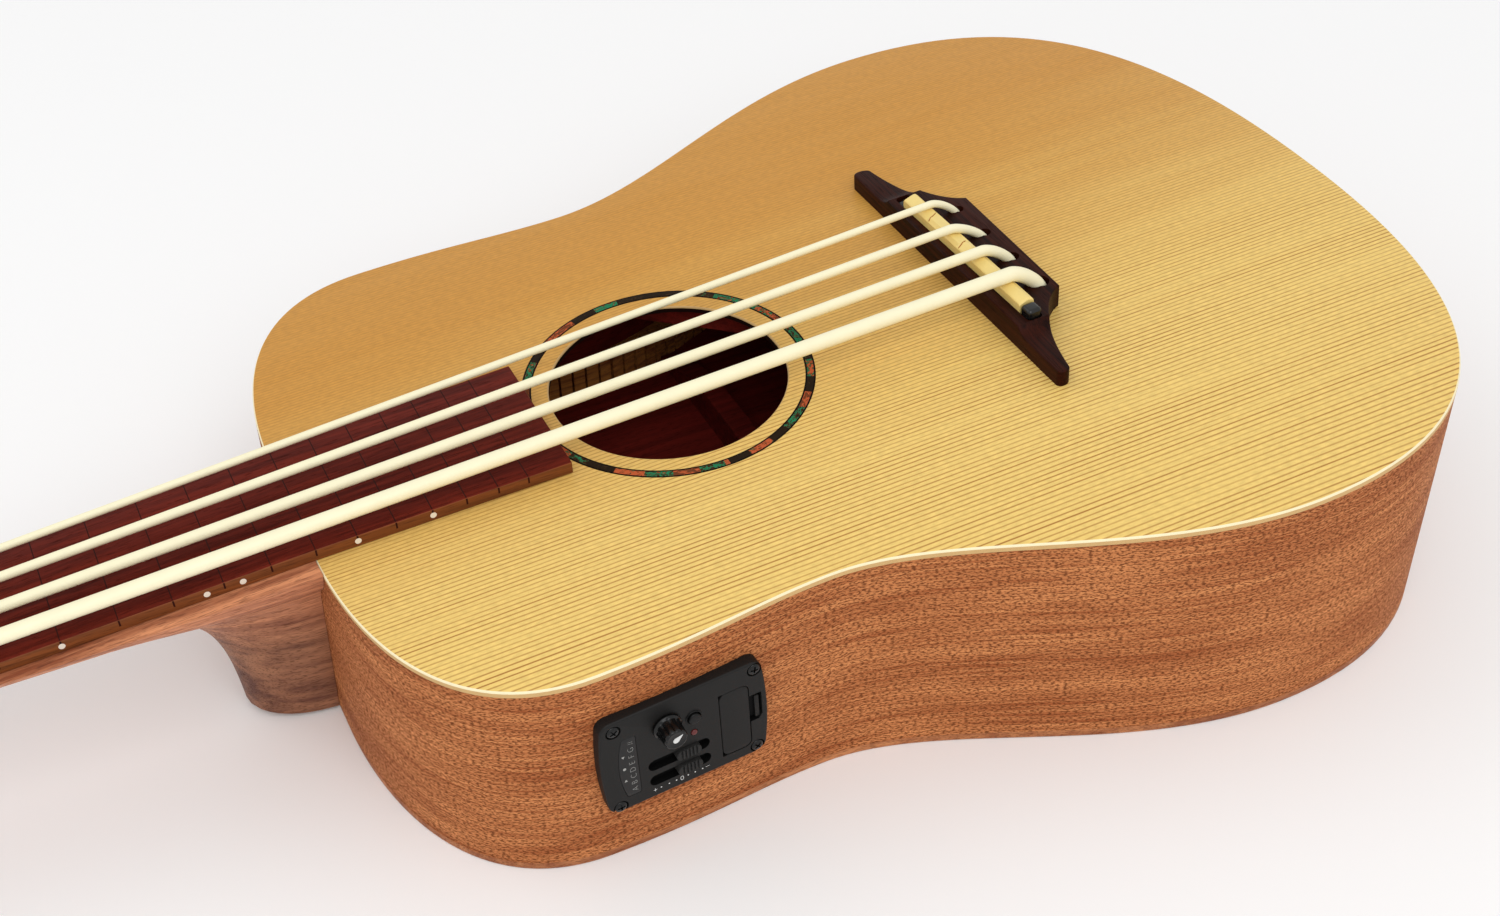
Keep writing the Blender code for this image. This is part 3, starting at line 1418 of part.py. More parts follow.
def preamp_opening():
    low, high = box_bounds()
    mesh = box(
        "preamp_opening",
        (low.x - GAP, low.y - GAP, -20 * MM),
        (high.x + GAP, high.y + GAP, 10 * MM),
    )
    return cutter("preamp_opening", mesh, PREAMP)


def box_bounds():
    """The opening in the side: it takes the preamp's box and its battery bay."""
    right = COVER_AT.x + COVER_WIDTH / 2 + 0.6 * MM
    low = Vector((WINDOW_AT.x - 2 * MM, BASS_SLOT_Y - SLOT_WIDTH / 2 - 0.6 * MM))
    high = Vector((right, KNOB_AT.y + KNOB_SKIRT_RADIUS))
    return low, high


def build_preamp():
    face = PREAMP_PROUD
    outline = rounded_rectangle(
        0, 0, PREAMP_LENGTH, PREAMP_HEIGHT, PREAMP_CORNER, PREAMP_BOW
    )
    flange = prism("preamp_housing", outline, -6 * MM, face)
    housing = piece("preamp_housing", flange, "black_plastic", PREAMP)
    envelope = prism("envelope", to_world(whole_outline(-GAP)), *ENVELOPE)
    cut(housing, cutter("body_envelope_preamp", envelope, BODY))
    low, high = box_bounds()
    bay_left = COVER_AT.x - COVER_WIDTH / 2 - 0.4 * MM
    overlap = face - 1 * MM
    main = box("preamp_box", (low.x, low.y, -BOX_DEPTH), (high.x, high.y, overlap))
    combine(housing, cutter("preamp_box", main, PREAMP), "UNION")
    cell_floor = face - COVER_THICKNESS - 3 * GAP - 2 * CELL_RADIUS - GAP
    bay = box(
        "battery_bay",
        (bay_left, low.y, cell_floor - 1.6 * MM),
        (high.x, high.y, overlap - 0.5 * MM),
    )
    combine(housing, cutter("battery_bay", bay, PREAMP), "UNION")

    build_controls(housing, face)
    build_battery(housing, face, cell_floor)


def pocket(name, outline, low, high, frame=None):
    return cutter(name, prism(name, outline, low, high), frame or PREAMP)


def build_controls(housing, face):
    x, y = KNOB_AT
    bore = circle(x, y, KNOB_SHAFT_RADIUS + SLIDE_GAP, 12)
    cut(housing, pocket("knob_bore", bore, face - 6 * MM, face + 1 * MM))
    knob = Frame("volume_axis", PREAMP, (x, y, face))
    rings = []
    count = KNOB_FLUTES * 4
    levels = (
        (GAP, KNOB_SKIRT_RADIUS, 0.0),
        (1.2 * MM, KNOB_SKIRT_RADIUS, 0.0),
        (1.7 * MM, KNOB_RADIUS, 0.08),
        (KNOB_HEIGHT - 0.6 * MM, KNOB_RADIUS - 0.3 * MM, 0.08),
        (KNOB_HEIGHT, KNOB_RADIUS - 0.7 * MM, 0.03),
    )
    for level, radius, flute in levels:
        ring = []
        for k in range(count):
            turn = math.tau * k / count
            depth = flute * (1 - abs(math.cos(KNOB_FLUTES * turn / 2)))
            r = radius * (1 - depth)
            ring.append((r * math.cos(turn), r * math.sin(turn), level))
        rings.append(ring)
    dial = piece(
        "volume_knob", loft("volume_knob", rings), "black_plastic", knob, True
    )
    stem = cylinder("knob_stem", KNOB_SHAFT_RADIUS, -5 * MM, 1 * MM, 12)
    combine(dial, cutter("knob_stem", stem, knob), "UNION")

    x, y = BUTTON_AT
    well_depth = BUTTON_TRAVEL + 2.6 * MM
    well = circle(x, y, TUNER_BUTTON_RADIUS + GAP, 16)
    cut(housing, pocket("button_well", well, face - well_depth, face + 1 * MM))
    profile = [
        (0, BUTTON_PROUD),
        (TUNER_BUTTON_RADIUS - 0.4 * MM, BUTTON_PROUD),
        (TUNER_BUTTON_RADIUS, BUTTON_PROUD - 0.4 * MM),
        (TUNER_BUTTON_RADIUS, -2.2 * MM),
        (0, -2.2 * MM),
    ]
    press = Frame("tuner_button_axis", PREAMP, (x, y, face))
    piece("tuner_button", turned("tuner_button", profile, 16), "grey_rubber", press, True)

    x, y = LED_AT
    well = circle(x, y, LED_RADIUS + GAP, 12)
    cut(housing, pocket("led_well", well, face - 3 * MM, face + 1 * MM))
    profile = [
        (0, 0.5 * MM),
        (LED_RADIUS * 0.6, 0.35 * MM),
        (LED_RADIUS, 0),
        (LED_RADIUS, -3 * MM + GAP),
        (0, -3 * MM + GAP),
    ]
    lamp = turned("battery_lamp", profile, 12)
    lamp.transform(Matrix.Translation((x, y, face)))
    piece("battery_lamp", lamp, "red_lens", PREAMP, True)

    for name, slot_y in (("treble", TREBLE_SLOT_Y), ("bass", BASS_SLOT_Y)):
        slot = rounded_rectangle(
            SLOT_CENTRE, slot_y, SLOT_LENGTH, SLOT_WIDTH, SLOT_WIDTH / 2 - 0.05 * MM
        )
        cut(housing, pocket(f"{name}_slot", slot, face - SLOT_DEPTH, face + 1 * MM))
        travel = SLOT_LENGTH - CAP_LENGTH
        groove = rounded_rectangle(
            SLOT_CENTRE, slot_y, travel + 4 * MM, 1.8 * MM, 0.4 * MM, steps=1
        )
        cut(housing, pocket(f"{name}_groove", groove, face - 7 * MM, face))
        rest = Frame(f"{name}_slider_axis", PREAMP, (SLOT_CENTRE + CAP_REST, slot_y, face))
        build_slider(f"{name}_slider", rest)

    x, y = WINDOW_AT
    recess = rounded_rectangle(
        x, y, WINDOW_WIDTH + 2 * GAP, WINDOW_HEIGHT + 2 * GAP, 0.6 * MM, 0.0, 2, WINDOW_BOW
    )
    floor = face - WINDOW_THICKNESS - GAP
    cut(housing, pocket("window_recess", recess, floor, face + 1 * MM))
    lens = rounded_rectangle(
        x, y, WINDOW_WIDTH, WINDOW_HEIGHT, 0.5 * MM, 0.0, 2, WINDOW_BOW
    )
    piece(
        "tuner_window",
        prism("tuner_window", lens, face - WINDOW_THICKNESS, face),
        "smoked_lens",
        PREAMP,
    )


def build_slider(name, frame):
    """A slider's cap with three grip grooves, and the stem that runs in the slot's groove."""
    width = SLOT_WIDTH - 2 * GAP
    outline = rounded_rectangle(0, 0, CAP_LENGTH, width, width / 2 - 0.05 * MM)
    cap = prism(name, outline, -SLOT_DEPTH + GAP, CAP_PROUD)
    made = piece(name, cap, "grey_rubber", frame)
    stem = box(f"{name}_stem", (-1.6 * MM, -0.5 * MM, -6 * MM), (1.6 * MM, 0.5 * MM, -1 * MM))
    combine(made, cutter(f"{name}_stem", stem, frame), "UNION")
    for k in (-1, 0, 1):
        x = k * 1.9 * MM
        groove = box(
            f"{name}_grip",
            (x - 0.35 * MM, -SLOT_WIDTH, CAP_PROUD - 0.7 * MM),
            (x + 0.35 * MM, SLOT_WIDTH, CAP_PROUD + 1 * MM),
        )
        cut(made, cutter(f"{name}_grip_{k + 2}", groove, frame))


def build_battery(housing, face, cell_floor):
    x, y = COVER_AT
    recess = rounded_rectangle(
        x, y, COVER_WIDTH + 2 * GAP, COVER_HEIGHT + 2 * GAP, COVER_CORNER + GAP, steps=3
    )
    shelf = face - COVER_THICKNESS - GAP
    cut(housing, pocket("cover_recess", recess, shelf, face + 1 * MM))
    latch_y = y + LATCH_ABOVE_COVER_MIDDLE
    room = LATCH_HEIGHT / 2 + 0.7 * MM
    notch_low = Vector((x + COVER_WIDTH / 2 - 1.7 * MM, latch_y - room))
    notch_high = Vector((x + COVER_WIDTH / 2 + LATCH_REACH + 0.7 * MM, latch_y + room))
    notch = box("latch_notch", (*notch_low, shelf - 1.1 * MM), (*notch_high, face + 1 * MM))
    cut(housing, cutter("latch_notch", notch, PREAMP))
    left = x - COVER_WIDTH / 2 - GAP
    half_length = COVER_HEIGHT / 2 + GAP
    hinge_room = box(
        "hinge_room",
        (left, y - half_length, shelf),
        (left + COVER_CORNER + GAP, y + half_length, face + 1 * MM),
    )
    cut(housing, cutter("hinge_room", hinge_room, PREAMP))
    pair = 2 * CELL_THICKNESS + 3 * GAP
    bay = box(
        "cell_bay",
        (x - pair / 2, y - CELL_RADIUS - GAP, cell_floor),
        (x + pair / 2, y + CELL_RADIUS + GAP, face),
    )
    cut(housing, cutter("cell_bay", bay, PREAMP))

    hinge_x = x - COVER_WIDTH / 2 + COVER_THICKNESS / 2
    hinge = Frame("battery_cover_axis", PREAMP, (hinge_x, y, face - COVER_THICKNESS / 2))
    half = COVER_THICKNESS / 2
    outline = rounded_rectangle(
        x - hinge_x, 0, COVER_WIDTH, COVER_HEIGHT, COVER_CORNER, steps=3
    )
    lid = piece(
        "battery_cover", prism("battery_cover", outline, -half, half), "black_plastic", hinge
    )
    edge = x - hinge_x + COVER_WIDTH / 2
    tab = box(
        "latch_tab",
        (edge - 1.2 * MM, latch_y - y - LATCH_HEIGHT / 2, -half - 0.8 * MM),
        (edge + LATCH_REACH, latch_y - y + LATCH_HEIGHT / 2, -half + 0.3 * MM),
    )
    combine(lid, cutter("latch_tab", tab, hinge), "UNION")

    for k, name in ((-1, "coin_cell_inner"), (1, "coin_cell_outer")):
        profile = [
            (0, CELL_THICKNESS / 2),
            (CELL_RADIUS - 1.2 * MM, CELL_THICKNESS / 2),
            (CELL_RADIUS, CELL_THICKNESS / 2 - 0.6 * MM),
            (CELL_RADIUS, -CELL_THICKNESS / 2),
            (0, -CELL_THICKNESS / 2),
        ]
        cell = turned(name, profile, 20, "X")
        cell_x = x + k * (CELL_THICKNESS + GAP) / 2
        cell.transform(Matrix.Translation((cell_x, y, cell_floor + GAP + CELL_RADIUS)))
        piece(name, cell, "steel", PREAMP, True)


def jack_place():
    """The jack's axis runs level through the tail, halfway up it. Local Z points outwards."""
    y = (TAIL_Y - BODY_MIDDLE) * math.cos(TAPER)
    return Matrix.Translation((0, y, DEPTH_AT_TAIL / 2)) @ Matrix.Rotation(math.pi / 2, 4, "X")


def jack_bore(name, radius):
    mesh = cylinder(name, radius, -40 * MM, 10 * MM, 20, jack_place())
    return cutter(name, mesh, BODY)


def build_jack():
    inner = JACK_FLANGE - JACK_LENGTH
    profile = [
        (0, inner + 2 * MM),
        (JACK_BORE_RADIUS, inner + 2 * MM),
        (JACK_BORE_RADIUS, JACK_FLANGE + GAP),
        (JACK_FLANGE_RADIUS - 1.2 * MM, JACK_FLANGE + GAP),
        (JACK_FLANGE_RADIUS, JACK_FLANGE - 1 * MM),
        (JACK_FLANGE_RADIUS, GAP),
        (JACK_BARREL_RADIUS, GAP),
        (JACK_BARREL_RADIUS, inner),
        (0, inner),
    ]
    jack = turned("output_jack", profile, 20)
    jack.transform(jack_place())
    piece("output_jack", jack, "steel", BODY, True)


def place_preamp():
    """The face's frame: at the side's outermost point there, square to the chord behind it."""
    line = half_outline()

    def width_at(y):
        for (x1, y1), (x2, y2) in zip(line, line[1:]):
            if min(y1, y2) <= y <= max(y1, y2) and y2 > TAIL_Y + TAIL_TO_WAIST / 2:
                return x1 + (x2 - x1) * (y - y1) / (y2 - y1)
        return UPPER_BOUT / 2

    centre = PREAMP_FROM_SCALE_END
    near = width_at(centre - PREAMP_LENGTH / 2)
    far = width_at(centre + PREAMP_LENGTH / 2)
    swing = math.atan2(far - near, PREAMP_LENGTH)
    bulge = max(
        width_at(centre + PREAMP_LENGTH * k / 20)
        - near
        - (far - near) * (k / 20 + 0.5)
        for k in range(-10, 11)
    )
    on_wall = (-(near + far) / 2 - bulge - GAP, centre, -PREAMP_BELOW_TOP)
    return Frame("preamp_face", TOP, on_wall, (math.pi / 2, 0, -math.pi / 2 + swing))


clear_scene()
PARTS = collection("bass_ukulele")
CUTTERS = collection("cutters")
BODY = Frame("body_origin")
TOP = Frame(
    "top_plane",
    BODY,
    (0, -BODY_MIDDLE * math.cos(TAPER), DEPTH_AT_SCALE_END),
    (-TAPER, 0, 0),
)
SADDLE = Frame("saddle_line", TOP, (0, SADDLE_Y, 0), (0, 0, SADDLE_SLANT))
NECK = Frame("neck_line", TOP, (0, JOINT_Y, 0), (-NECK_SET_BACK, 0, 0))
HEAD = Frame("head_plane", NECK, (0, NUT_Y + NUT_LENGTH, 0), (-HEAD_ANGLE, 0, 0))
PREAMP = place_preamp()
POSTS = {}

build_shell()
build_braces()
build_bridge()
build_fretboard()
build_neck()
for number, (string, _, _) in enumerate(STRINGS):
    build_machine(number, string)
build_strings()
build_preamp()
build_jack()
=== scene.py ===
"""Looks of the fretless bass ukulele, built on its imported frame.

Everything is in metres in the frame's own axes: +Y to the headstock, +X to the treble side, +Z out
of the soundboard, and the back lies on Z = 0. The file is laid out as an add-on with one operator
for each piece or group of pieces, and is run as a script.
"""

import math

import bmesh
import bpy
from bpy.props import FloatProperty, FloatVectorProperty, PointerProperty
from mathutils import Euler, Matrix, Vector
from mathutils.geometry import interpolate_bezier


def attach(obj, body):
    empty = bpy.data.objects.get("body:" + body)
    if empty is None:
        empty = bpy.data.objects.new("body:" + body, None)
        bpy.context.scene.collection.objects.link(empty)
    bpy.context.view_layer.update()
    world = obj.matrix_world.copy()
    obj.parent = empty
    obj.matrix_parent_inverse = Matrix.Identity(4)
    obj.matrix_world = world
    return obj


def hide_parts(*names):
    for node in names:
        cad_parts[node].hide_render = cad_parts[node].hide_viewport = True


bl_info = {"name": "Bass Ukulele", "version": (1, 0, 0), "blender": (4, 5, 0),
           "location": "3D View > Sidebar > Ukulele",
           "description": "Builds a dressed bass ukulele on its packed frame", "category": "Object"}

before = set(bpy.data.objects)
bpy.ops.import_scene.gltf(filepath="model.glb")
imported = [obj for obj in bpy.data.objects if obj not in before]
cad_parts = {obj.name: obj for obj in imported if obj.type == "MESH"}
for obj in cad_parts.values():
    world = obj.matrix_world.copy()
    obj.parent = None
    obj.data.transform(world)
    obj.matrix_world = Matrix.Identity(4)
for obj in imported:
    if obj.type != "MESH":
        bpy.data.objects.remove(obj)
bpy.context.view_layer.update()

MM = 0.001
STRING_NAMES = ("e", "a", "d", "g")
SIDES = (("bass", -1), ("treble", 1))

# The frame's own sizes, which the pieces have to fit
GAP = 0.3 * MM
SCALE_LENGTH = 508 * MM
BODY_LENGTH = 363 * MM
DEPTH_AT_TAIL = 87.1 * MM
DEPTH_AT_NECK = 73.5 * MM
LOWER_BOUT = 281.6 * MM
WAIST = 203 * MM
UPPER_BOUT = 212 * MM
TAIL_TO_LOWER_BOUT = 0.2755 * BODY_LENGTH
TAIL_TO_SCALE_END = 0.3747 * BODY_LENGTH
TAIL_TO_WAIST = 0.6474 * BODY_LENGTH
TAIL_TO_UPPER_BOUT = 0.8485 * BODY_LENGTH
NECK_FLAT = 48 * MM
TOP_THICKNESS = 2.0 * MM
BACK_THICKNESS = 2.8 * MM
SIDE_THICKNESS = 2.2 * MM
LINING_WIDTH = 6 * MM
LINING_HEIGHT = 13 * MM
TAIL_BLOCK_WIDTH = 60 * MM
HOLE_Y = 0.2837 * BODY_LENGTH
HOLE_RADIUS = 37.6 * MM
ROSETTE_RADIUS = 46.3 * MM
ROSETTE_WIDTH = 3.2 * MM
STRING_DIAMETERS = (4.8 * MM, 3.6 * MM, 3.0 * MM, 2.5 * MM)
STRING_TURNS = (1.75, 2.0, 2.0, 2.25)
BALL_MARGIN = 2.2 * MM
SPREAD_AT_SADDLE = 47.6 * MM
SPREAD_AT_NUT = 32.6 * MM
BEND_UNDER_BRIDGE_TOP = 4 * MM
BEND_REACH = 3.7 * MM
ACTION_AT_NUT = 1.0 * MM
BRIDGE_LENGTH = 127 * MM
BRIDGE_FRONT = 1.2 * MM
BRIDGE_DEPTH = 22 * MM
BRIDGE_REAR_WIDTH = 57 * MM
BRIDGE_TIP_DEPTH = 4.6 * MM
BRIDGE_TOP = 8.3 * MM
BRIDGE_WING_TOP = 5.7 * MM
BRIDGE_STEP = 40 * MM
BRIDGE_STEP_LENGTH = 9 * MM
SADDLE_LENGTH = 68.6 * MM
SADDLE_WIDTH = 5.2 * MM
SADDLE_Y = -4.0 * MM
SADDLE_SLANT = math.radians(2.0)
SADDLE_FLOOR = 3.3 * MM
SADDLE_SHIFT = 1.1 * MM
CREST_SHIFTS = (-SADDLE_SHIFT / 2, -SADDLE_SHIFT / 2, SADDLE_SHIFT, -SADDLE_SHIFT)
CREST = 12.3 * MM
PICKUP_END = 5.2 * MM
PICKUP_TOP = BRIDGE_TOP + 3.0 * MM
HOLES_BEHIND_SADDLE = 12 * MM
FRETBOARD_TOP = 4.3 * MM
FRETBOARD_END = HOLE_Y + HOLE_RADIUS + 5.4 * MM
WIDTH_AT_NUT = 43 * MM
WIDTH_AT_END = 53 * MM
NECK_DEPTH = 14.4 * MM
NECK_ROUNDNESS = 2.2
HEEL_LENGTH = 27 * MM
HEEL_CLEAR = 1.5 * MM
HEEL_REACH = 36 * MM
HEEL_FALL = 11.2 * MM
HEEL_FOOT = 14 * MM
HEEL_SWELL = 3 * MM
HEEL_SWELL_FALL = 15 * MM
HEEL_TAPER = 0.87
SLIM_AT = 66 * MM
SLIM_REACH = 26 * MM
SLIM_SHARE = 0.31
VOLUTE_LENGTH = 28 * MM
VOLUTE_PROUD = 1.8 * MM
NUT_LENGTH = 5 * MM
HEAD_LENGTH = 138 * MM
HEAD_THICKNESS = 13 * MM
HEAD_WIDTH_LOW = 66 * MM
HEAD_WIDTH_HIGH = 73 * MM
HEAD_FLARE = 28 * MM
HEADPLATE_THICKNESS = 1.5 * MM
NECK_ANGLE = math.radians(1.04)
HEAD_ANGLE = math.radians(8)
POST_SPACING = 44 * MM
LOW_POST = 0.275 * HEAD_LENGTH
HIGH_POST = 0.667 * HEAD_LENGTH
POST_RADIUS = 3.9 * MM
POST_SHAFT = 3.0 * MM
POST_EXPOSED = 19 * MM
BUSHING_BORE = 4.7 * MM
AXLE_DEPTH = 5.4 * MM
WHEEL_TEETH = 14
WHEEL_PITCH = 7 * MM
WORM_PITCH = 2.6 * MM
WORM_LEAD = math.pi * MM
WORM_OFFSET = WHEEL_PITCH + WORM_PITCH
KEY_REACH = 16.5 * MM
BUTTON_SIZE = Vector((14, 17, 7)) * MM
FLANGE_TOP = HEADPLATE_THICKNESS + GAP + 1.2 * MM
FLANGE_RADIUS = 6.6 * MM
PLATE_THICKNESS = 1.2 * MM
EAR_RADIUS = 2.9 * MM
EAR_HALF = 0.65 * MM
SHAFT_RADIUS = 1.6 * MM
WINDING_GAP = 0.55 * MM
PREAMP_FACE = 2.8 * MM
PREAMP_LENGTH = 50 * MM
PREAMP_HEIGHT = 37 * MM
PREAMP_Y = 0.4124 * BODY_LENGTH
PREAMP_LEVEL = -35 * MM
KNOB_AT = (-5.3 * MM, 8.7 * MM)
BUTTON_AT = (3.2 * MM, 7.1 * MM)
LAMP_AT = (2.9 * MM, 1.1 * MM)
SLOT_X = -2.4 * MM
SLOT_Y = {"treble": -5.4 * MM, "bass": -11.7 * MM}
SLOT_LENGTH = 19.6 * MM
SLOT_WIDTH = 4.2 * MM
WINDOW_AT = (-17.2 * MM, -1.7 * MM)
COVER_AT = (16.0 * MM, -1.8 * MM)
COVER_SIZE = (9.2 * MM, 25.2 * MM)
COVER_THICKNESS = 1.2 * MM
LATCH_REACH = 3.4 * MM
LATCH_ABOVE_COVER = 1.9 * MM
CELL_RADIUS = 10 * MM
CELL_FLOOR = PREAMP_FACE - COVER_THICKNESS - 1.2 * MM - 2 * CELL_RADIUS
SCREWS = ((-21.3 * MM, 14.7 * MM), (23.0 * MM, 15.5 * MM), (22.4 * MM, -16.1 * MM),
          (-21.9 * MM, -16.6 * MM))
JACK_BORE = 6.1 * MM

TAPER = math.atan((DEPTH_AT_TAIL - DEPTH_AT_NECK) / BODY_LENGTH)
TAIL_Y = -TAIL_TO_SCALE_END
JOINT_Y = BODY_LENGTH - TAIL_TO_SCALE_END
BODY_MIDDLE = (TAIL_Y + JOINT_Y) / 2
NUT_Y = SCALE_LENGTH - JOINT_Y
HEAD_BACK = -GAP - HEAD_THICKNESS
LINING_INSET = SIDE_THICKNESS + GAP

# How finely curved outlines, half the neck's section and a string's turn on its post are divided
FINE = 40
SECTION_POINTS = 28
TURN_STEPS = 48

# Half the width of the painted shade lines at the steps of the saddle's top
STEP_SHADE_RADIUS = 0.16 * MM

# The camera of the photograph, fitted to the marks on the fretboard and the body's outline, in the
# soundboard's frame
LENS = 49.449
SENSOR = 36
SHIFT_X = 0.1
CAMERA_SPOT = Vector((-471.1594, 282.6012, 405.8554)) * MM
CAMERA_RIGHT = Vector((-0.38849292, -0.91625379, -0.09773559))
CAMERA_DOWN = Vector((-0.57562589, 0.32414483, -0.75072296))
CAMERA_FORWARD = Vector((0.71953324, -0.23539142, -0.65334738))

# Name, place, size in metres and watts of the studio's lamps
LAMPS = (("key_softbox", (-1.6, 0.4, 2.0), 1.9, 26), ("fill_softbox", (1.2, 1.6, 2.0), 1.8, 7))
LAMP_AIM = Vector((0, 0, 0.05))

TOP = (
    Matrix.Translation(
        (0, -BODY_MIDDLE * math.cos(TAPER), DEPTH_AT_TAIL - TAIL_TO_SCALE_END * math.tan(TAPER))
    )
    @ Matrix.Rotation(-TAPER, 4, "X")
)
UPSIDE_DOWN = Matrix.Rotation(math.pi, 4, "X")
SADDLE_ON_TOP = Matrix.Translation((0, SADDLE_Y, 0)) @ Matrix.Rotation(SADDLE_SLANT, 4, "Z")
SADDLE = TOP @ SADDLE_ON_TOP
NECK = TOP @ Matrix.Translation((0, JOINT_Y, 0)) @ Matrix.Rotation(-NECK_ANGLE, 4, "X")
HEAD = NECK @ Matrix.Translation((0, NUT_Y + NUT_LENGTH, 0)) @ Matrix.Rotation(-HEAD_ANGLE, 4, "X")


def linear(colour):
    """An sRGB hex colour as the linear values that Blender's sockets hold."""
    parts = [int(colour[k : k + 2], 16) / 255 for k in (0, 2, 4)]
    return tuple(c / 12.92 if c <= 0.04045 else ((c + 0.055) / 1.055) ** 2.4 for c in parts)


def colour_property(name, description, colour):
    return FloatVectorProperty(name=name, description=description, subtype="COLOR", size=3, min=0, max=1,
                               default=linear(colour))


def size_property(name, description, size):
    return FloatProperty(name=name, description=description, default=size, min=0, precision=5,
                         subtype="DISTANCE", unit="LENGTH")


class UkuleleSizes(bpy.types.PropertyGroup):
    """Sizes of details that don't change the frame."""

    edge_round: size_property("Edge rounding", "Radius of the soundboard's and back's outer edge", 0.7 * MM)
    top_grain: size_property("Soundboard grain", "Distance between growth lines at the soundboard's middle",
                             1.45 * MM)
    kerf_pitch: size_property("Kerf pitch", "Distance between cuts in the linings", 5 * MM)
    fret_line: size_property("Fret line", "Width of the lines that mark the notes", 0.55 * MM)
    side_dot: size_property("Side dot", "Diameter of the dots on the fretboard's side", 2 * MM)
    bridge_edge: size_property("Bridge edge", "Radius of the bridge's edges", 0.5 * MM)
    plate_edge: size_property("Preamp edge", "Radius of the preamp face's edge", 0.6 * MM)


class UkuleleColours(bpy.types.PropertyGroup):
    """Colours of the finishes."""

    top_pale: colour_property("Top, pale", "Soundboard between its lines, bass side", "EECB74")
    # Painted shade: the soundboard grows darker and warmer toward the treble side and the neck, partly its
    # own tone and partly light falling off there
    top_warm_shaded: colour_property("Top, warm", "Soundboard between its lines, treble side", "C98F3A")
    top_line: colour_property("Top, line", "Soundboard's growth lines", "A46A28")
    # Painted highlight: the soundboard's rounded outer edge is drawn near white where it catches the light
    top_edge: colour_property("Top's edge", "Bare edge of the soundboard", "FCEFC6")
    body_pale: colour_property("Body, pale", "Sapele of the sides and back, light", "D88E58")
    body_dark: colour_property("Body, dark", "Sapele of the sides and back, dark", "9E562E")
    inside: colour_property("Inside", "Stained wood inside the box", "82231A")
    neck_pale: colour_property("Neck, pale", "Mahogany of the neck, light", "CA8860")
    neck_dark: colour_property("Neck, dark", "Mahogany of the neck, dark", "784029")
    board_pale: colour_property("Fretboard, pale", "Fretboard, light streaks", "6E2418")
    board_dark: colour_property("Fretboard, dark", "Fretboard, dark streaks", "4A140C")
    board_side: colour_property("Fretboard's side", "Side of the fretboard", "8A4C24")
    bridge_pale: colour_property("Bridge, pale", "Bridge, light streaks", "38150B")
    bridge_dark: colour_property("Bridge, dark", "Bridge, dark streaks", "170704")
    lining: colour_property("Linings", "Kerfed strips inside the box", "D08A42")
    bone: colour_property("Saddle and nut", "Cream composite of the saddle and nut", "F8DC88")
    string: colour_property("Strings", "Cream polyurethane of the strings", "FDF6D2")
    housing: colour_property("Preamp", "Moulded black plastic of the preamp", "161514")
    knob: colour_property("Knob", "Glossy black plastic of the knob", "080808")
    grip: colour_property("Grips", "Grey-black rubber of caps and button", "1E1D1C")
    print: colour_property("Marks", "Printed marks on the preamp", "D8D8D6")
    lamp: colour_property("Lamp", "Red lens of the battery lamp", "5A0D0A")
    metal: colour_property("Metal", "Nickel plate of the machines and jack", "C9C6C0")
    floor: colour_property("Floor", "Plain studio floor", "FCFCFC")


# Nodes and materials


def main_output(node):
    """The output that carries a node's result. A colour mix has it third."""
    return node.outputs[2 if node.bl_idname == "ShaderNodeMix" else 0]


def add(tree, kind, inputs=None, **settings):
    """Adds a node. An input is a value, a socket, or a node whose result is linked."""
    made = tree.nodes.new("ShaderNode" + kind)
    for name, value in settings.items():
        setattr(made, name, value)
    fill_inputs(tree, made, inputs or {})
    return made


def fill_inputs(tree, made, inputs):
    for key, value in inputs.items():
        if isinstance(value, bpy.types.Node):
            value = main_output(value)
        if isinstance(value, bpy.types.NodeSocket):
            tree.links.new(value, made.inputs[key])
        elif made.inputs[key].type == "RGBA":
            made.inputs[key].default_value = (*value, 1)[:4]
        else:
            made.inputs[key].default_value = value


def paint(colour):
    """A colour of the panel by its name, or an sRGB hex colour."""
    return getattr(bpy.context.scene.ukulele_colours, colour, None) or linear(colour)


def start_material(name, colour, roughness, specular=0.5, metallic=0.0):
    made = bpy.data.materials.new(name)
    made.use_nodes = True
    shader = made.node_tree.nodes["Principled BSDF"]
    values = {"Base Color": colour, "Roughness": roughness, "Metallic": metallic}
    fill_inputs(made.node_tree, shader, values)
    if specular != 0.5:
        shader.inputs["Specular IOR Level"].default_value = specular
    made.diffuse_color = (*colour, 1)
    return made, made.node_tree, shader


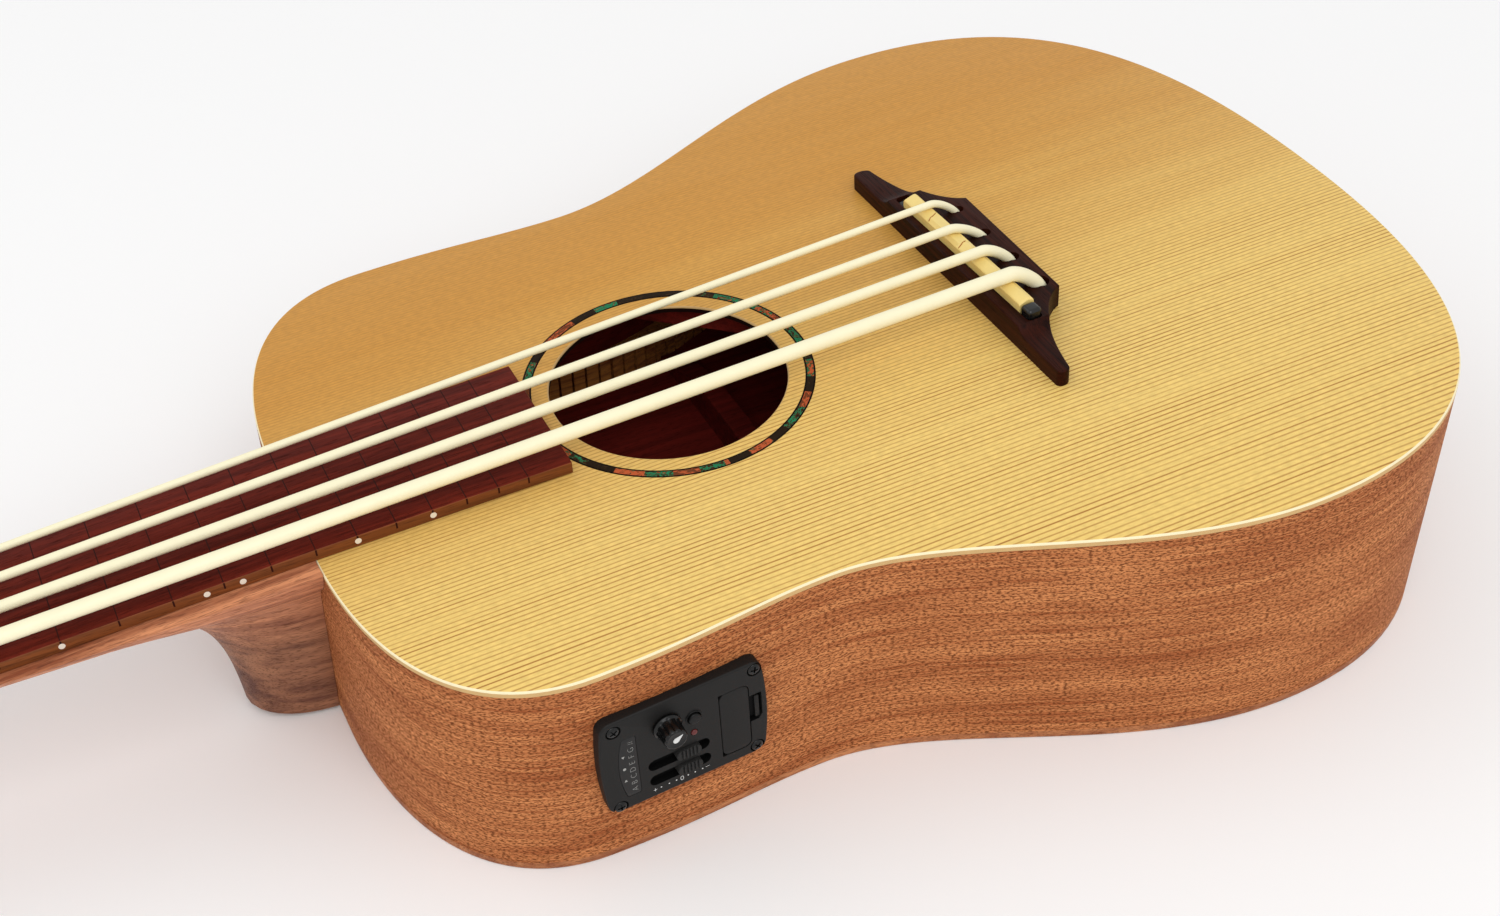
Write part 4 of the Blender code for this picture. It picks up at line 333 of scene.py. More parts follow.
# Open-pored woods. Each has its pale and dark colour, a factor for each, the axis that its grain
# runs along, its streaks' width in mm, its pores (width and length in mm, threshold, darkness),
# roughness and specular level. Where grain is finer than the render can show, it is drawn coarser.
WOODS = {
    # Bent sapele under satin varnish: grain round the rim, dense with short dark pores
    "side": ("sapele_side_satin", "body_pale", "body_dark", (1, 1), "rim", 1.0,
             (0.5, 1.3, 0.46, 0.85), 0.6, 0.1),
    # Flat-sawn sapele of the back: grain to the headstock
    "back": ("sapele_back_satin", "body_pale", "body_dark", (0.8, 0.75), "Y", 2.2,
             (0.42, 4, 0.5, 0.5), 0.45, 0.3),
    # Red-brown stain on the bare wood inside the box: matt, nearly lightless
    "inside": ("stained_inside_matt", "inside", "inside", (1, 0.5), "Y", 2.2,
               (0.4, 4, 0.55, 0.4), 0.8, 0.15),
    # Carved mahogany, satin: long brown streaks and fine open pores; its last entry paints shade by height,
    # darker toward the heel's foot and brighter toward the fretboard
    "neck": ("mahogany_neck_satin", "neck_pale", "neck_dark", (1, 1), "Y", 3.4,
             (0.4, 5, 0.52, 0.5), 0.42, 0.3,
             (47, 77, 0.58, 1.45)),
    # Oiled dark red-brown fingerboard: tight streaks, low sheen
    "board": ("rosewood_board_oiled", "board_pale", "board_dark", (1, 1), "Y", 1.6,
              (0.35, 6, 0.57, 0.55), 0.5, 0.06),
    # The fingerboard's planed side, lighter than its played face
    "board_side": ("rosewood_side_oiled", "board_side", "board_side", (1, 0.5), "Y", 1.4,
                   (0.35, 6, 0.57, 0.55), 0.5, 0.2),
    # Dark rosewood bridge, buffed: nearly black with brown streaks across the body
    "bridge": ("rosewood_bridge_buffed", "bridge_pale", "bridge_dark", (1, 1), "X", 1.2,
               (0.35, 6, 0.57, 0.5), 0.42, 0.06),
    # Kerfed lining strips in reddish softwood, matt from the saw
    "lining": ("lining_wood_sawn", "lining", "body_dark", (1, 0.8), "Y", 1.3,
               (0.3, 6, 0.6, 0.4), 0.85, 0.2),
}


def timber(name, pale, dark, factors, along, streak, pore, roughness, specular, height_shade=None):
    pale = tuple(c * factors[0] for c in paint(pale))
    dark = tuple(c * factors[1] for c in paint(dark))
    made, tree, shader = start_material(name, dark, roughness, specular)
    place = add(tree, "TexCoord").outputs["UV" if along == "rim" else "Object"]
    width, length, threshold, darkness = pore
    fields = []
    for across, run, detail in ((streak * 9, streak * 70, 2), (streak, streak * 50, 5), (width, length, 1)):
        scale = [1 / (across * MM)] * 3
        scale[1 if along == "Y" else 0] = 1 / (run * MM)
        spot = add(tree, "Mapping", {"Vector": place, "Scale": scale})
        noise = {"Vector": spot, "Scale": 1.0, "Detail": detail, "Roughness": 0.6}
        fields.append(add(tree, "TexNoise", noise))
    both = add(tree, "Math", {0: fields[0], 1: 0.6, 2: fields[1]}, operation="MULTIPLY_ADD")
    share = add(tree, "MapRange", {"Value": both, "From Min": 0.62, "From Max": 0.98})
    wood = add(tree, "Mix", {0: share, 6: pale, 7: dark}, data_type="RGBA")
    pits = add(tree, "MapRange", {"Value": fields[2], "From Min": threshold, "From Max": threshold + 0.14})
    sunk = add(tree, "Math", {0: pits, 1: darkness}, operation="MULTIPLY")
    shade = tuple(c * 0.35 for c in dark)
    colour = add(tree, "Mix", {0: sunk, 6: wood, 7: shade}, data_type="RGBA")
    if height_shade:
        # Painted shade: the colour's brightness follows the height measured square to the fretboard, darker
        # low on the heel where less light falls
        low, high, below, above = height_shade
        lean = NECK.to_3x3() @ Vector((0, 0, 1))
        height = add(tree, "VectorMath", {0: place, 1: lean}, operation="DOT_PRODUCT").outputs["Value"]
        strength = add(tree, "MapRange", {"Value": height, "From Min": low * MM, "From Max": high * MM,
                                          "To Min": below, "To Max": above})
        colour = add(tree, "HueSaturation", {"Color": colour, "Value": strength})
    gloss = add(tree, "MapRange", {"Value": pits, "To Min": roughness, "To Max": min(roughness + 0.25, 1)})
    bump = add(tree, "Bump", {"Height": pits, "Distance": 0.05 * MM, "Strength": 0.4}, invert=True)
    fill_inputs(tree, shader, {"Base Color": colour, "Roughness": gloss, "Normal": bump})
    return made


def quartered_top():
    """Satin-varnished quartered cedar: straight growth lines, wider set on the bass side; the ground is
    paler on the bass side and darker and warmer toward the treble side and the neck, partly its own tone and
    partly painted shade.
    """
    made, tree, shader = start_material("quartered_cedar_satin", paint("top_pale"), 0.45, 0.3)
    place = add(tree, "TexCoord").outputs["Object"]
    spot = add(tree, "SeparateXYZ", {"Vector": place})
    # The lines' count grows with X and a little with its square, so they close up to the treble
    closing = add(tree, "Math", {0: spot.outputs["X"], 1: 1.1, 2: 1.0}, operation="MULTIPLY_ADD")
    count = add(tree, "Math", {0: closing, 1: spot.outputs["X"]}, operation="MULTIPLY")
    slow = add(tree, "Math", {0: spot.outputs["Y"], 1: 0.025}, operation="MULTIPLY")
    where = add(tree, "CombineXYZ", {"X": count, "Y": slow})
    # Wave bands repeat every 2 pi / 20 of the scaled coordinate
    wave = {"Vector": where, "Scale": 0.314 / bpy.context.scene.ukulele_sizes.top_grain, "Distortion": 2.2,
            "Detail": 2.0, "Detail Scale": 0.4}
    lines = add(tree, "TexWave", wave, wave_type="BANDS", bands_direction="X", wave_profile="SIN")
    late = add(tree, "MapRange", {"Value": lines.outputs["Fac"], "From Min": 0.66, "From Max": 0.97})
    # Broad drift of colour: a random cloud of tone plus a straight gradient of painted shade, darker and
    # warmer toward the treble side and the neck
    cloud_at = add(tree, "Mapping", {"Vector": place, "Scale": (1 / (22 * MM), 1 / (140 * MM), 1)})
    cloud = add(tree, "TexNoise", {"Vector": cloud_at, "Scale": 1.0, "Detail": 2.0})
    across = add(tree, "Math", {0: spot.outputs["X"], 1: 6.2, 2: 0.32}, operation="MULTIPLY_ADD")
    along = add(tree, "Math", {0: spot.outputs["Y"], 1: 0.6, 2: across}, operation="MULTIPLY_ADD")
    drift_with_shade = add(tree, "Math", {0: cloud, 1: 0.3, 2: along}, operation="MULTIPLY_ADD")
    tone_and_shade = add(tree, "MapRange", {"Value": drift_with_shade}, interpolation_type="SMOOTHSTEP")
    ground = add(tree, "Mix", {0: tone_and_shade, 6: paint("top_pale"), 7: paint("top_warm_shaded")}, data_type="RGBA")
    uneven_at = add(tree, "Mapping", {"Vector": place, "Scale": (1 / (5 * MM), 1 / (120 * MM), 1)})
    uneven = add(tree, "TexNoise", {"Vector": uneven_at, "Scale": 1.0, "Detail": 3.0})
    strength = add(tree, "MapRange",
                   {"Value": uneven, "From Min": 0.3, "From Max": 0.7, "To Min": 0.42, "To Max": 0.98})
    fading = add(tree, "MapRange", {"Value": tone_and_shade, "To Min": 1.0, "To Max": 0.5})
    bold = add(tree, "Math", {0: strength, 1: fading}, operation="MULTIPLY")
    line_share = add(tree, "Math", {0: late, 1: bold}, operation="MULTIPLY")
    # Fine uneven grain between the lines, drawn coarse enough to show
    silk_at = add(tree, "Mapping", {"Vector": place, "Scale": (1 / (1.1 * MM), 1 / (2.6 * MM), 1)})
    silk = add(tree, "TexNoise", {"Vector": silk_at, "Scale": 1.0, "Detail": 3.0})
    shine = add(tree, "MapRange", {"Value": silk, "From Min": 0.3, "From Max": 0.7,
                                   "To Min": 0.9, "To Max": 1.08})
    flecked = add(tree, "HueSaturation", {"Color": ground, "Value": shine})
    colour = add(tree, "Mix", {0: line_share, 6: flecked, 7: paint("top_line")}, data_type="RGBA")
    sheen = add(tree, "MapRange", {"Value": uneven, "To Min": 0.38, "To Max": 0.55})
    bump = add(tree, "Bump", {"Height": line_share, "Distance": 0.03 * MM, "Strength": 0.3}, invert=True)
    fill_inputs(tree, shader, {"Base Color": colour, "Roughness": sheen, "Normal": bump})
    return made


def rosette_shell():
    """Abalone chips in black filler under varnish: green, red-brown and dark in turn."""
    made, tree, shader = start_material("abalone_inlay_varnished", linear("2F4A3C"), 0.55, 0.04)
    place = add(tree, "TexCoord").outputs["UV"]
    spot = add(tree, "SeparateXYZ", {"Vector": place})
    run = add(tree, "Math", {0: spot.outputs["X"], 1: 8.5 * MM}, operation="DIVIDE")
    chip = add(tree, "TexVoronoi", {"W": run, "Scale": 1.0, "Randomness": 0.7}, voronoi_dimensions="1D")
    tone = add(tree, "SeparateColor", {"Color": chip.outputs["Color"]})
    swirl_at = add(tree, "Mapping", {"Vector": place, "Scale": (1 / (2.2 * MM), 1 / (1.2 * MM), 1)})
    swirl = add(tree, "TexNoise", {"Vector": swirl_at, "Scale": 1.0, "Detail": 3.0, "Distortion": 1.5})
    mixed = add(tree, "Math", {0: swirl, 1: 1.1, 2: -0.55}, operation="MULTIPLY_ADD")
    pick = add(tree, "Math", {0: tone.outputs[0], 1: mixed}, operation="ADD")
    layer = linear("241A10")
    # Each colour takes over where the chip's own value passes its level
    shades = ((0.25, "3C2A18"), (0.42, "237A52"), (0.58, "4A3018"), (0.66, "BC5A34"), (0.86, "6A3A22"))
    for level, shade in shades:
        share = add(tree, "MapRange", {"Value": pick, "From Min": level, "From Max": level + 0.05})
        layer = add(tree, "Mix", {0: share, 6: layer, 7: linear(shade)}, data_type="RGBA")
    # Black filler lines along both edges of the ring
    centred = add(tree, "Math", {0: spot.outputs["Y"], 1: ROSETTE_WIDTH / 2}, operation="SUBTRACT")
    offset = add(tree, "Math", {0: centred}, operation="ABSOLUTE")
    rim = add(tree, "MapRange", {"Value": offset, "From Min": 1.0 * MM, "From Max": 1.08 * MM})
    colour = add(tree, "Mix", {0: rim, 6: layer, 7: linear("0E0907")}, data_type="RGBA")
    fill_inputs(tree, shader, {"Base Color": colour})
    return made


# Cast and sawn pale materials that show a faint cloud: colour, second colour's factor, the
# cloud's size in mm, roughness and specular level
CLOUDED = {
    # Sanded edge of the soundboard: pale bare wood brightened to a painted highlight where the rounded edge
    # catches light, a little less glossy than its face
    "top_edge": ("sanded_cedar_edge", "top_edge", 0.9, 7, 0.5, 0.3),
    # The soundboard's sawn side under its sanded edge: a darker tan
    "top_side": ("sawn_cedar_side", "D6B077", 0.85, 4, 0.6, 0.2),
    # Moulded cream composite of the saddle and nut, polished
    "bone": ("cream_composite_polished", "bone", 0.82, 6, 0.38, 0.4),
    # Extruded polyurethane string: cream and waxy
    "string": ("polyurethane_string", "string", 0.92, 6, 0.45, 0.4),
}


def clouded(name, colour, factor, size, roughness, specular):
    colour = paint(colour)
    made, tree, shader = start_material(name, colour, roughness, specular)
    place = add(tree, "TexCoord").outputs["Object"]
    cloud = add(tree, "TexNoise", {"Vector": place, "Scale": 1 / (size * MM), "Detail": 3.0})
    second = tuple(c * factor for c in colour)
    blend = add(tree, "Mix", {0: cloud, 6: colour, 7: second}, data_type="RGBA")
    gloss = add(tree, "MapRange", {"Value": cloud, "To Min": roughness - 0.08, "To Max": roughness + 0.08})
    fill_inputs(tree, shader, {"Base Color": blend, "Roughness": gloss})
    return made


# Moulded, printed and turned parts with a fine grain: colour, roughness, grit and relief in mm,
# spread of the roughness and specular level
GRAINED = {
    # Matt black ABS of the preamp, spark-eroded. The grit is drawn coarse enough to show
    "housing": ("abs_housing_grained", "housing", 0.5, 0.35, 0.02, 0.08, 0.2),
    # Painted shade on the sound hole's sawn wall: black-brown, as the wall lies in shadow
    "hole_wall_painted_shade": ("dark_stain_matt", "1A0A07", 0.8, 0.4, 0.006, 0.06, 0.05),
    # Painted shade: black inside the slots and wells, where little light reaches
    "recess": ("abs_recess_black", "070707", 0.7, 0.4, 0.02, 0.08, 0.1),
    # Polished black ABS knob: sharp small highlights on its ribs
    "knob": ("abs_knob_polished", "knob", 0.22, 0.8, 0.004, 0.06, 0.3),
    # The tuner button and its ring: dark moulded plastic with a soft gloss
    "button": ("abs_button_gloss", "0C0C0C", 0.4, 0.8, 0.004, 0.06, 0.2),
    # Heat-shrink ends of the pickup under the saddle: glossy black
    "pickup": ("heatshrink_gloss", "0D0D0D", 0.24, 1.2, 0.006, 0.06, 0.4),
    # Grey-black rubber of the slider caps and button, dull
    "grip": ("rubber_grip_matt", "grip", 0.68, 0.25, 0.02, 0.08, 0.3),
    # Pad-printed ink, flat light grey
    "mark": ("printed_ink", "print", 0.6, 0.3, 0.003, 0.08, 0.5),
    # Fine grey ink behind the window
    "letter": ("window_ink", "A2A29E", 0.6, 0.3, 0.003, 0.08, 0.3),
    # Painted shade along the steps of the saddle's crest: brown lines
    "cut": ("saw_cut_brown", "A86C30", 0.7, 0.5, 0.01, 0.08, 0.2),
    # Thin dark veneer in the note lines, a little darker than the board
    "line": ("veneer_line", "2E0F09", 0.6, 0.5, 0.01, 0.08, 0.1),
    # White plastic rod, sanded flush, in the fretboard's side
    "dot": ("dot_rod_white", "EDE6D6", 0.4, 0.6, 0.004, 0.08, 0.5),
    # Smoked acrylic of the display window, close to its housing
    "window": ("acrylic_window_smoked", "1C1B1B", 0.4, 2, 0.003, 0.04, 0.25),
    # Tinted red lamp lens, unlit
    "lamp": ("acrylic_lamp_red", "lamp", 0.2, 1, 0.002, 0.04, 0.5),
}


def grained(name, colour, roughness, grit, relief, spread, specular):
    made, tree, shader = start_material(name, paint(colour), roughness, specular)
    place = add(tree, "TexCoord").outputs["Object"]
    grain = add(tree, "TexNoise", {"Vector": place, "Scale": 1 / (grit * MM), "Detail": 3.0})
    bump = add(tree, "Bump", {"Height": grain, "Distance": relief * MM, "Strength": 0.4})
    gloss = add(tree, "MapRange", {"Value": grain, "To Min": roughness - spread,
                                   "To Max": roughness + spread})
    fill_inputs(tree, shader, {"Roughness": gloss, "Normal": bump})
    return made


def plated_metal():
    """Nickel-plated steel: bright with faint handling haze."""
    made, tree, shader = start_material("nickel_plate", paint("metal"), 0.22, metallic=1.0)
    place = add(tree, "TexCoord").outputs["Object"]
    haze = add(tree, "TexNoise", {"Vector": place, "Scale": 1 / (3 * MM), "Detail": 4.0})
    gloss = add(tree, "MapRange", {"Value": haze, "To Min": 0.14, "To Max": 0.34})
    fill_inputs(tree, shader, {"Roughness": gloss})
    return made


MADE = {}


def material(key):
    """The finish of this name, made once."""
    if key not in MADE:
        if key in WOODS:
            MADE[key] = timber(*WOODS[key])
        elif key in CLOUDED:
            MADE[key] = clouded(*CLOUDED[key])
        elif key in GRAINED:
            MADE[key] = grained(*GRAINED[key])
        else:
            MADE[key] = {"top": quartered_top, "rosette": rosette_shell, "metal": plated_metal}[key]()
    return MADE[key]


# Shapes


def shape_of(name, bm):
    bmesh.ops.remove_doubles(bm, verts=bm.verts, dist=0.0005 * MM)
    bmesh.ops.recalc_face_normals(bm, faces=bm.faces)
    mesh = bpy.data.meshes.new(name)
    bm.to_mesh(mesh)
    bm.free()
    return mesh


def dress(name, mesh, place, keys, body="instrument", replaced=(), sharp=35):
    """Puts a finished mesh in the scene: its place in its mesh, its finishes and body."""
    moved(mesh, place)
    for key in keys:
        mesh.materials.append(material(key))
    mesh.shade_smooth()
    mesh.set_sharp_from_angle(angle=math.radians(sharp))
    made = linked(name, mesh)
    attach(made, body)
    if replaced:
        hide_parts(*replaced)


def linked(name, data):
    made = bpy.data.objects.new(name, data)
    bpy.context.scene.collection.objects.link(made)
    return made


def taken(drawn, *others):
    """The mesh that an object shows with its modifiers. The objects are removed."""
    found = drawn.evaluated_get(bpy.context.evaluated_depsgraph_get())
    mesh = bpy.data.meshes.new_from_object(found)
    for item in (*others, drawn):
        bpy.data.objects.remove(item, do_unlink=True)
    return mesh


def carve(mesh, tools, operation="DIFFERENCE"):
    """A mesh cut by or joined to others that lie in the same frame."""
    base = linked("carved", mesh)
    used = [linked("tool", tool) for tool in tools]
    for other in used:
        change = base.modifiers.new("change", "BOOLEAN")
        change.operation = operation
        change.solver = "EXACT"
        change.object = other
    return taken(base, *used)


def ring_of(bm, points):
    """A closed loop of edges through points."""
    verts = [bm.verts.new(point) for point in points]
    return [bm.edges.new((a, b)) for a, b in zip(verts, verts[1:] + verts[:1])]


def skin(bm, rings, caps=True):
    """Bridges closed loops in turn, and closes the ends."""
    loops = [ring_of(bm, ring) for ring in rings]
    for before, after in zip(loops, loops[1:]):
        bmesh.ops.bridge_loops(bm, edges=before + after)
    if caps:
        for loop in (loops[0], loops[-1]):
            bmesh.ops.edgeloop_fill(bm, edges=loop)
    return loops


def lofted(name, rings):
    bm = bmesh.new()
    skin(bm, rings)
    return shape_of(name, bm)


def fill(bm, loops):
    """A flat face inside the first loop and outside the others."""
    edges = [edge for loop in loops for edge in loop]
    bmesh.ops.triangle_fill(bm, edges=edges, use_beauty=True, normal=(0, 0, 1))


def quarter(edge, steps=4):
    """Insets and drops of a rounded edge, from its foot to its crown."""
    turns = [math.pi / 2 * k / steps for k in range(steps + 1)]
    return [(edge * (1 - math.cos(t)), edge * (1 - math.sin(t))) for t in turns]


def crowned(radius, top, edge, steps):
    """A profile's rounded upper edge, from its crown outwards."""
    return [(radius - inset, top - drop) for inset, drop in reversed(quarter(edge, steps))]


def domed(radius, foot, rise, steps=8):
    """A profile's dome, from its crown outwards."""
    turns = [math.pi / 2 * k / steps for k in range(steps + 1)]
    return [(radius * math.sin(t), foot + rise * math.cos(t)) for t in turns]


def in_mm(points):
    return [tuple(value * MM for value in point) for point in points]


def board(name, rules, low, high, edge, foot_edge=0.0, steps=4):
    """A flat plate with rounded edges. Each rule gives an outline at an inset; the first is outermost."""
    bm = bmesh.new()
    levels = [(0.0, low)]
    if foot_edge:
        levels = [(inset, low + drop) for inset, drop in reversed(quarter(foot_edge, steps))]
    if edge:
        levels += [(inset, high - drop) for inset, drop in quarter(edge, steps)]
    else:
        levels.append((0.0, high))
    ends = []
    for rule in rules:
        rings = [[(x, y, z) for x, y in rule(inset)] for inset, z in levels]
        loops = skin(bm, rings, caps=False)
        ends.append((loops[0], loops[-1]))
    fill(bm, [pair[0] for pair in ends])
    fill(bm, [pair[1] for pair in ends])
    return shape_of(name, bm)


def verts_of(geom):
    return [item for item in geom if isinstance(item, bmesh.types.BMVert)]


def raised(outline, low, height):
    """An outline extruded upwards."""
    bm = bmesh.new()
    loop = ring_of(bm, [(x, y, low) for x, y in outline])
    floor = bmesh.ops.edgeloop_fill(bm, edges=loop)["faces"]
    crown = bmesh.ops.extrude_face_region(bm, geom=floor)["geom"]
    bmesh.ops.translate(bm, verts=verts_of(crown), vec=(0, 0, height))
    return bm


def prism(name, outline, low, high):
    return shape_of(name, raised(outline, low, high - low))


def rod(x, y, radius, low, high, count):
    return prism("rod", circle(x, y, radius, count), low, high)


def block(name, low, high, edge=0.0, segments=3):
    size = Vector(high) - Vector(low)
    middle = (Vector(high) + Vector(low)) / 2
    bm = bmesh.new()
    place = Matrix.Translation(middle) @ Matrix.Diagonal((*size, 1))
    bmesh.ops.create_cube(bm, size=1, matrix=place)
    if edge:
        ease(bm, edge, segments)
    return shape_of(name, bm)


def ease(bm, width, segments=3, angle=30, among=None):
    """Rounds every edge that is sharper than an angle."""
    bmesh.ops.recalc_face_normals(bm, faces=bm.faces)
    limit = math.radians(angle)
    edges = [e for e in (among or bm.edges) if len(e.link_faces) == 2 and e.calc_face_angle(0) > limit]
    bmesh.ops.bevel(bm, geom=edges, offset=width, offset_type="OFFSET", affect="EDGES", segments=segments,
                    profile=0.5, material=-1, clamp_overlap=True)


def turned(name, profile, steps=48, along="Z"):
    """Spins (radius, height) points round an axis."""
    bm = bmesh.new()
    points = [bm.verts.new((radius, 0, level)) for radius, level in profile]
    edges = [bm.edges.new(pair) for pair in zip(points, points[1:])]
    bmesh.ops.spin(bm, geom=points + edges, axis=(0, 0, 1), cent=(0, 0, 0), angle=math.tau, steps=steps,
                   use_merge=True, use_duplicate=False)
    if along == "X":
        bmesh.ops.rotate(bm, verts=bm.verts, matrix=Matrix.Rotation(math.pi / 2, 3, "Y"), cent=(0, 0, 0))
    return shape_of(name, bm)


def joined(name, meshes):
    """Several meshes as one."""
    bm = bmesh.new()
    for mesh in meshes:
        bm.from_mesh(mesh)
    made = bpy.data.meshes.new(name)
    bm.to_mesh(made)
    bm.free()
    for mesh in meshes:
        bpy.data.meshes.remove(mesh)
    return made


def moved(mesh, place):
    mesh.transform(place)
    if place.determinant() < 0:
        mesh.flip_normals()
    return mesh


def tube(name, points, radius, sides=6):
    """A round tube along points, with capped ends."""
    curve = bpy.data.curves.new(name, "CURVE")
    curve.dimensions = "3D"
    curve.bevel_depth = radius
    curve.bevel_resolution = sides
    curve.use_fill_caps = True
    spline = curve.splines.new("POLY")
    spline.points.add(len(points) - 1)
    for point, place in zip(spline.points, points):
        point.co = (*place, 1)
    bm = bmesh.new()
    bm.from_mesh(taken(linked(name, curve)))
    return shape_of(name, bm)


def lettering(text, size, place, thin=0.0):
    """A mark set in the plane of place, centred on its origin."""
    curve = bpy.data.curves.new("mark", "FONT")
    curve.body = text
    curve.size = size
    curve.offset = -thin
    curve.align_x = "CENTER"
    curve.align_y = "CENTER"
    curve.extrude = 0.02 * MM
    curve.resolution_u = 4
    return moved(taken(linked("mark", curve)), place)


def circle(x, y, radius, count=96):
    turns = (math.tau * k / count for k in range(count))
    return [(x + radius * math.cos(t), y + radius * math.sin(t)) for t in turns]


def round_hole(x, y, radius, count=96):
    """A rule for a hole that grows as its edge is eased."""
    return lambda inset: circle(x, y, radius + inset, count)


def rounded(x, y, width, depth, radius, bow_right=0.0, bow_left=0.0, steps=8, inset=0.0):
    """A rectangle with round corners. A bow swells an end outwards by that much."""
    width -= 2 * inset
    depth -= 2 * inset
    radius = max(radius - inset, 0.02 * MM)
    half = depth / 2
    points = []
    for corner, (sx, sy) in enumerate(((1, 1), (-1, 1), (-1, -1), (1, -1))):
        bow = bow_right if sx > 0 else bow_left
        for step in range(steps + 1):
            turn = math.pi / 2 * (corner + step / steps)
            px = sx * (width / 2 - radius) + radius * math.cos(turn)
            py = sy * (half - radius) + radius * math.sin(turn)
            swell = bow_right if px > 0 else bow_left
            share = abs(px) / (width / 2)
            px += math.copysign(swell * share * (1 - (py / half) ** 2), px)
            points.append((x + px, y + py))
        if bow and corner in (1, 3):
            for part in range(1, 16):
                py = sy * (half - radius) * (1 - part / 8)
                px = sx * (width / 2 + bow * (1 - (py / half) ** 2))
                points.append((x + px, y + py))
    return points


# The body's outline


def set_in(line, inset):
    """The points of a line moved to its left."""
    found = []
    for k, point in enumerate(line):
        along = (line[min(k + 1, len(line) - 1)] - line[max(k - 1, 0)]).normalized()
        found.append((point.x - along.y * inset, point.y + along.x * inset))
    return found


def half_outline(inset=0.0, steps=FINE):
    """The treble half of the body, tail to neck, in the soundboard's plane."""
    lower = Vector((LOWER_BOUT / 2, TAIL_Y + TAIL_TO_LOWER_BOUT))
    waist = Vector((WAIST / 2, TAIL_Y + TAIL_TO_WAIST))
    upper = Vector((UPPER_BOUT / 2, TAIL_Y + TAIL_TO_UPPER_BOUT))
    tail = Vector((0, TAIL_Y))
    shoulder = Vector((NECK_FLAT / 2, JOINT_Y))
    up = Vector((0, 1))
    right = Vector((1, 0))
    spans = (
        (tail, tail + right * 0.42 * lower.x, lower - up * 0.90 * TAIL_TO_LOWER_BOUT, lower),
        (lower, lower + up * 0.395 * (waist - lower).y, waist - up * 0.285 * (waist - lower).y, waist),
        (waist, waist + up * 0.32 * (upper - waist).y, upper - up * 0.47 * (upper - waist).y, upper),
        (upper, upper + up * 0.91 * (JOINT_Y - upper.y), shoulder + right * 0.26 * (upper - shoulder).x,
         shoulder),
    )
    line = [tail]
    for start, handle, other, end in spans:
        line += interpolate_bezier(start, handle, other, end, steps + 1)[1:]
    line.append(Vector((0, JOINT_Y)))
    middle = set_in(line, inset)[1:-1]
    return [(line[0].x, line[0].y + inset), *middle, (line[-1].x, line[-1].y - inset)]


def whole_outline(inset=0.0):
    half = half_outline(inset)
    return half + [(-x, y) for x, y in reversed(half[1:-1])]


def on_back(points):
    """An outline of the soundboard's plane at the level of the back."""
    lean = math.cos(TAPER)
    return [(x, (y - BODY_MIDDLE) * lean) for x, y in points]


def envelope(margin):
    """A tall solid round the body, which cuts what would stand in it."""
    return prism("envelope", on_back(whole_outline(-margin)), -20 * MM, 140 * MM)


def below_top(depth):
    """A rule for the height, at a world Y, of a plane this far under the soundboard's face."""
    start = TOP.translation
    return lambda y: start.z - (y - start.y) * math.tan(TAPER) - depth / math.cos(TAPER)


def preamp_place():
    """The preamp's frame: X to the tail, Y up, Z outwards."""
    line = half_outline(steps=10)

    def width_at(y):
        for (x1, y1), (x2, y2) in zip(line, line[1:]):
            if min(y1, y2) <= y <= max(y1, y2) and y2 > TAIL_Y + TAIL_TO_WAIST / 2:
                return x1 + (x2 - x1) * (y - y1) / (y2 - y1)
        return UPPER_BOUT / 2

    near = width_at(PREAMP_Y - PREAMP_LENGTH / 2)
    far = width_at(PREAMP_Y + PREAMP_LENGTH / 2)
    swing = math.atan2(far - near, PREAMP_LENGTH)
    bulge = max(
        width_at(PREAMP_Y + PREAMP_LENGTH * k / 20) - near - (far - near) * (k / 20 + 0.5)
        for k in range(-10, 11)
    )
    turn = Euler((math.pi / 2, 0, -math.pi / 2 + swing)).to_matrix().to_4x4()
    on_wall = (-(near + far) / 2 - bulge - GAP, PREAMP_Y, PREAMP_LEVEL)
    return TOP @ Matrix.Translation(on_wall) @ turn


PREAMP = preamp_place()
JACK = Matrix.Translation(
    (0, (TAIL_Y - BODY_MIDDLE) * math.cos(TAPER), DEPTH_AT_TAIL / 2)
) @ Matrix.Rotation(math.pi / 2, 4, "X")


def string_x(index, spread):
    return spread * (index / 3 - 0.5)


def saddle_line(x):
    return SADDLE_Y + x * math.tan(SADDLE_SLANT)


def string_holes():
    """X, Y and radius of the four holes through bridge and soundboard."""
    found = []
    for index, diameter in enumerate(STRING_DIAMETERS):
        x = string_x(index, SPREAD_AT_SADDLE)
        found.append((x, saddle_line(x) - HOLES_BEHIND_SADDLE, diameter / 2 + 0.4 * MM))
    return found


def string_bend(index, count):
    """A string's line from its hole in the bridge over to the saddle, in the soundboard's frame."""
    x, hole_y, _ = string_holes()[index]
    start = Vector((x, hole_y, BRIDGE_TOP - BEND_UNDER_BRIDGE_TOP))
    over = CREST + GAP + STRING_DIAMETERS[index] / 2
    end = Vector((x, saddle_line(x) + CREST_SHIFTS[index], over))
    rise = start + Vector((0, 0, BEND_REACH))
    return interpolate_bezier(start, rise, end - Vector((0, BEND_REACH, 0)), end, count)


def board_half_width(y):
    """Half the fretboard's width at a distance from the scale's end."""
    share = (SCALE_LENGTH - y) / (SCALE_LENGTH - FRETBOARD_END)
    return (WIDTH_AT_NUT + (WIDTH_AT_END - WIDTH_AT_NUT) * share) / 2


def note_y(number):
    """Where a note's line stands, from the scale's end."""
    return SCALE_LENGTH * 2 ** (-number / 12)


# The posts' places on the head, in the strings' order
POSTS = ((-POST_SPACING / 2, LOW_POST), (-POST_SPACING / 2, HIGH_POST),
         (POST_SPACING / 2, HIGH_POST), (POST_SPACING / 2, LOW_POST))


# Operators


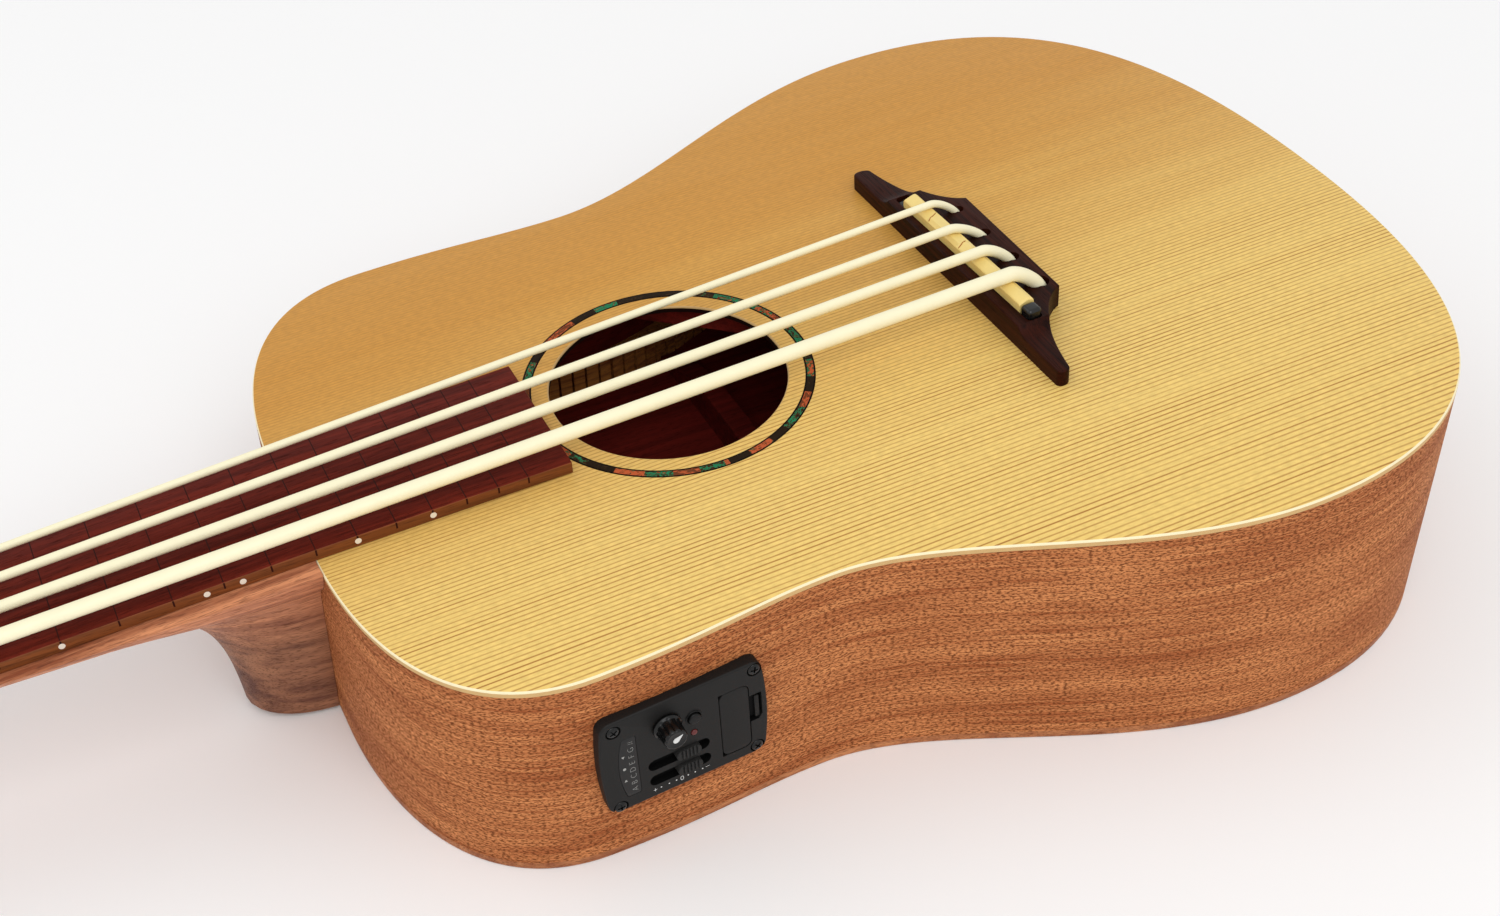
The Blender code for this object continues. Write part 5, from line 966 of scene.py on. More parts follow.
class UKULELE_OT_soundboard(bpy.types.Operator):
    """Builds the soundboard with its sound hole, and the rosette"""

    bl_idname = "ukulele.soundboard"
    bl_label = "Soundboard and rosette"

    def execute(self, context):
        edge = context.scene.ukulele_sizes.edge_round
        rules = [whole_outline, round_hole(0, HOLE_Y, HOLE_RADIUS, 144)]
        rules += [round_hole(x, y, radius, 24) for x, y, radius in string_holes()]
        mesh = board("soundboard_plate", rules, -TOP_THICKNESS - 0.25 * MM, 0, edge)
        # The outer edge's rounding takes a painted highlight over its bare wood, what faces down is stained,
        # and the sound hole's wall takes painted shade
        for face in mesh.polygons:
            near_hole = math.hypot(face.center.x, face.center.y - HOLE_Y) < HOLE_RADIUS + 1 * MM
            if face.normal.z < -0.5:
                face.material_index = 2
            elif face.normal.z <= 0.05:
                face.material_index = 4 if near_hole else 3
            elif face.normal.z < 0.95:
                face.material_index = 3 if near_hole else 1
        dress("soundboard_plate", mesh, TOP, ["top", "top_edge", "inside", "top_side", "hole_wall_painted_shade"],
              replaced=["soundboard"])
        self.build_rosette()
        return {"FINISHED"}

    def build_rosette(self):
        outer = ROSETTE_RADIUS
        inner = outer - ROSETTE_WIDTH
        crown = 0.04 * MM
        profile = [(outer, -0.5 * MM), (outer, crown * 0.5), (outer - 0.08 * MM, crown),
                   (inner + 0.08 * MM, crown), (inner, crown * 0.5), (inner, -0.5 * MM), (outer, -0.5 * MM)]
        mesh = turned("rosette_ring", profile, 288)
        layer = mesh.uv_layers.new(name="round")
        for face in mesh.polygons:
            middle = math.atan2(face.center.y, face.center.x)
            for corner in face.loop_indices:
                spot = mesh.vertices[mesh.loops[corner].vertex_index].co
                turn = math.atan2(spot.y, spot.x)
                turn += math.tau * round((middle - turn) / math.tau)
                radius = math.hypot(spot.x, spot.y)
                layer.data[corner].uv = (turn * outer, radius - inner)
        place = TOP @ Matrix.Translation((0, HOLE_Y, 0))
        dress("rosette_ring", mesh, place, ["rosette"], replaced=["rosette"])


class UKULELE_OT_back_and_sides(bpy.types.Operator):
    """Builds the back and the two bent sides"""

    bl_idname = "ukulele.back_and_sides"
    bl_label = "Back and sides"

    def execute(self, context):
        edge = context.scene.ukulele_sizes.edge_round
        mesh = board("back_plate", [lambda inset: on_back(whole_outline(inset))], 0, BACK_THICKNESS,
                     0.25 * MM, edge)
        for face in mesh.polygons:
            face.material_index = 1 if face.normal.z > 0.9 else 0
        dress("back_plate", mesh, Matrix(), ["back", "inside"], replaced=["back"])
        for side, sign in SIDES:
            self.build_side(side, sign)
        return {"FINISHED"}

    def build_side(self, side, sign):
        under = below_top(TOP_THICKNESS + 0.2 * MM)
        line = on_back([(max(x, 0.02 * MM) * sign, y) for x, y in half_outline()])
        bm = bmesh.new()
        low = [bm.verts.new((x, y, BACK_THICKNESS + 0.12 * MM)) for x, y in line]
        edges = [bm.edges.new(pair) for pair in zip(low, low[1:])]
        for vert in verts_of(bmesh.ops.extrude_edge_only(bm, edges=edges)["geom"]):
            vert.co.z = under(vert.co.y)
        bm.normal_update()
        middle = max(bm.faces, key=lambda face: abs(face.calc_center_median().x))
        if middle.normal.x * sign < 0:
            bmesh.ops.reverse_faces(bm, faces=bm.faces)
        runs = [0.0]
        for before, after in zip(line, line[1:]):
            runs.append(runs[-1] + math.dist(before, after))
        layer = bm.loops.layers.uv.new("rim")
        for face in bm.faces:
            for loop in face.loops:
                spot = loop.vert.co
                nearest = min(range(len(line)), key=lambda k: math.dist(line[k], spot.xy))
                loop[layer].uv = (runs[nearest] + sign, spot.z)
        mesh = bpy.data.meshes.new("side")
        bm.to_mesh(mesh)
        bm.free()
        wall = linked("side", mesh)
        sheet = wall.modifiers.new("thickness", "SOLIDIFY")
        sheet.thickness = SIDE_THICKNESS
        sheet.offset = -1
        sheet.use_even_offset = True
        tools = [moved(rod(0, 0, JACK_BORE, -40 * MM, 10 * MM, 48), JACK)]
        if side == "bass":
            opening = block("opening", (-19.5 * MM, -14.7 * MM, -20 * MM), (21.5 * MM, 14.5 * MM, 10 * MM))
            tools.append(moved(opening, PREAMP))
        mesh = carve(taken(wall), tools)
        mesh.materials.clear()
        for face in mesh.polygons:
            inwards = face.center.xy - Vector((0.6 * face.center.x, 0.8 * face.center.y))
            face.material_index = 1 if face.normal.xy.dot(inwards) < 0 else 0
        dress(f"side_wall_{side}", mesh, Matrix(), ["side", "inside"], replaced=[f"side_{side}"])


class UKULELE_OT_inside(bpy.types.Operator):
    """Builds the kerfed linings and finishes the braces and blocks inside the box"""

    bl_idname = "ukulele.inside"
    bl_label = "Linings, braces and blocks"

    def execute(self, context):
        pitch = context.scene.ukulele_sizes.kerf_pitch
        comb = self.comb(pitch)
        floor = BACK_THICKNESS + GAP
        ceiling = TOP_THICKNESS + GAP
        levels = {"back": (lambda y: floor, lambda y: floor + LINING_HEIGHT),
                  "top": (below_top(ceiling + LINING_HEIGHT), below_top(ceiling))}
        for side, sign in SIDES:
            outline = on_back([(x * sign, y) for x, y in comb])
            for level, (low, high) in levels.items():
                mesh = prism(f"lining_{level}_{side}", outline, 0, 1)
                for vert in mesh.vertices:
                    vert.co.z = high(vert.co.y) if vert.co.z > 0.5 else low(vert.co.y)
                dress(f"kerfed_{level}_{side}", mesh, Matrix(), ["lining"],
                      replaced=[f"lining_{level}_{side}"])
        for name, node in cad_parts.items():
            if "brace" in name or name in ("neck_block", "tail_block", "bridge_plate"):
                node.data.materials.clear()
                node.data.materials.append(material("inside"))
        return {"FINISHED"}

    def comb(self, pitch):
        """A lining's plan: its outer line, and teeth inside it parted by saw cuts."""
        line = [Vector(point) for point in half_outline(LINING_INSET)]
        start = TAIL_BLOCK_WIDTH / 2 + 1 * MM
        end = NECK_FLAT / 2 + 1 * MM
        outer = [p for p in line if (p.x > start if p.y < 0 else p.x > end)]
        lengths = [0.0]
        for before, after in zip(outer, outer[1:]):
            lengths.append(lengths[-1] + (after - before).length)

        def along(distance, inset):
            distance = min(max(distance, 0), lengths[-1])
            k = max(i for i, length in enumerate(lengths[:-1]) if length <= distance)
            direction = (outer[k + 1] - outer[k]).normalized()
            point = outer[k] + direction * (distance - lengths[k])
            return (point.x - direction.y * inset, point.y + direction.x * inset)

        count = int(lengths[-1] / pitch)
        step = lengths[-1] / count
        cut = 0.9 * MM
        inner = []
        for tooth in range(count):
            first = tooth * step + (cut / 2 if tooth else 0)
            last = (tooth + 1) * step - (cut / 2 if tooth < count - 1 else 0)
            inner += [along(first, 1.6 * MM)] if tooth else []
            inner += [along(first, LINING_WIDTH), along(last, LINING_WIDTH)]
            inner += [along(last, 1.6 * MM)] if tooth < count - 1 else []
        return [tuple(point) for point in outer] + inner[::-1]


class UKULELE_OT_bridge(bpy.types.Operator):
    """Builds the bridge, the saddle and the pickup under it"""

    bl_idname = "ukulele.bridge"
    bl_label = "Bridge and saddle"

    def execute(self, context):
        self.build_bridge(context.scene.ukulele_sizes.bridge_edge)
        self.build_saddle()
        self.build_pickup()
        return {"FINISHED"}

    def half_plan(self, reach, front, depth):
        """Half the outline, from the rear corner round a wing's tip with this front and depth."""
        tip = Vector((reach, front - depth / 2))
        corner = Vector((BRIDGE_REAR_WIDTH / 2, BRIDGE_FRONT - BRIDGE_DEPTH))
        wing = tip + Vector((-2 * MM, -depth / 2))
        sweep = interpolate_bezier(corner, corner + Vector((0.14, 0.38)) * BRIDGE_DEPTH,
                                   wing + Vector((-0.75, -0.12)) * BRIDGE_DEPTH, wing, 40)
        nose = interpolate_bezier(wing, wing + Vector((2.2 * MM, 0.4 * MM)),
                                  tip + Vector((0.6 * MM, depth / 2)), tip + Vector((-2 * MM, depth / 2)),
                                  14)
        return [tuple(p) for p in sweep] + [tuple(p) for p in nose[1:]]

    def outline(self):
        """The treble wing is a little wider than the bass wing and stands further forward."""
        half = BRIDGE_LENGTH / 2
        treble = self.half_plan(half + 1 * MM, BRIDGE_FRONT + 1.9 * MM, BRIDGE_TIP_DEPTH + 1.6 * MM)
        bass = self.half_plan(half, BRIDGE_FRONT, BRIDGE_TIP_DEPTH)
        return treble + [(-x, y) for x, y in reversed(bass)]

    def build_bridge(self, edge):
        low = BRIDGE_WING_TOP
        ramp = interpolate_bezier(Vector((BRIDGE_STEP, BRIDGE_TOP)),
                                  Vector((BRIDGE_STEP + 0.25 * BRIDGE_STEP_LENGTH, low + 0.2 * MM)),
                                  Vector((BRIDGE_STEP + 0.5 * BRIDGE_STEP_LENGTH, low)),
                                  Vector((BRIDGE_STEP + BRIDGE_STEP_LENGTH, low)), 16)

        def level(x):
            x = abs(x)
            if x <= BRIDGE_STEP:
                return BRIDGE_TOP
            for before, after in zip(ramp, ramp[1:]):
                if before.x <= x <= after.x:
                    share = (x - before.x) / (after.x - before.x)
                    return before.y + (after.y - before.y) * share
            return low

        bm = raised(self.outline(), 0.05 * MM, BRIDGE_TOP)
        for point in ramp:
            for sign in (-1, 1):
                bmesh.ops.bisect_plane(bm, geom=bm.verts[:] + bm.edges[:] + bm.faces[:],
                                       plane_co=(sign * point.x, 0, 0), plane_no=(1, 0, 0))
        for vert in bm.verts:
            if vert.co.z > BRIDGE_WING_TOP:
                vert.co.z = level(vert.co.x)
        bmesh.ops.recalc_face_normals(bm, faces=bm.faces)
        bm.normal_update()
        rim = [
            e
            for e in bm.edges
            if len(e.link_faces) == 2
            and sorted(abs(f.normal.z) > 0.3 for f in e.link_faces) == [False, True]
            and all(v.co.z > 1 * MM for v in e.verts)
        ]
        bmesh.ops.bevel(bm, geom=rim, offset=edge, offset_type="OFFSET", affect="EDGES", segments=4,
                        profile=0.5, material=-1, clamp_overlap=False)
        mesh = shape_of("bridge_body", bm)
        tools = [rod(x, y, radius, -2 * MM, 12 * MM, 32) for x, y, radius in string_holes()]
        tools += [self.mouth(index) for index in range(4)]
        half = SADDLE_LENGTH / 2 + PICKUP_END + GAP
        wide = SADDLE_WIDTH / 2 + 0.12 * MM
        slot = prism("slot", rounded(0, 0, 2 * half, 2 * wide, 1.4 * MM), SADDLE_FLOOR, 14 * MM)
        tools.append(moved(slot, SADDLE_ON_TOP))
        dress("bridge_body", carve(mesh, tools), TOP, ["bridge"], replaced=["bridge"])

    def mouth(self, index):
        """The worn slope where a string leaves its hole, round the string's own line."""
        radius = STRING_DIAMETERS[index] / 2 + 0.06 * MM
        line = string_bend(index, 17)[:12]
        side = Vector((radius, 0, 0))
        turns = [math.tau * step / 28 for step in range(28)]
        rings = []
        for k, spot in enumerate(line):
            along = (line[min(k + 1, 11)] - line[max(k - 1, 0)]).normalized()
            across = Vector((1, 0, 0)).cross(along) * radius
            rings.append([spot + side * math.cos(t) + across * math.sin(t) for t in turns])
        return lofted("mouth", rings)

    def crest(self, x):
        """The crest steps back and forth under the strings."""
        value = CREST_SHIFTS[0]
        for start, shift in ((1.8 * MM, CREST_SHIFTS[2]), (19.7 * MM, CREST_SHIFTS[3])):
            share = min(max((x - start) / (0.5 * MM) + 0.5, 0), 1)
            value += (shift - value) * share
        return value

    def build_saddle(self):
        """A blade whose broad top slopes from its crest, with crisp eased edges."""
        half = SADDLE_WIDTH / 2
        bottom = SADDLE_FLOOR + 1.8 * MM
        rings = []
        for k in range(241):
            x = -SADDLE_LENGTH / 2 + SADDLE_LENGTH * k / 240
            crest = self.crest(x)
            end = (SADDLE_LENGTH / 2 - abs(x)) / (0.6 * MM)
            drop = 0.5 * MM * (1 - min(end, 1)) ** 2
            section = [(-half, bottom), (half, bottom), (half, CREST - 1.35 * MM),
                       (half - 0.3 * MM, CREST - 1.0 * MM), (crest + 0.5 * MM, CREST - 0.06 * MM),
                       (crest, CREST), (crest - 0.5 * MM, CREST - 0.06 * MM),
                       (-half + 0.3 * MM, CREST - 0.7 * MM), (-half, CREST - 1.05 * MM)]
            rings.append([(x, y, z - (drop if z > CREST - 2 * MM else 0)) for y, z in section])
        dress("saddle_blade", lofted("saddle_blade", rings), SADDLE, ["bone"], replaced=["saddle"],
              sharp=20)
        # Thin brown lines of painted shade where the crest steps, across the front of the top
        crown = Vector((0, 0, CREST))
        first = ((1.0, 2.35, -1.02), (1.8, 0.25, 0.0), (2.6, -1.2, -0.44))
        second = ((18.9, 2.35, -1.0), (19.2, 1.6, -0.05), (19.7, 0.25, 0.0), (20.5, -1.2, -0.02))
        cuts = [tube("cut", [crown + Vector(p) * MM for p in path], STEP_SHADE_RADIUS, 3)
                for path in (first, second)]
        dress("saddle_cuts", joined("saddle_cuts", cuts), SADDLE, ["cut"])

    def build_pickup(self):
        floor = SADDLE_FLOOR + GAP
        middle = SADDLE_LENGTH / 2 + 0.15 * MM
        end = SADDLE_LENGTH / 2 + PICKUP_END - 0.1 * MM
        half = SADDLE_WIDTH / 2 - 0.05 * MM
        parts = [block("strip", (-end, -half, floor), (end, half, floor + 1.2 * MM), 0.3 * MM)]
        for sign in (-1, 1):
            low, high = sorted((sign * middle, sign * end))
            # The treble end lies low in its slot
            top = PICKUP_TOP if sign < 0 else BRIDGE_TOP - 0.8 * MM
            parts.append(block("stub", (low, -half, floor), (high, half, top), 1.3 * MM, 8))
        dress("pickup_strip_ends", joined("pickup_strip_ends", parts), SADDLE, ["pickup"],
              replaced=["pickup_strip"], sharp=60)


class UKULELE_OT_fretboard(bpy.types.Operator):
    """Builds the fretboard with its note lines and side dots"""

    bl_idname = "ukulele.fretboard"
    bl_label = "Fretboard"

    def surface(self, distance, x, z):
        """A place on the board at a distance from the scale's end."""
        if distance <= JOINT_Y:
            return TOP @ Vector((x, distance, z))
        return NECK @ Vector((x, distance - JOINT_Y, z))

    def execute(self, context):
        bm = bmesh.new()
        rings = []
        for distance in (FRETBOARD_END, JOINT_Y, SCALE_LENGTH - GAP):
            half = board_half_width(distance)
            corners = ((-half, 0.1 * MM), (half, 0.1 * MM), (half, FRETBOARD_TOP), (-half, FRETBOARD_TOP))
            rings.append([self.surface(distance, x, z) for x, z in corners])
        skin(bm, rings)
        ease(bm, 0.4 * MM, 4, 40)
        bm.normal_update()
        for face in bm.faces:
            if abs(face.normal.z) < 0.6:
                face.material_index = 1
        dress("fretboard_blank", shape_of("fretboard_blank", bm), Matrix(), ["board", "board_side"],
              replaced=["fretboard"])
        self.build_lines(context.scene.ukulele_sizes.fret_line)
        self.build_dots(context.scene.ukulele_sizes.side_dot)
        return {"FINISHED"}

    def build_lines(self, width):
        """One line across the top for each semitone, with a short tick down each side."""
        bm = bmesh.new()
        proud = 0.03 * MM
        for fret in range(1, 21):
            distance = note_y(fret)
            if distance < FRETBOARD_END + 1 * MM:
                continue
            half = board_half_width(distance)
            plane = TOP if distance <= JOINT_Y else NECK
            origin = 0 if distance <= JOINT_Y else JOINT_Y
            across = (-half + 0.3 * MM, half - 0.3 * MM)
            boxes = [(across, (FRETBOARD_TOP - 0.4 * MM, FRETBOARD_TOP + proud), 0.6 * width)]
            for sign in (-1, 1):
                inner = sign * (half - 0.4 * MM)
                outer = sign * (half + proud)
                levels = (FRETBOARD_TOP - 2.4 * MM, FRETBOARD_TOP - 0.2 * MM)
                boxes.append((sorted((inner, outer)), levels, width))
            for (x1, x2), (z1, z2), wide in boxes:
                middle = Vector(((x1 + x2) / 2, distance - origin, (z1 + z2) / 2))
                size = (x2 - x1, wide, z2 - z1)
                place = plane @ Matrix.Translation(middle) @ Matrix.Diagonal((*size, 1))
                bmesh.ops.create_cube(bm, size=1, matrix=place)
        dress("fret_lines", shape_of("fret_lines", bm), Matrix(), ["line"])

    def build_dots(self, diameter):
        """Dots on the bass side at the usual lines, and two either side of the octave's."""
        bm = bmesh.new()
        for fret in (3, 5, 7, 9, 12, 15, 17):
            for offset in (-5.4 * MM, 5.4 * MM) if fret == 12 else (0.0,):
                distance = note_y(fret) + offset
                half = board_half_width(distance)
                spot = self.surface(distance, -half, FRETBOARD_TOP - 2.1 * MM)
                place = Matrix.Translation(spot) @ Matrix.Rotation(math.pi / 2, 4, "Y")
                bmesh.ops.create_cone(bm, cap_ends=True, segments=24, radius1=diameter / 2,
                                      radius2=diameter / 2, depth=0.08 * MM, matrix=place)
        dress("side_dots", shape_of("side_dots", bm), Matrix(), ["dot"])


class UKULELE_OT_neck(bpy.types.Operator):
    """Builds the neck with its heel and head, the headplate and the nut"""

    bl_idname = "ukulele.neck"
    bl_label = "Neck and head"

    def heel_floor(self, y):
        lean = TAPER + NECK_ANGLE
        return (HEEL_CLEAR - DEPTH_AT_NECK + y * math.sin(lean)) / math.cos(lean)

    def half_width(self, y, z):
        """The shaft's half width blended with the heel's."""
        full = board_half_width(JOINT_Y + y)
        power = NECK_ROUNDNESS
        sunk = min(abs(z) / NECK_DEPTH, 1.0)
        shaft = full * (1 - sunk**power) ** (1 / power)
        share = min(max(y, 0) / self.front(abs(z)), 1.0)
        fall = (abs(z) / abs(self.heel_floor(0))) ** HEEL_TAPER
        wide = full + (HEEL_FOOT - full) * fall
        heel = wide * (1 - share**power) ** (1 / power)
        return (shaft**3 + heel**3) ** (1 / 3)

    def front(self, deep):
        """How far the heel reaches forward at a depth under the fretboard."""
        swell = HEEL_SWELL * (1 - math.exp(-(((deep - NECK_DEPTH) / HEEL_SWELL_FALL) ** 2)))
        return HEEL_LENGTH + HEEL_REACH * math.exp(-(deep - NECK_DEPTH) / HEEL_FALL) + swell

    def depth_at(self, y):
        """The depth at which the heel's front stands at this distance from the joint."""
        low = NECK_DEPTH
        high = -self.heel_floor(y)
        if self.front(high) >= y:
            return high
        for _ in range(30):
            middle = (low + high) / 2
            if self.front(middle) > y:
                low = middle
            else:
                high = middle
        return low

    def neck_half(self, y):
        deep = self.depth_at(y)
        # The shaft is slimmest just in front of the heel
        slim = 1 - SLIM_SHARE * math.exp(-(((y - SLIM_AT) / SLIM_REACH) ** 2))
        half = []
        for k in range(SECTION_POINTS):
            z = -deep * math.sin(math.pi / 2 * k / (SECTION_POINTS - 1))
            wide = self.half_width(y, z)
            if k == SECTION_POINTS - 1 and deep < -self.heel_floor(y):
                wide = 0.0
            half.append((wide, z * slim))
        return half

    def volute_half(self, y, share):
        """Past the nut the shaft runs out in a point under the head."""
        drop = (y - NUT_Y - NUT_LENGTH) * math.tan(HEAD_ANGLE)
        top = -drop - HEAD_THICKNESS / 2
        proud = VOLUTE_PROUD * math.sin(math.pi * min(share + 0.15, 1.0))
        deep = drop + HEAD_THICKNESS + proud - (1.2 * MM if share == 1 else 0)
        wide = board_half_width(SCALE_LENGTH) * (1 - share**1.5) + 3 * MM * share
        half = []
        for k in range(SECTION_POINTS):
            turn = math.pi / 2 * k / (SECTION_POINTS - 1)
            z = top - (deep + top) * math.sin(turn)
            half.append((wide * max(math.cos(turn), 0) ** 0.9, z))
        return half

    def closed(self, y, half):
        right = [(max(x, 0.01 * MM), y, z) for x, z in half]
        return right + [(-x, y, z) for x, y, z in reversed(right)]

    def execute(self, context):
        foot = HEEL_LENGTH + HEEL_SWELL
        low = -self.heel_floor(foot)
        stations = [foot * (k / 14 - 0.3) for k in range(19)]
        # Equal steps of depth, as the heel's front stands nearly upright
        stations += [self.front(low + (NECK_DEPTH - low) * k / 44) for k in range(45)]
        rest = NUT_Y - stations[-1]
        stations += [stations[-1] + rest * k / 10 for k in range(1, 11)]
        rings = [self.closed(y, self.neck_half(y)) for y in stations]
        for k in range(13):
            share = k / 12
            y = NUT_Y + NUT_LENGTH + share * VOLUTE_LENGTH
            rings.append(self.closed(y, self.volute_half(y, share)))
        neck = moved(lofted("neck_shaft", rings), NECK)
        body = envelope(0.12 * MM)
        slab = board("slab", [lambda inset: self.head_outline(-2 * MM, inset)], HEAD_BACK, -GAP, 0.4 * MM,
                     1.0 * MM)
        bores = [moved(rod(x, y, BUSHING_BORE, -20 * MM, 5 * MM, 48), HEAD) for x, y in POSTS]
        mesh = carve(neck, [body])
        mesh = carve(mesh, [moved(slab, HEAD)], "UNION")
        mesh = carve(mesh, bores)
        dress("neck_shaft", mesh, Matrix(), ["neck"], replaced=["neck"], sharp=40)
        self.build_headplate()
        self.build_nut()
        return {"FINISHED"}

    def head_outline(self, start, inset=0.0):
        foot = Vector((board_half_width(SCALE_LENGTH) + 0.3 * MM, start))
        low = Vector((HEAD_WIDTH_LOW / 2, HEAD_FLARE))
        high = Vector((HEAD_WIDTH_HIGH / 2, HEAD_LENGTH - 14 * MM))
        crown = Vector((0, HEAD_LENGTH))
        up = Vector((0, 1))
        flare = interpolate_bezier(foot, foot + up * 0.55 * HEAD_FLARE, low - up * 0.45 * HEAD_FLARE, low,
                                   24)
        top = interpolate_bezier(high, high + up * 13 * MM,
                                 crown + Vector((0.42 * HEAD_WIDTH_HIGH / 2, -1.5 * MM)), crown, 30)
        line = list(flare) + list(top)
        (start_x, _), *middle, _ = set_in(line, inset)
        right = [(start_x, line[0].y + inset)] + [(max(x, 0.0), y) for x, y in middle]
        return right + [(0.0, line[-1].y - inset)] + [(-x, y) for x, y in reversed(right)]

    def build_headplate(self):
        rules = [lambda inset: self.head_outline(0.6 * MM, inset)]
        rules += [round_hole(x, y, BUSHING_BORE, 48) for x, y in POSTS]
        mesh = board("headplate_veneer", rules, -0.25 * MM, HEADPLATE_THICKNESS, 0.4 * MM)
        dress("headplate_veneer", mesh, HEAD, ["bridge"], replaced=["headplate"])

    def build_nut(self):
        half = WIDTH_AT_NUT / 2
        tall = FRETBOARD_TOP + ACTION_AT_NUT + STRING_DIAMETERS[0] * 0.55
        low = FRETBOARD_TOP + ACTION_AT_NUT + STRING_DIAMETERS[3] * 0.6
        bm = bmesh.new()
        rings = []
        for y, trim in ((NUT_Y, 0.0), (NUT_Y + NUT_LENGTH * 0.55, 0.0), (NUT_Y + NUT_LENGTH, 1.0 * MM)):
            section = ((-half, 0.1 * MM), (half, 0.1 * MM), (half, low - trim), (-half, tall - trim))
            rings.append([(x, y, z) for x, z in section])
        skin(bm, rings)
        ease(bm, 0.5 * MM, 4, 25)
        mesh = shape_of("nut_blank", bm)
        slots = []
        for index, diameter in enumerate(STRING_DIAMETERS):
            level = FRETBOARD_TOP + ACTION_AT_NUT + diameter / 2
            turn = Matrix.Rotation(-math.pi / 2, 4, "X")
            slot = rod(0, 0, diameter / 2 + 0.2 * MM, -4 * MM, 10 * MM, 32)
            spot = (string_x(index, SPREAD_AT_NUT), NUT_Y, level)
            slots.append(moved(slot, Matrix.Translation(spot) @ turn))
        dress("nut_blank", carve(mesh, slots), NECK, ["bone"], replaced=["nut"])


class UKULELE_OT_strings(bpy.types.Operator):
    """Builds the four strings, each with its ball and its turns on the post"""

    bl_idname = "ukulele.strings"
    bl_label = "Strings"

    def route(self, index):
        diameter = STRING_DIAMETERS[index]
        radius = diameter / 2
        x, hole_y, _ = string_holes()[index]
        ball = -TOP_THICKNESS - 3.1 * MM - radius - BALL_MARGIN
        path = [TOP @ Vector((x, hole_y, ball))]
        path += [TOP @ point for point in string_bend(index, 25)]
        over_nut = FRETBOARD_TOP + ACTION_AT_NUT + GAP + radius
        nut_x = string_x(index, SPREAD_AT_NUT)
        start = NECK @ Vector((nut_x, NUT_Y + NUT_LENGTH * 0.7, over_nut))
        path.append(start)
        local = HEAD.inverted() @ start
        px, py = POSTS[index]
        side = math.copysign(1, px)
        around = POST_RADIUS + GAP + radius
        to_post = Vector((px - local.x, py - local.y))
        reach = math.sqrt(to_post.length_squared - around**2)
        heading = math.atan2(to_post.y, to_post.x) + math.asin(around / to_post.length) * side
        touch_x = local.x + reach * math.cos(heading)
        touch_y = local.y + reach * math.sin(heading)
        rise = FLANGE_TOP + 0.6 * MM + radius
        first = math.atan2(touch_y - py, touch_x - px)
        pitch = diameter + WINDING_GAP
        count = round(TURN_STEPS * STRING_TURNS[index])
        for k in range(count + 1):
            share = k / TURN_STEPS
            turn = first - side * math.tau * share
            spot = (px + around * math.cos(turn), py + around * math.sin(turn), rise + pitch * share)
            path.append(HEAD @ Vector(spot))
        end = (path[-1] - path[-2]).normalized()
        path.append(path[-1] + end * diameter * 0.9)
        return path

    def execute(self, context):
        for index, name in enumerate(STRING_NAMES):
            diameter = STRING_DIAMETERS[index]
            path = self.route(index)
            mesh = tube(f"string_line_{name}", path, diameter / 2, 8)
            bm = bmesh.new()
            bmesh.ops.create_uvsphere(bm, u_segments=24, v_segments=14, radius=diameter / 2 + BALL_MARGIN,
                                      matrix=Matrix.Translation(path[0]))
            ball = shape_of("ball", bm)
            dress(f"string_line_{name}", joined(f"string_line_{name}", [mesh, ball]), Matrix(), ["string"],
                  replaced=[f"string_{name}", f"winding_{name}"], sharp=70)
        return {"FINISHED"}


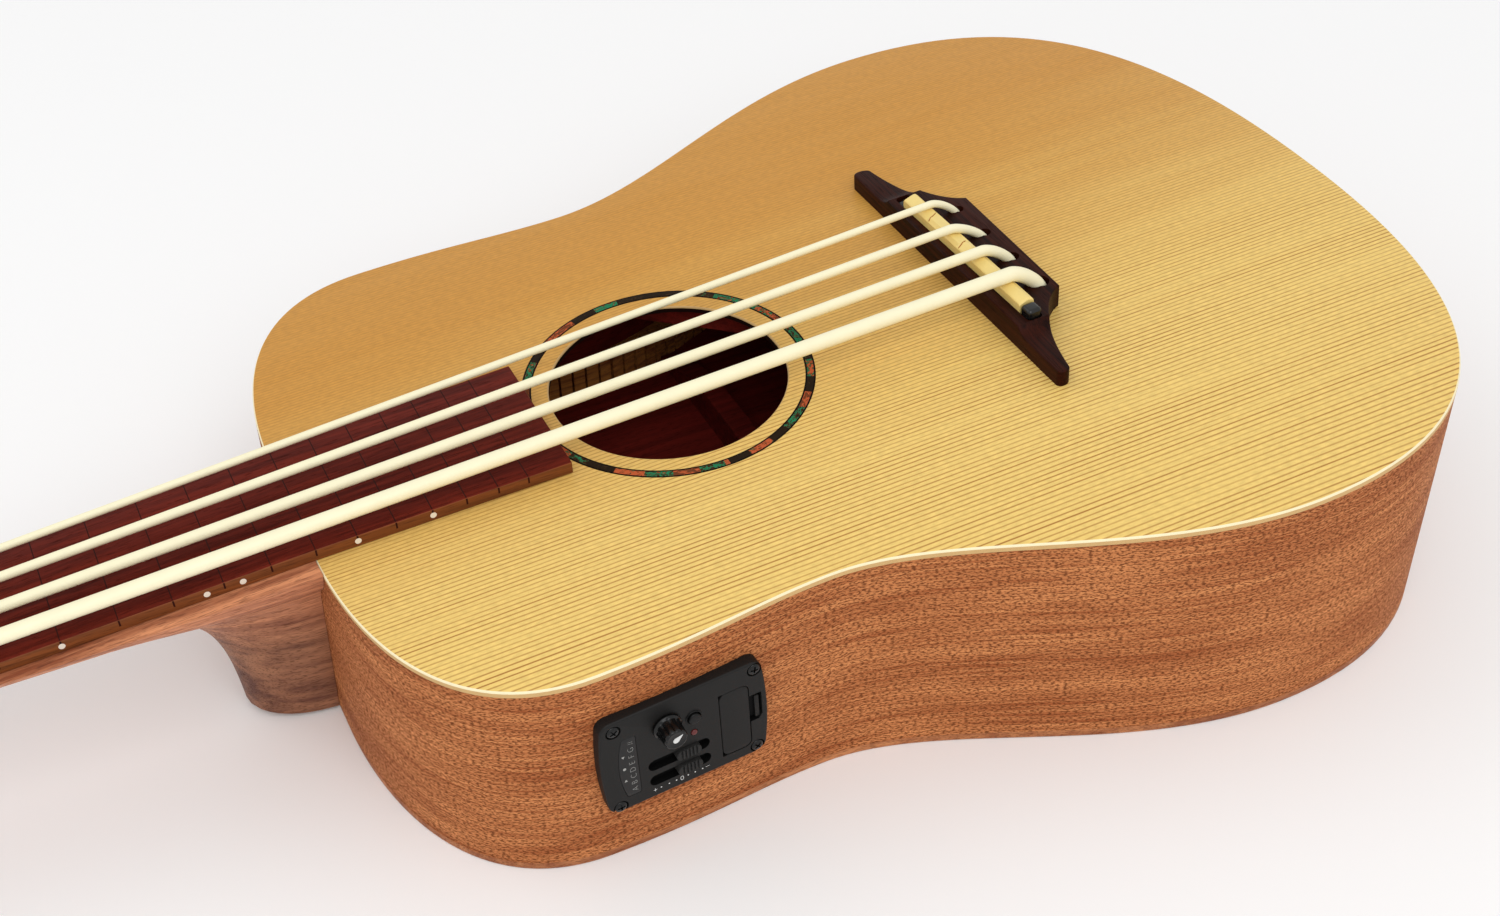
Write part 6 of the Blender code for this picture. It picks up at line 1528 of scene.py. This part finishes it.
class UKULELE_OT_machines(bpy.types.Operator):
    """Builds the four tuning machines: plates, keys with worms, posts with wheels, bushings"""

    bl_idname = "ukulele.machines"
    bl_label = "Tuning machines"

    def execute(self, context):
        for name, (x, y) in zip(STRING_NAMES, POSTS):
            hand = math.copysign(1, x)
            base = HEAD @ Matrix.Translation((x, y, HEAD_BACK))
            self.build_plate(name, base)
            self.build_post(name, base @ Matrix.Translation((0, 0, -AXLE_DEPTH)), hand)
            axle = base @ Matrix.Translation((0, WORM_OFFSET, -AXLE_DEPTH))
            self.build_key(name, axle, hand)
            self.build_bushing(name, HEAD @ Matrix.Translation((x, y, 0)))
        return {"FINISHED"}

    def build_plate(self, name, base):
        low = -GAP - PLATE_THICKNESS
        rules = [lambda inset: rounded(0, 3 * MM, 19 * MM, 27 * MM, 3 * MM, inset=inset),
                 round_hole(0, 0, POST_SHAFT + 0.4 * MM, 40)]
        parts = [board("plate", rules, low, -0.05 * MM, 0, 0.35 * MM)]
        ear_at = 1.5 * WORM_LEAD + 0.7 * MM + EAR_HALF
        for sign in (-1, 1):
            parts.append(moved(self.ear(low), Matrix.Translation((sign * ear_at, WORM_OFFSET, 0))))
        for sx, sy in ((-1, -8.2), (1, -8.2), (-1, 14.2), (1, 14.2)):
            place = Matrix.Translation((sx * 7.3 * MM, sy * MM, low + 0.05 * MM)) @ UPSIDE_DOWN
            parts.append(moved(screw_head(1.7 * MM, 0.9 * MM), place))
        dress(f"machine_base_{name}", joined("machine_base", parts), base, ["metal"],
              replaced=[f"machine_plate_{name}"])

    def ear(self, low):
        half = EAR_RADIUS
        centre = -AXLE_DEPTH

        def outline(inset):
            points = [(-half + inset, low + 0.3 * MM), (-half + inset, centre)]
            for k in range(1, 20):
                turn = math.pi + math.pi * k / 20
                points.append(((half - inset) * math.cos(turn), centre + (half - inset) * math.sin(turn)))
            return points + [(half - inset, centre), (half - inset, low + 0.3 * MM)]

        rules = [outline, round_hole(0, centre, 2.0 * MM, 32)]
        mesh = board("ear", rules, -EAR_HALF, EAR_HALF, 0.2 * MM, 0.2 * MM, 2)
        return moved(mesh, Matrix(((0, 0, 1, 0), (1, 0, 0, 0), (0, 1, 0, 0), (0, 0, 0, 1))))

    def build_post(self, name, post, hand):
        low = HEAD_BACK - AXLE_DEPTH
        top = FLANGE_TOP + POST_EXPOSED - low
        neck = FLANGE_TOP + GAP - low
        foot = -2.7 * MM
        profile = [(0, top), *crowned(POST_RADIUS, top, 0.8 * MM, 6)]
        profile += [(POST_RADIUS, neck), (POST_SHAFT, neck), (POST_SHAFT, foot + 0.3 * MM)]
        profile += [(POST_SHAFT - 0.3 * MM, foot), (0, foot)]
        groove = prism("groove", rounded(0, 0, 12 * MM, 1.6 * MM, 0.3 * MM), top - 2.6 * MM, top + 2 * MM)
        shaft = carve(turned("shaft", profile, 48), [groove])
        under = Matrix.Translation((0, 0, foot + 0.45 * MM)) @ UPSIDE_DOWN
        parts = [shaft, self.wheel(hand), moved(screw_head(2.3 * MM, 0.8 * MM), under)]
        dress(f"winding_post_{name}", joined("winding_post", parts), post, ["metal"], body=f"post_{name}",
              replaced=[f"post_{name}"])

    def wheel(self, hand):
        """A worm wheel whose teeth lean with the worm's thread."""
        outer = WHEEL_PITCH + 0.8 * MM
        root = WHEEL_PITCH - 1.1 * MM
        pitch = math.tau / WHEEL_TEETH
        slope = WORM_LEAD / (math.tau * WORM_PITCH)
        rings = []
        for k in range(5):
            level = -1.5 * MM + 3 * MM * k / 4
            twist = slope * level / WHEEL_PITCH
            ring = []
            for tooth in range(WHEEL_TEETH):
                middle = math.pi / 2 + tooth * pitch + twist
                for share, radius in ((-0.26, root), (-0.17, root + 1.1 * MM), (-0.12, outer),
                                      (0.12, outer), (0.17, root + 1.1 * MM), (0.26, root)):
                    turn = middle + share * pitch
                    ring.append((hand * radius * math.cos(turn), radius * math.sin(turn), level))
            rings.append(ring)
        return lofted("wheel", rings)

    def worm(self, hand):
        crest = WORM_PITCH + 0.8 * MM
        root = WORM_PITCH - 1.0 * MM - 0.25 * MM
        rings = []
        for k in range(109):
            turn = math.tau * (k / 36 - 1.5)
            middle = WORM_LEAD * turn / math.tau
            ring = []
            for share, radius in ((-0.27, root), (-0.14, crest - 0.25 * MM), (-0.09, crest), (0.09, crest),
                                  (0.14, crest - 0.25 * MM), (0.27, root)):
                x = hand * (middle + share * WORM_LEAD)
                ring.append((x, radius * math.cos(turn), radius * math.sin(turn)))
            rings.append(ring)
        return lofted("worm", rings)

    def build_key(self, name, axle, hand):
        ear_out = 1.5 * WORM_LEAD + 2.0 * MM
        worm_half = 1.5 * WORM_LEAD + 0.3 * MM
        root = WORM_PITCH - 1.0 * MM
        shaft = SHAFT_RADIUS
        collar = 2.9 * MM
        outer = KEY_REACH + 7 * MM
        tip = -ear_out - 1.2 * MM
        profile = [(0, outer), (collar, outer), (collar, KEY_REACH - 1.6 * MM)]
        profile += [(collar - 0.4 * MM, KEY_REACH - 2 * MM), (shaft, KEY_REACH - 2.6 * MM), (shaft, ear_out)]
        profile += [(root, worm_half), (root, -worm_half), (shaft, -worm_half - 0.1 * MM)]
        profile += [(shaft, tip + 0.3 * MM), (shaft - 0.3 * MM, tip), (0, tip)]
        body = turned("shaft", profile, 36, "X")
        if hand < 0:
            body = moved(body, Matrix.Diagonal((-1, 1, 1, 1)))
        dress(f"tuning_key_{name}", joined("key", [body, self.worm(hand), self.button(hand)]), axle,
              ["metal"], body=f"key_{name}", replaced=[f"key_{name}"], sharp=40)

    def button(self, hand):
        """A flat oval button, thickest along its middle, with a rounded rim."""
        bm = bmesh.new()
        bmesh.ops.create_uvsphere(bm, u_segments=48, v_segments=24, radius=1)
        for vert in bm.verts:
            x, y, z = vert.co
            flat = math.copysign(abs(z) ** 0.62, z)
            vert.co = Vector((x * BUTTON_SIZE.x / 2, y * BUTTON_SIZE.y / 2, flat * BUTTON_SIZE.z / 2 * 0.98))
        mesh = shape_of("button", bm)
        return moved(mesh, Matrix.Translation((hand * (KEY_REACH + BUTTON_SIZE.x / 2), 0, 0)))

    def build_bushing(self, name, place):
        top = HEADPLATE_THICKNESS + 0.05 * MM
        inner = POST_SHAFT + GAP
        outer = 4.4 * MM
        low = -7 * MM
        profile = [(inner, FLANGE_TOP), *crowned(FLANGE_RADIUS, FLANGE_TOP, 0.6 * MM, 5)]
        profile += [(FLANGE_RADIUS, top), (outer, top), (outer, low), (inner, low), (inner, FLANGE_TOP)]
        dress(f"bushing_ring_{name}", turned("bushing_ring", profile, 48), place, ["metal"],
              replaced=[f"bushing_{name}"])


def screw_head(radius, height):
    """A low domed head with a cross recess. Its top points along +Z."""
    profile = domed(radius, 0.35 * height, 0.65 * height) + [(radius, -0.4 * MM), (0, -0.4 * MM)]
    head = turned("screw", profile, 32)
    slots = []
    for turn in (0, math.pi / 2):
        slot = block("slot", (-radius * 0.62, -radius * 0.13, height * 0.25),
                     (radius * 0.62, radius * 0.13, height * 2))
        slots.append(moved(slot, Matrix.Rotation(turn, 4, "Z")))
    return carve(head, slots)


class UKULELE_OT_preamp(bpy.types.Operator):
    """Builds the preamp's housing, its marks, window and lamp"""

    bl_idname = "ukulele.preamp"
    bl_label = "Preamp"

    def execute(self, context):
        self.build_housing(context.scene.ukulele_sizes.plate_edge)
        self.build_screws()
        self.build_marks()
        self.build_window()
        self.build_lamp()
        return {"FINISHED"}

    def build_housing(self, edge):
        face = PREAMP_FACE
        above = face + 1 * MM
        rules = [lambda inset: rounded(0, 0, PREAMP_LENGTH, PREAMP_HEIGHT, 3 * MM, 1.5 * MM, 1.5 * MM,
                                       inset=inset)]
        mesh = moved(board("plate", rules, -6 * MM, face, edge), PREAMP)
        mesh = moved(carve(mesh, [envelope(0.05 * MM)]), PREAMP.inverted())
        rear = face - 1 * MM
        main = block("box", (-19.2 * MM, -14.4 * MM, -13 * MM), (21.2 * MM, 14.2 * MM, rear))
        bay = block("bay", (11.0 * MM, -14.4 * MM, CELL_FLOOR - 1.6 * MM),
                    (21.2 * MM, 14.2 * MM, rear - 0.5 * MM))
        mesh = carve(mesh, [main, bay], "UNION")
        wells = ((KNOB_AT, 2 * MM, 6 * MM, 32), (BUTTON_AT, 2.15 * MM, 3.4 * MM, 40),
                 (LAMP_AT, 1.15 * MM, 3 * MM, 32))
        tools = [rod(*spot, radius, face - depth, above, count) for spot, radius, depth, count in wells]
        for slot_y in SLOT_Y.values():
            slot = rounded(SLOT_X, slot_y, SLOT_LENGTH, SLOT_WIDTH, SLOT_WIDTH / 2 - 0.03 * MM, steps=12)
            tools.append(prism("slot", slot, face - 2.4 * MM, above))
            groove = rounded(SLOT_X, slot_y, 15.7 * MM, 1.8 * MM, 0.4 * MM)
            tools.append(prism("groove", groove, face - 7 * MM, face - 2 * MM))
        window = self.window_outline(0.2 * MM, 0.6 * MM)
        tools.append(prism("window", window, face - 1.1 * MM, above))
        x, y = COVER_AT
        wide, tall = COVER_SIZE
        shelf = face - COVER_THICKNESS - GAP
        recess = rounded(x, y, wide + 0.5 * MM, tall + 0.5 * MM, 2.45 * MM)
        tools.append(prism("recess", recess, shelf, above))
        left = x - wide / 2 - 0.25 * MM
        half = tall / 2 + 0.25 * MM
        # The cover's hinged edge swings through square corners
        for reach, level in ((2.5 * MM, face - 0.35 * MM), (1.35 * MM, above)):
            tools.append(block("hinge_room", (left, y - half, shelf), (left + reach, y + half, level)))
        near = x + wide / 2 - 1.7 * MM
        far = x + wide / 2 + LATCH_REACH + 0.7 * MM
        low = y + LATCH_ABOVE_COVER - 5 * MM
        high = y + LATCH_ABOVE_COVER + 5.6 * MM
        outline = [(near, low), (far - 1.2 * MM, low), (far, low + 1.6 * MM), (far, high), (near, high)]
        tools.append(prism("notch", outline, shelf - 1.1 * MM, above))
        tools.append(block("cells", (x - 3.7 * MM, y - 10.3 * MM, CELL_FLOOR),
                           (x + 3.7 * MM, y + 10.3 * MM, face)))
        tools += [rod(x, y, 2.35 * MM, face - 0.9 * MM, above, 40) for x, y in SCREWS]
        mesh = carve(mesh, tools)
        mesh.materials.clear()
        # Sunk faces inside the housing take the recess material's painted shade
        for part in mesh.polygons:
            sunk = part.center.z < face - 0.8 * MM
            inside = abs(part.center.x) < 24 * MM and abs(part.center.y) < 17.5 * MM
            part.material_index = 1 if sunk and inside else 0
        dress("preamp_case", mesh, PREAMP, ["housing", "recess"], replaced=["preamp_housing"],
              sharp=30)

    def window_outline(self, room, corner, inset=0.0):
        x, y = WINDOW_AT
        return rounded(x, y, 4.3 * MM + room, 23.7 * MM + room, corner, 0.0, 1.7 * MM, inset=inset)

    def build_screws(self):
        parts = []
        for k, spot in enumerate(SCREWS):
            turn = Matrix.Rotation(0.5 + k * 0.9, 4, "Z")
            place = Matrix.Translation((*spot, PREAMP_FACE - 0.6 * MM)) @ turn
            parts.append(moved(screw_head(1.95 * MM, 0.95 * MM), place))
        dress("preamp_screws", joined("preamp_screws", parts), PREAMP, ["knob"])

    def build_marks(self):
        """A plus, a nought and a minus with dots between them, and note letters in the window."""
        face = PREAMP_FACE + 0.01 * MM
        row = -15.5 * MM
        turn = Matrix.Rotation(math.pi, 4, "Z")
        marks = []
        for text, x in (("+", -10.9), ("0", -2.3), ("–", 6.0)):
            spot = Matrix.Translation((x * MM, row, face))
            marks.append(lettering(text, 2.6 * MM, spot @ turn, 0.04 * MM))
        for start, end, shares in ((-10.9, -2.3, (0.22, 0.52, 0.79)), (-2.3, 6.0, (0.24, 0.51, 0.80))):
            for share in shares:
                x = (start + (end - start) * share) * MM
                marks.append(rod(x, row, 0.22 * MM, face, face + 0.02 * MM, 20))
        dress("dial_marks", joined("dial_marks", marks), PREAMP, ["mark"])
        sideways = Matrix.Rotation(math.pi / 2, 4, "Z")
        letters = []
        for k, text in enumerate("ABCDEFG#"):
            y = WINDOW_AT[1] + (k - 3.5) * 2.75 * MM
            spot = Matrix.Translation((WINDOW_AT[0] + 0.4 * MM, y, face))
            letters.append(lettering(text, 2.7 * MM, spot @ sideways, 0.08 * MM))
        # An arrow, a dot and an arrow that point at the middle
        for offset, count, radius, turn in ((-5, 3, 0.6, 0), (0, 20, 0.5, 0), (5, 3, 0.6, -math.pi)):
            outline = [(y, x) for x, y in circle(0, 0, radius * MM, count)]
            spot = Matrix.Translation((WINDOW_AT[0] - 2.2 * MM, WINDOW_AT[1] + offset * MM, face))
            place = spot @ Matrix.Rotation(turn, 4, "Z")
            letters.append(moved(prism("symbol", outline, 0, 0.02 * MM), place))
        dress("note_letters", joined("note_letters", letters), PREAMP, ["letter"])

    def build_window(self):
        rules = [lambda inset: self.window_outline(0.0, 0.5 * MM, inset)]
        mesh = board("display_window", rules, PREAMP_FACE - 0.8 * MM, PREAMP_FACE, 0.12 * MM)
        dress("display_window", mesh, PREAMP, ["window"], replaced=["tuner_window"])

    def build_lamp(self):
        profile = domed(1.0 * MM, 0.05 * MM, 0.5 * MM)
        profile += [(1.0 * MM, -2.6 * MM), (0, -2.6 * MM)]
        place = PREAMP @ Matrix.Translation((*LAMP_AT, PREAMP_FACE))
        dress("lamp_lens", turned("lamp_lens", profile, 32), place, ["lamp"], replaced=["battery_lamp"])


class UKULELE_OT_controls(bpy.types.Operator):
    """Builds the volume knob, the two sliders and the tuner button"""

    bl_idname = "ukulele.controls"
    bl_label = "Controls"

    def execute(self, context):
        self.build_knob()
        for name, slot_y in SLOT_Y.items():
            self.build_cap(name, slot_y)
        self.build_button()
        return {"FINISHED"}

    def build_knob(self):
        """A skirt, a ribbed barrel that narrows upwards, and a dished top with a drop-shaped mark."""
        levels = ((0.3, 4.35, 0), (0.45, 4.5, 0), (0.95, 4.5, 0), (1.2, 4.35, 0), (1.4, 4.0, 0.04),
                  (1.75, 3.9, 0.09), (3.8, 3.76, 0.09), (5.7, 3.62, 0.09), (6.1, 3.5, 0.07),
                  (6.35, 3.25, 0.03), (6.42, 3.0, 0), (6.36, 2.75, 0), (6.28, 1.1, 0))
        count = 160
        rings = []
        for level, radius, flute in levels:
            ring = []
            for k in range(count):
                turn = math.tau * k / count
                depth = flute * (1 - abs(math.cos(5 * turn)) ** 0.7)
                r = radius * MM * (1 - depth)
                ring.append((r * math.cos(turn), r * math.sin(turn), level * MM))
            rings.append(ring)
        parts = [lofted("knob", rings), rod(0, 0, 1.6 * MM, -5 * MM, 1 * MM, 32)]
        place = PREAMP @ Matrix.Translation((*KNOB_AT, PREAMP_FACE))
        dress("volume_dial", joined("volume_dial", parts), place, ["knob"], body="volume_knob",
              replaced=["volume_knob"], sharp=50)
        # A round end just behind the middle, and straight sides to a point
        fat = 0.95 * MM
        reach = 2.7 * MM
        lean = math.acos(fat / reach)
        turns = [lean + (math.tau - 2 * lean) * k / 28 for k in range(29)]
        drop = [(fat * math.cos(t) - 0.2 * MM, fat * math.sin(t)) for t in turns] + [(reach - 0.2 * MM, 0)]
        mark = moved(prism("pointer", drop, 6.2 * MM, 6.4 * MM), Matrix.Rotation(math.radians(34), 4, "Z"))
        dress("volume_pointer", mark, place, ["mark"], body="volume_knob")

    def build_cap(self, name, slot_y):
        wide = SLOT_WIDTH - 0.5 * MM

        def rule(inset):
            return rounded(0, 0, 7.9 * MM, wide, wide / 2 - 0.03 * MM, steps=12, inset=inset)

        tools = []
        for k in (-2, -1, 0, 1, 2):
            x = k * 1.15 * MM
            tools.append(block("grip", (x - 0.3 * MM, -4 * MM, 0.55 * MM), (x + 0.3 * MM, 4 * MM, 3 * MM)))
        parts = [carve(board("cap", [rule], -2.1 * MM, 1.1 * MM, 0.35 * MM), tools),
                 block("stem", (-1.6 * MM, -0.5 * MM, -6 * MM), (1.6 * MM, 0.5 * MM, -1 * MM))]
        place = PREAMP @ Matrix.Translation((SLOT_X + 2.8 * MM, slot_y, PREAMP_FACE))
        dress(f"slider_cap_{name}", joined("slider_cap", parts), place, ["grip"], body=f"{name}_slider",
              replaced=[f"{name}_slider"])

    def build_button(self):
        radius = 1.9 * MM
        top = 1.0 * MM
        foot = -2.2 * MM
        profile = [(0, top), *crowned(radius, top, 0.5 * MM, 6), (radius, foot), (0, foot)]
        place = PREAMP @ Matrix.Translation((*BUTTON_AT, PREAMP_FACE))
        dress("tuner_key", turned("tuner_key", profile, 40), place, ["button"], body="tuner_button",
              replaced=["tuner_button"])
        ring = [(2.2, -0.1), (2.2, 0.18), (2.3, 0.28), (2.5, 0.28), (2.65, 0.15), (2.65, -0.1), (2.2, -0.1)]
        dress("tuner_ring", turned("tuner_ring", in_mm(ring), 48), place, ["button"])


class UKULELE_OT_battery(bpy.types.Operator):
    """Builds the battery cover and the two coin cells"""

    bl_idname = "ukulele.battery"
    bl_label = "Battery"

    def execute(self, context):
        x, y = COVER_AT
        wide, tall = COVER_SIZE
        face = PREAMP_FACE
        rules = [lambda inset: rounded(x, y, wide, tall, 2.2 * MM, inset=inset)]
        lid = board("lid", rules, face - COVER_THICKNESS, face, 0.18 * MM)
        # The latch: a low tongue, painted black as painted shade, that ends in a bar just under the face
        edge = x + wide / 2
        latch_y = y + LATCH_ABOVE_COVER
        near = latch_y - 4.3 * MM
        far = latch_y + 4.3 * MM
        low = face - COVER_THICKNESS - 0.8 * MM
        tongue = block("tongue", (edge - 1.2 * MM, near, low),
                       (edge + LATCH_REACH - 0.2 * MM, far, face - COVER_THICKNESS), 0.15 * MM)
        for part in tongue.polygons:
            part.material_index = 1
        bar = block("bar", (edge + 1.9 * MM, near, low),
                    (edge + LATCH_REACH, far, face - COVER_THICKNESS / 2 + 0.3 * MM), 0.25 * MM)
        dress("battery_lid", joined("battery_lid", [lid, tongue, bar]), PREAMP, ["housing", "recess"],
              body="battery_cover", replaced=["battery_cover"], sharp=30)
        for k, name in ((-1, "inner"), (1, "outer")):
            self.build_cell(name, (x + k * 1.75 * MM, y, CELL_FLOOR + GAP + CELL_RADIUS))
        return {"FINISHED"}

    def build_cell(self, name, spot):
        """A coin cell: a can with a rolled rim round a smaller cap."""
        profile = [(0, 1.6), (8.2, 1.6), (8.5, 1.45), (8.6, 1.0), (9.0, 0.95), (9.7, 1.0)]
        profile += [(10.0, 0.7), (10.0, -1.3), (9.7, -1.6), (0, -1.6)]
        dress(f"cell_can_{name}", turned("cell", in_mm(profile), 64, "X"),
              PREAMP @ Matrix.Translation(spot), ["metal"], replaced=[f"coin_cell_{name}"])


class UKULELE_OT_jack(bpy.types.Operator):
    """Builds the output jack in the tail"""

    bl_idname = "ukulele.jack"
    bl_label = "Output jack"

    def execute(self, context):
        profile = [(0, -27), (3.25, -27), (3.25, 2.9), (3.6, 3.3), (5.0, 3.3), (5.2, 3.0), (5.6, 3.0),
                   (5.8, 2.6), (7.4, 2.2), (8.0, 1.4), (8.0, 0.1), (5.9, 0.1), (5.9, -28.8), (5.7, -29),
                   (0, -29)]
        dress("jack_barrel", turned("jack_barrel", in_mm(profile), 64), JACK, ["metal"],
              replaced=["output_jack"])
        return {"FINISHED"}


class UKULELE_OT_stage(bpy.types.Operator):
    """Sets the floor, the studio light and the camera"""

    bl_idname = "ukulele.stage"
    bl_label = "Floor, light and camera"

    def execute(self, context):
        self.build_floor(context)
        self.build_world(context)
        self.build_lamps()
        self.build_camera(context)
        context.scene.view_settings.view_transform = "Standard"
        return {"FINISHED"}

    def build_floor(self, context):
        bm = bmesh.new()
        bmesh.ops.create_grid(bm, x_segments=8, y_segments=8, size=6)
        mesh = bpy.data.meshes.new("studio_floor")
        bm.to_mesh(mesh)
        bm.free()
        colour = context.scene.ukulele_colours.floor
        made, _, _ = start_material("floor_paper_matt", colour, 0.9)
        mesh.materials.append(made)
        linked("studio_floor", mesh)

    def build_world(self, context):
        """Even studio light, and a white backdrop where the camera or a reflection sees past the floor."""
        world = bpy.data.worlds.new("studio")
        context.scene.world = world
        world.use_nodes = True
        tree = world.node_tree
        path = add(tree, "LightPath")
        seen = add(tree, "Math", {0: path.outputs["Is Camera Ray"], 1: path.outputs["Is Glossy Ray"]},
                   operation="MAXIMUM")
        through = add(tree, "Math", {0: seen.outputs[0], 1: path.outputs["Is Transmission Ray"]},
                      operation="MAXIMUM")
        strength = add(tree, "MapRange", {"Value": through.outputs[0], "To Min": 0.7, "To Max": 1.0})
        shade = tree.nodes["Background"]
        shade.inputs["Color"].default_value = (1, 1, 1, 1)
        tree.links.new(strength.outputs[0], shade.inputs["Strength"])

    def build_lamps(self):
        """A broad soft key over the bass side, and a weak fill from the head."""
        for name, spot, size, power in LAMPS:
            lamp = bpy.data.lights.new(name, "AREA")
            lamp.shape = "SQUARE"
            lamp.size = size
            lamp.energy = power
            made = linked(name, lamp)
            made.location = spot
            direction = LAMP_AIM - Vector(spot)
            made.rotation_euler = direction.to_track_quat("-Z", "Y").to_euler()

    def build_camera(self, context):
        """The photograph's view: from the bass side of the neck, looking down on the top."""
        camera = bpy.data.cameras.new("camera")
        camera.sensor_width = SENSOR
        camera.lens = LENS
        camera.shift_x = SHIFT_X
        camera.clip_start = 0.01
        camera.clip_end = 50
        axes = Matrix((CAMERA_RIGHT, -CAMERA_DOWN, -CAMERA_FORWARD)).transposed().to_4x4()
        made = linked("camera", camera)
        made.matrix_world = TOP @ Matrix.Translation(CAMERA_SPOT) @ axes
        context.scene.camera = made


class UKULELE_PT_builder(bpy.types.Panel):
    """Lists the sizes, the colours and the pieces to build"""

    bl_label = "Bass Ukulele"
    bl_idname = "UKULELE_PT_builder"
    bl_space_type = "VIEW_3D"
    bl_region_type = "UI"
    bl_category = "Ukulele"

    def draw(self, context):
        for group in (context.scene.ukulele_sizes, context.scene.ukulele_colours):
            column = self.layout.column()
            for name in group.__annotations__:
                column.prop(group, name)
        column = self.layout.column()
        for operator in OPERATORS:
            column.operator(operator.bl_idname)


OPERATORS = (UKULELE_OT_soundboard, UKULELE_OT_back_and_sides, UKULELE_OT_inside, UKULELE_OT_bridge,
             UKULELE_OT_fretboard, UKULELE_OT_neck, UKULELE_OT_strings, UKULELE_OT_machines,
             UKULELE_OT_preamp, UKULELE_OT_controls, UKULELE_OT_battery, UKULELE_OT_jack, UKULELE_OT_stage)
CLASSES = (UkuleleSizes, UkuleleColours, *OPERATORS, UKULELE_PT_builder)


def register():
    for item in CLASSES:
        bpy.utils.register_class(item)
    bpy.types.Scene.ukulele_sizes = PointerProperty(type=UkuleleSizes)
    bpy.types.Scene.ukulele_colours = PointerProperty(type=UkuleleColours)


def unregister():
    del bpy.types.Scene.ukulele_colours
    del bpy.types.Scene.ukulele_sizes
    for item in reversed(CLASSES):
        bpy.utils.unregister_class(item)


def main():
    register()
    bpy.ops.ukulele.soundboard()
    bpy.ops.ukulele.back_and_sides()
    bpy.ops.ukulele.inside()
    bpy.ops.ukulele.bridge()
    bpy.ops.ukulele.fretboard()
    bpy.ops.ukulele.neck()
    bpy.ops.ukulele.strings()
    bpy.ops.ukulele.machines()
    bpy.ops.ukulele.preamp()
    bpy.ops.ukulele.controls()
    bpy.ops.ukulele.battery()
    bpy.ops.ukulele.jack()
    bpy.ops.ukulele.stage()
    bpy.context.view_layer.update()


if __name__ == "__main__":
    main()
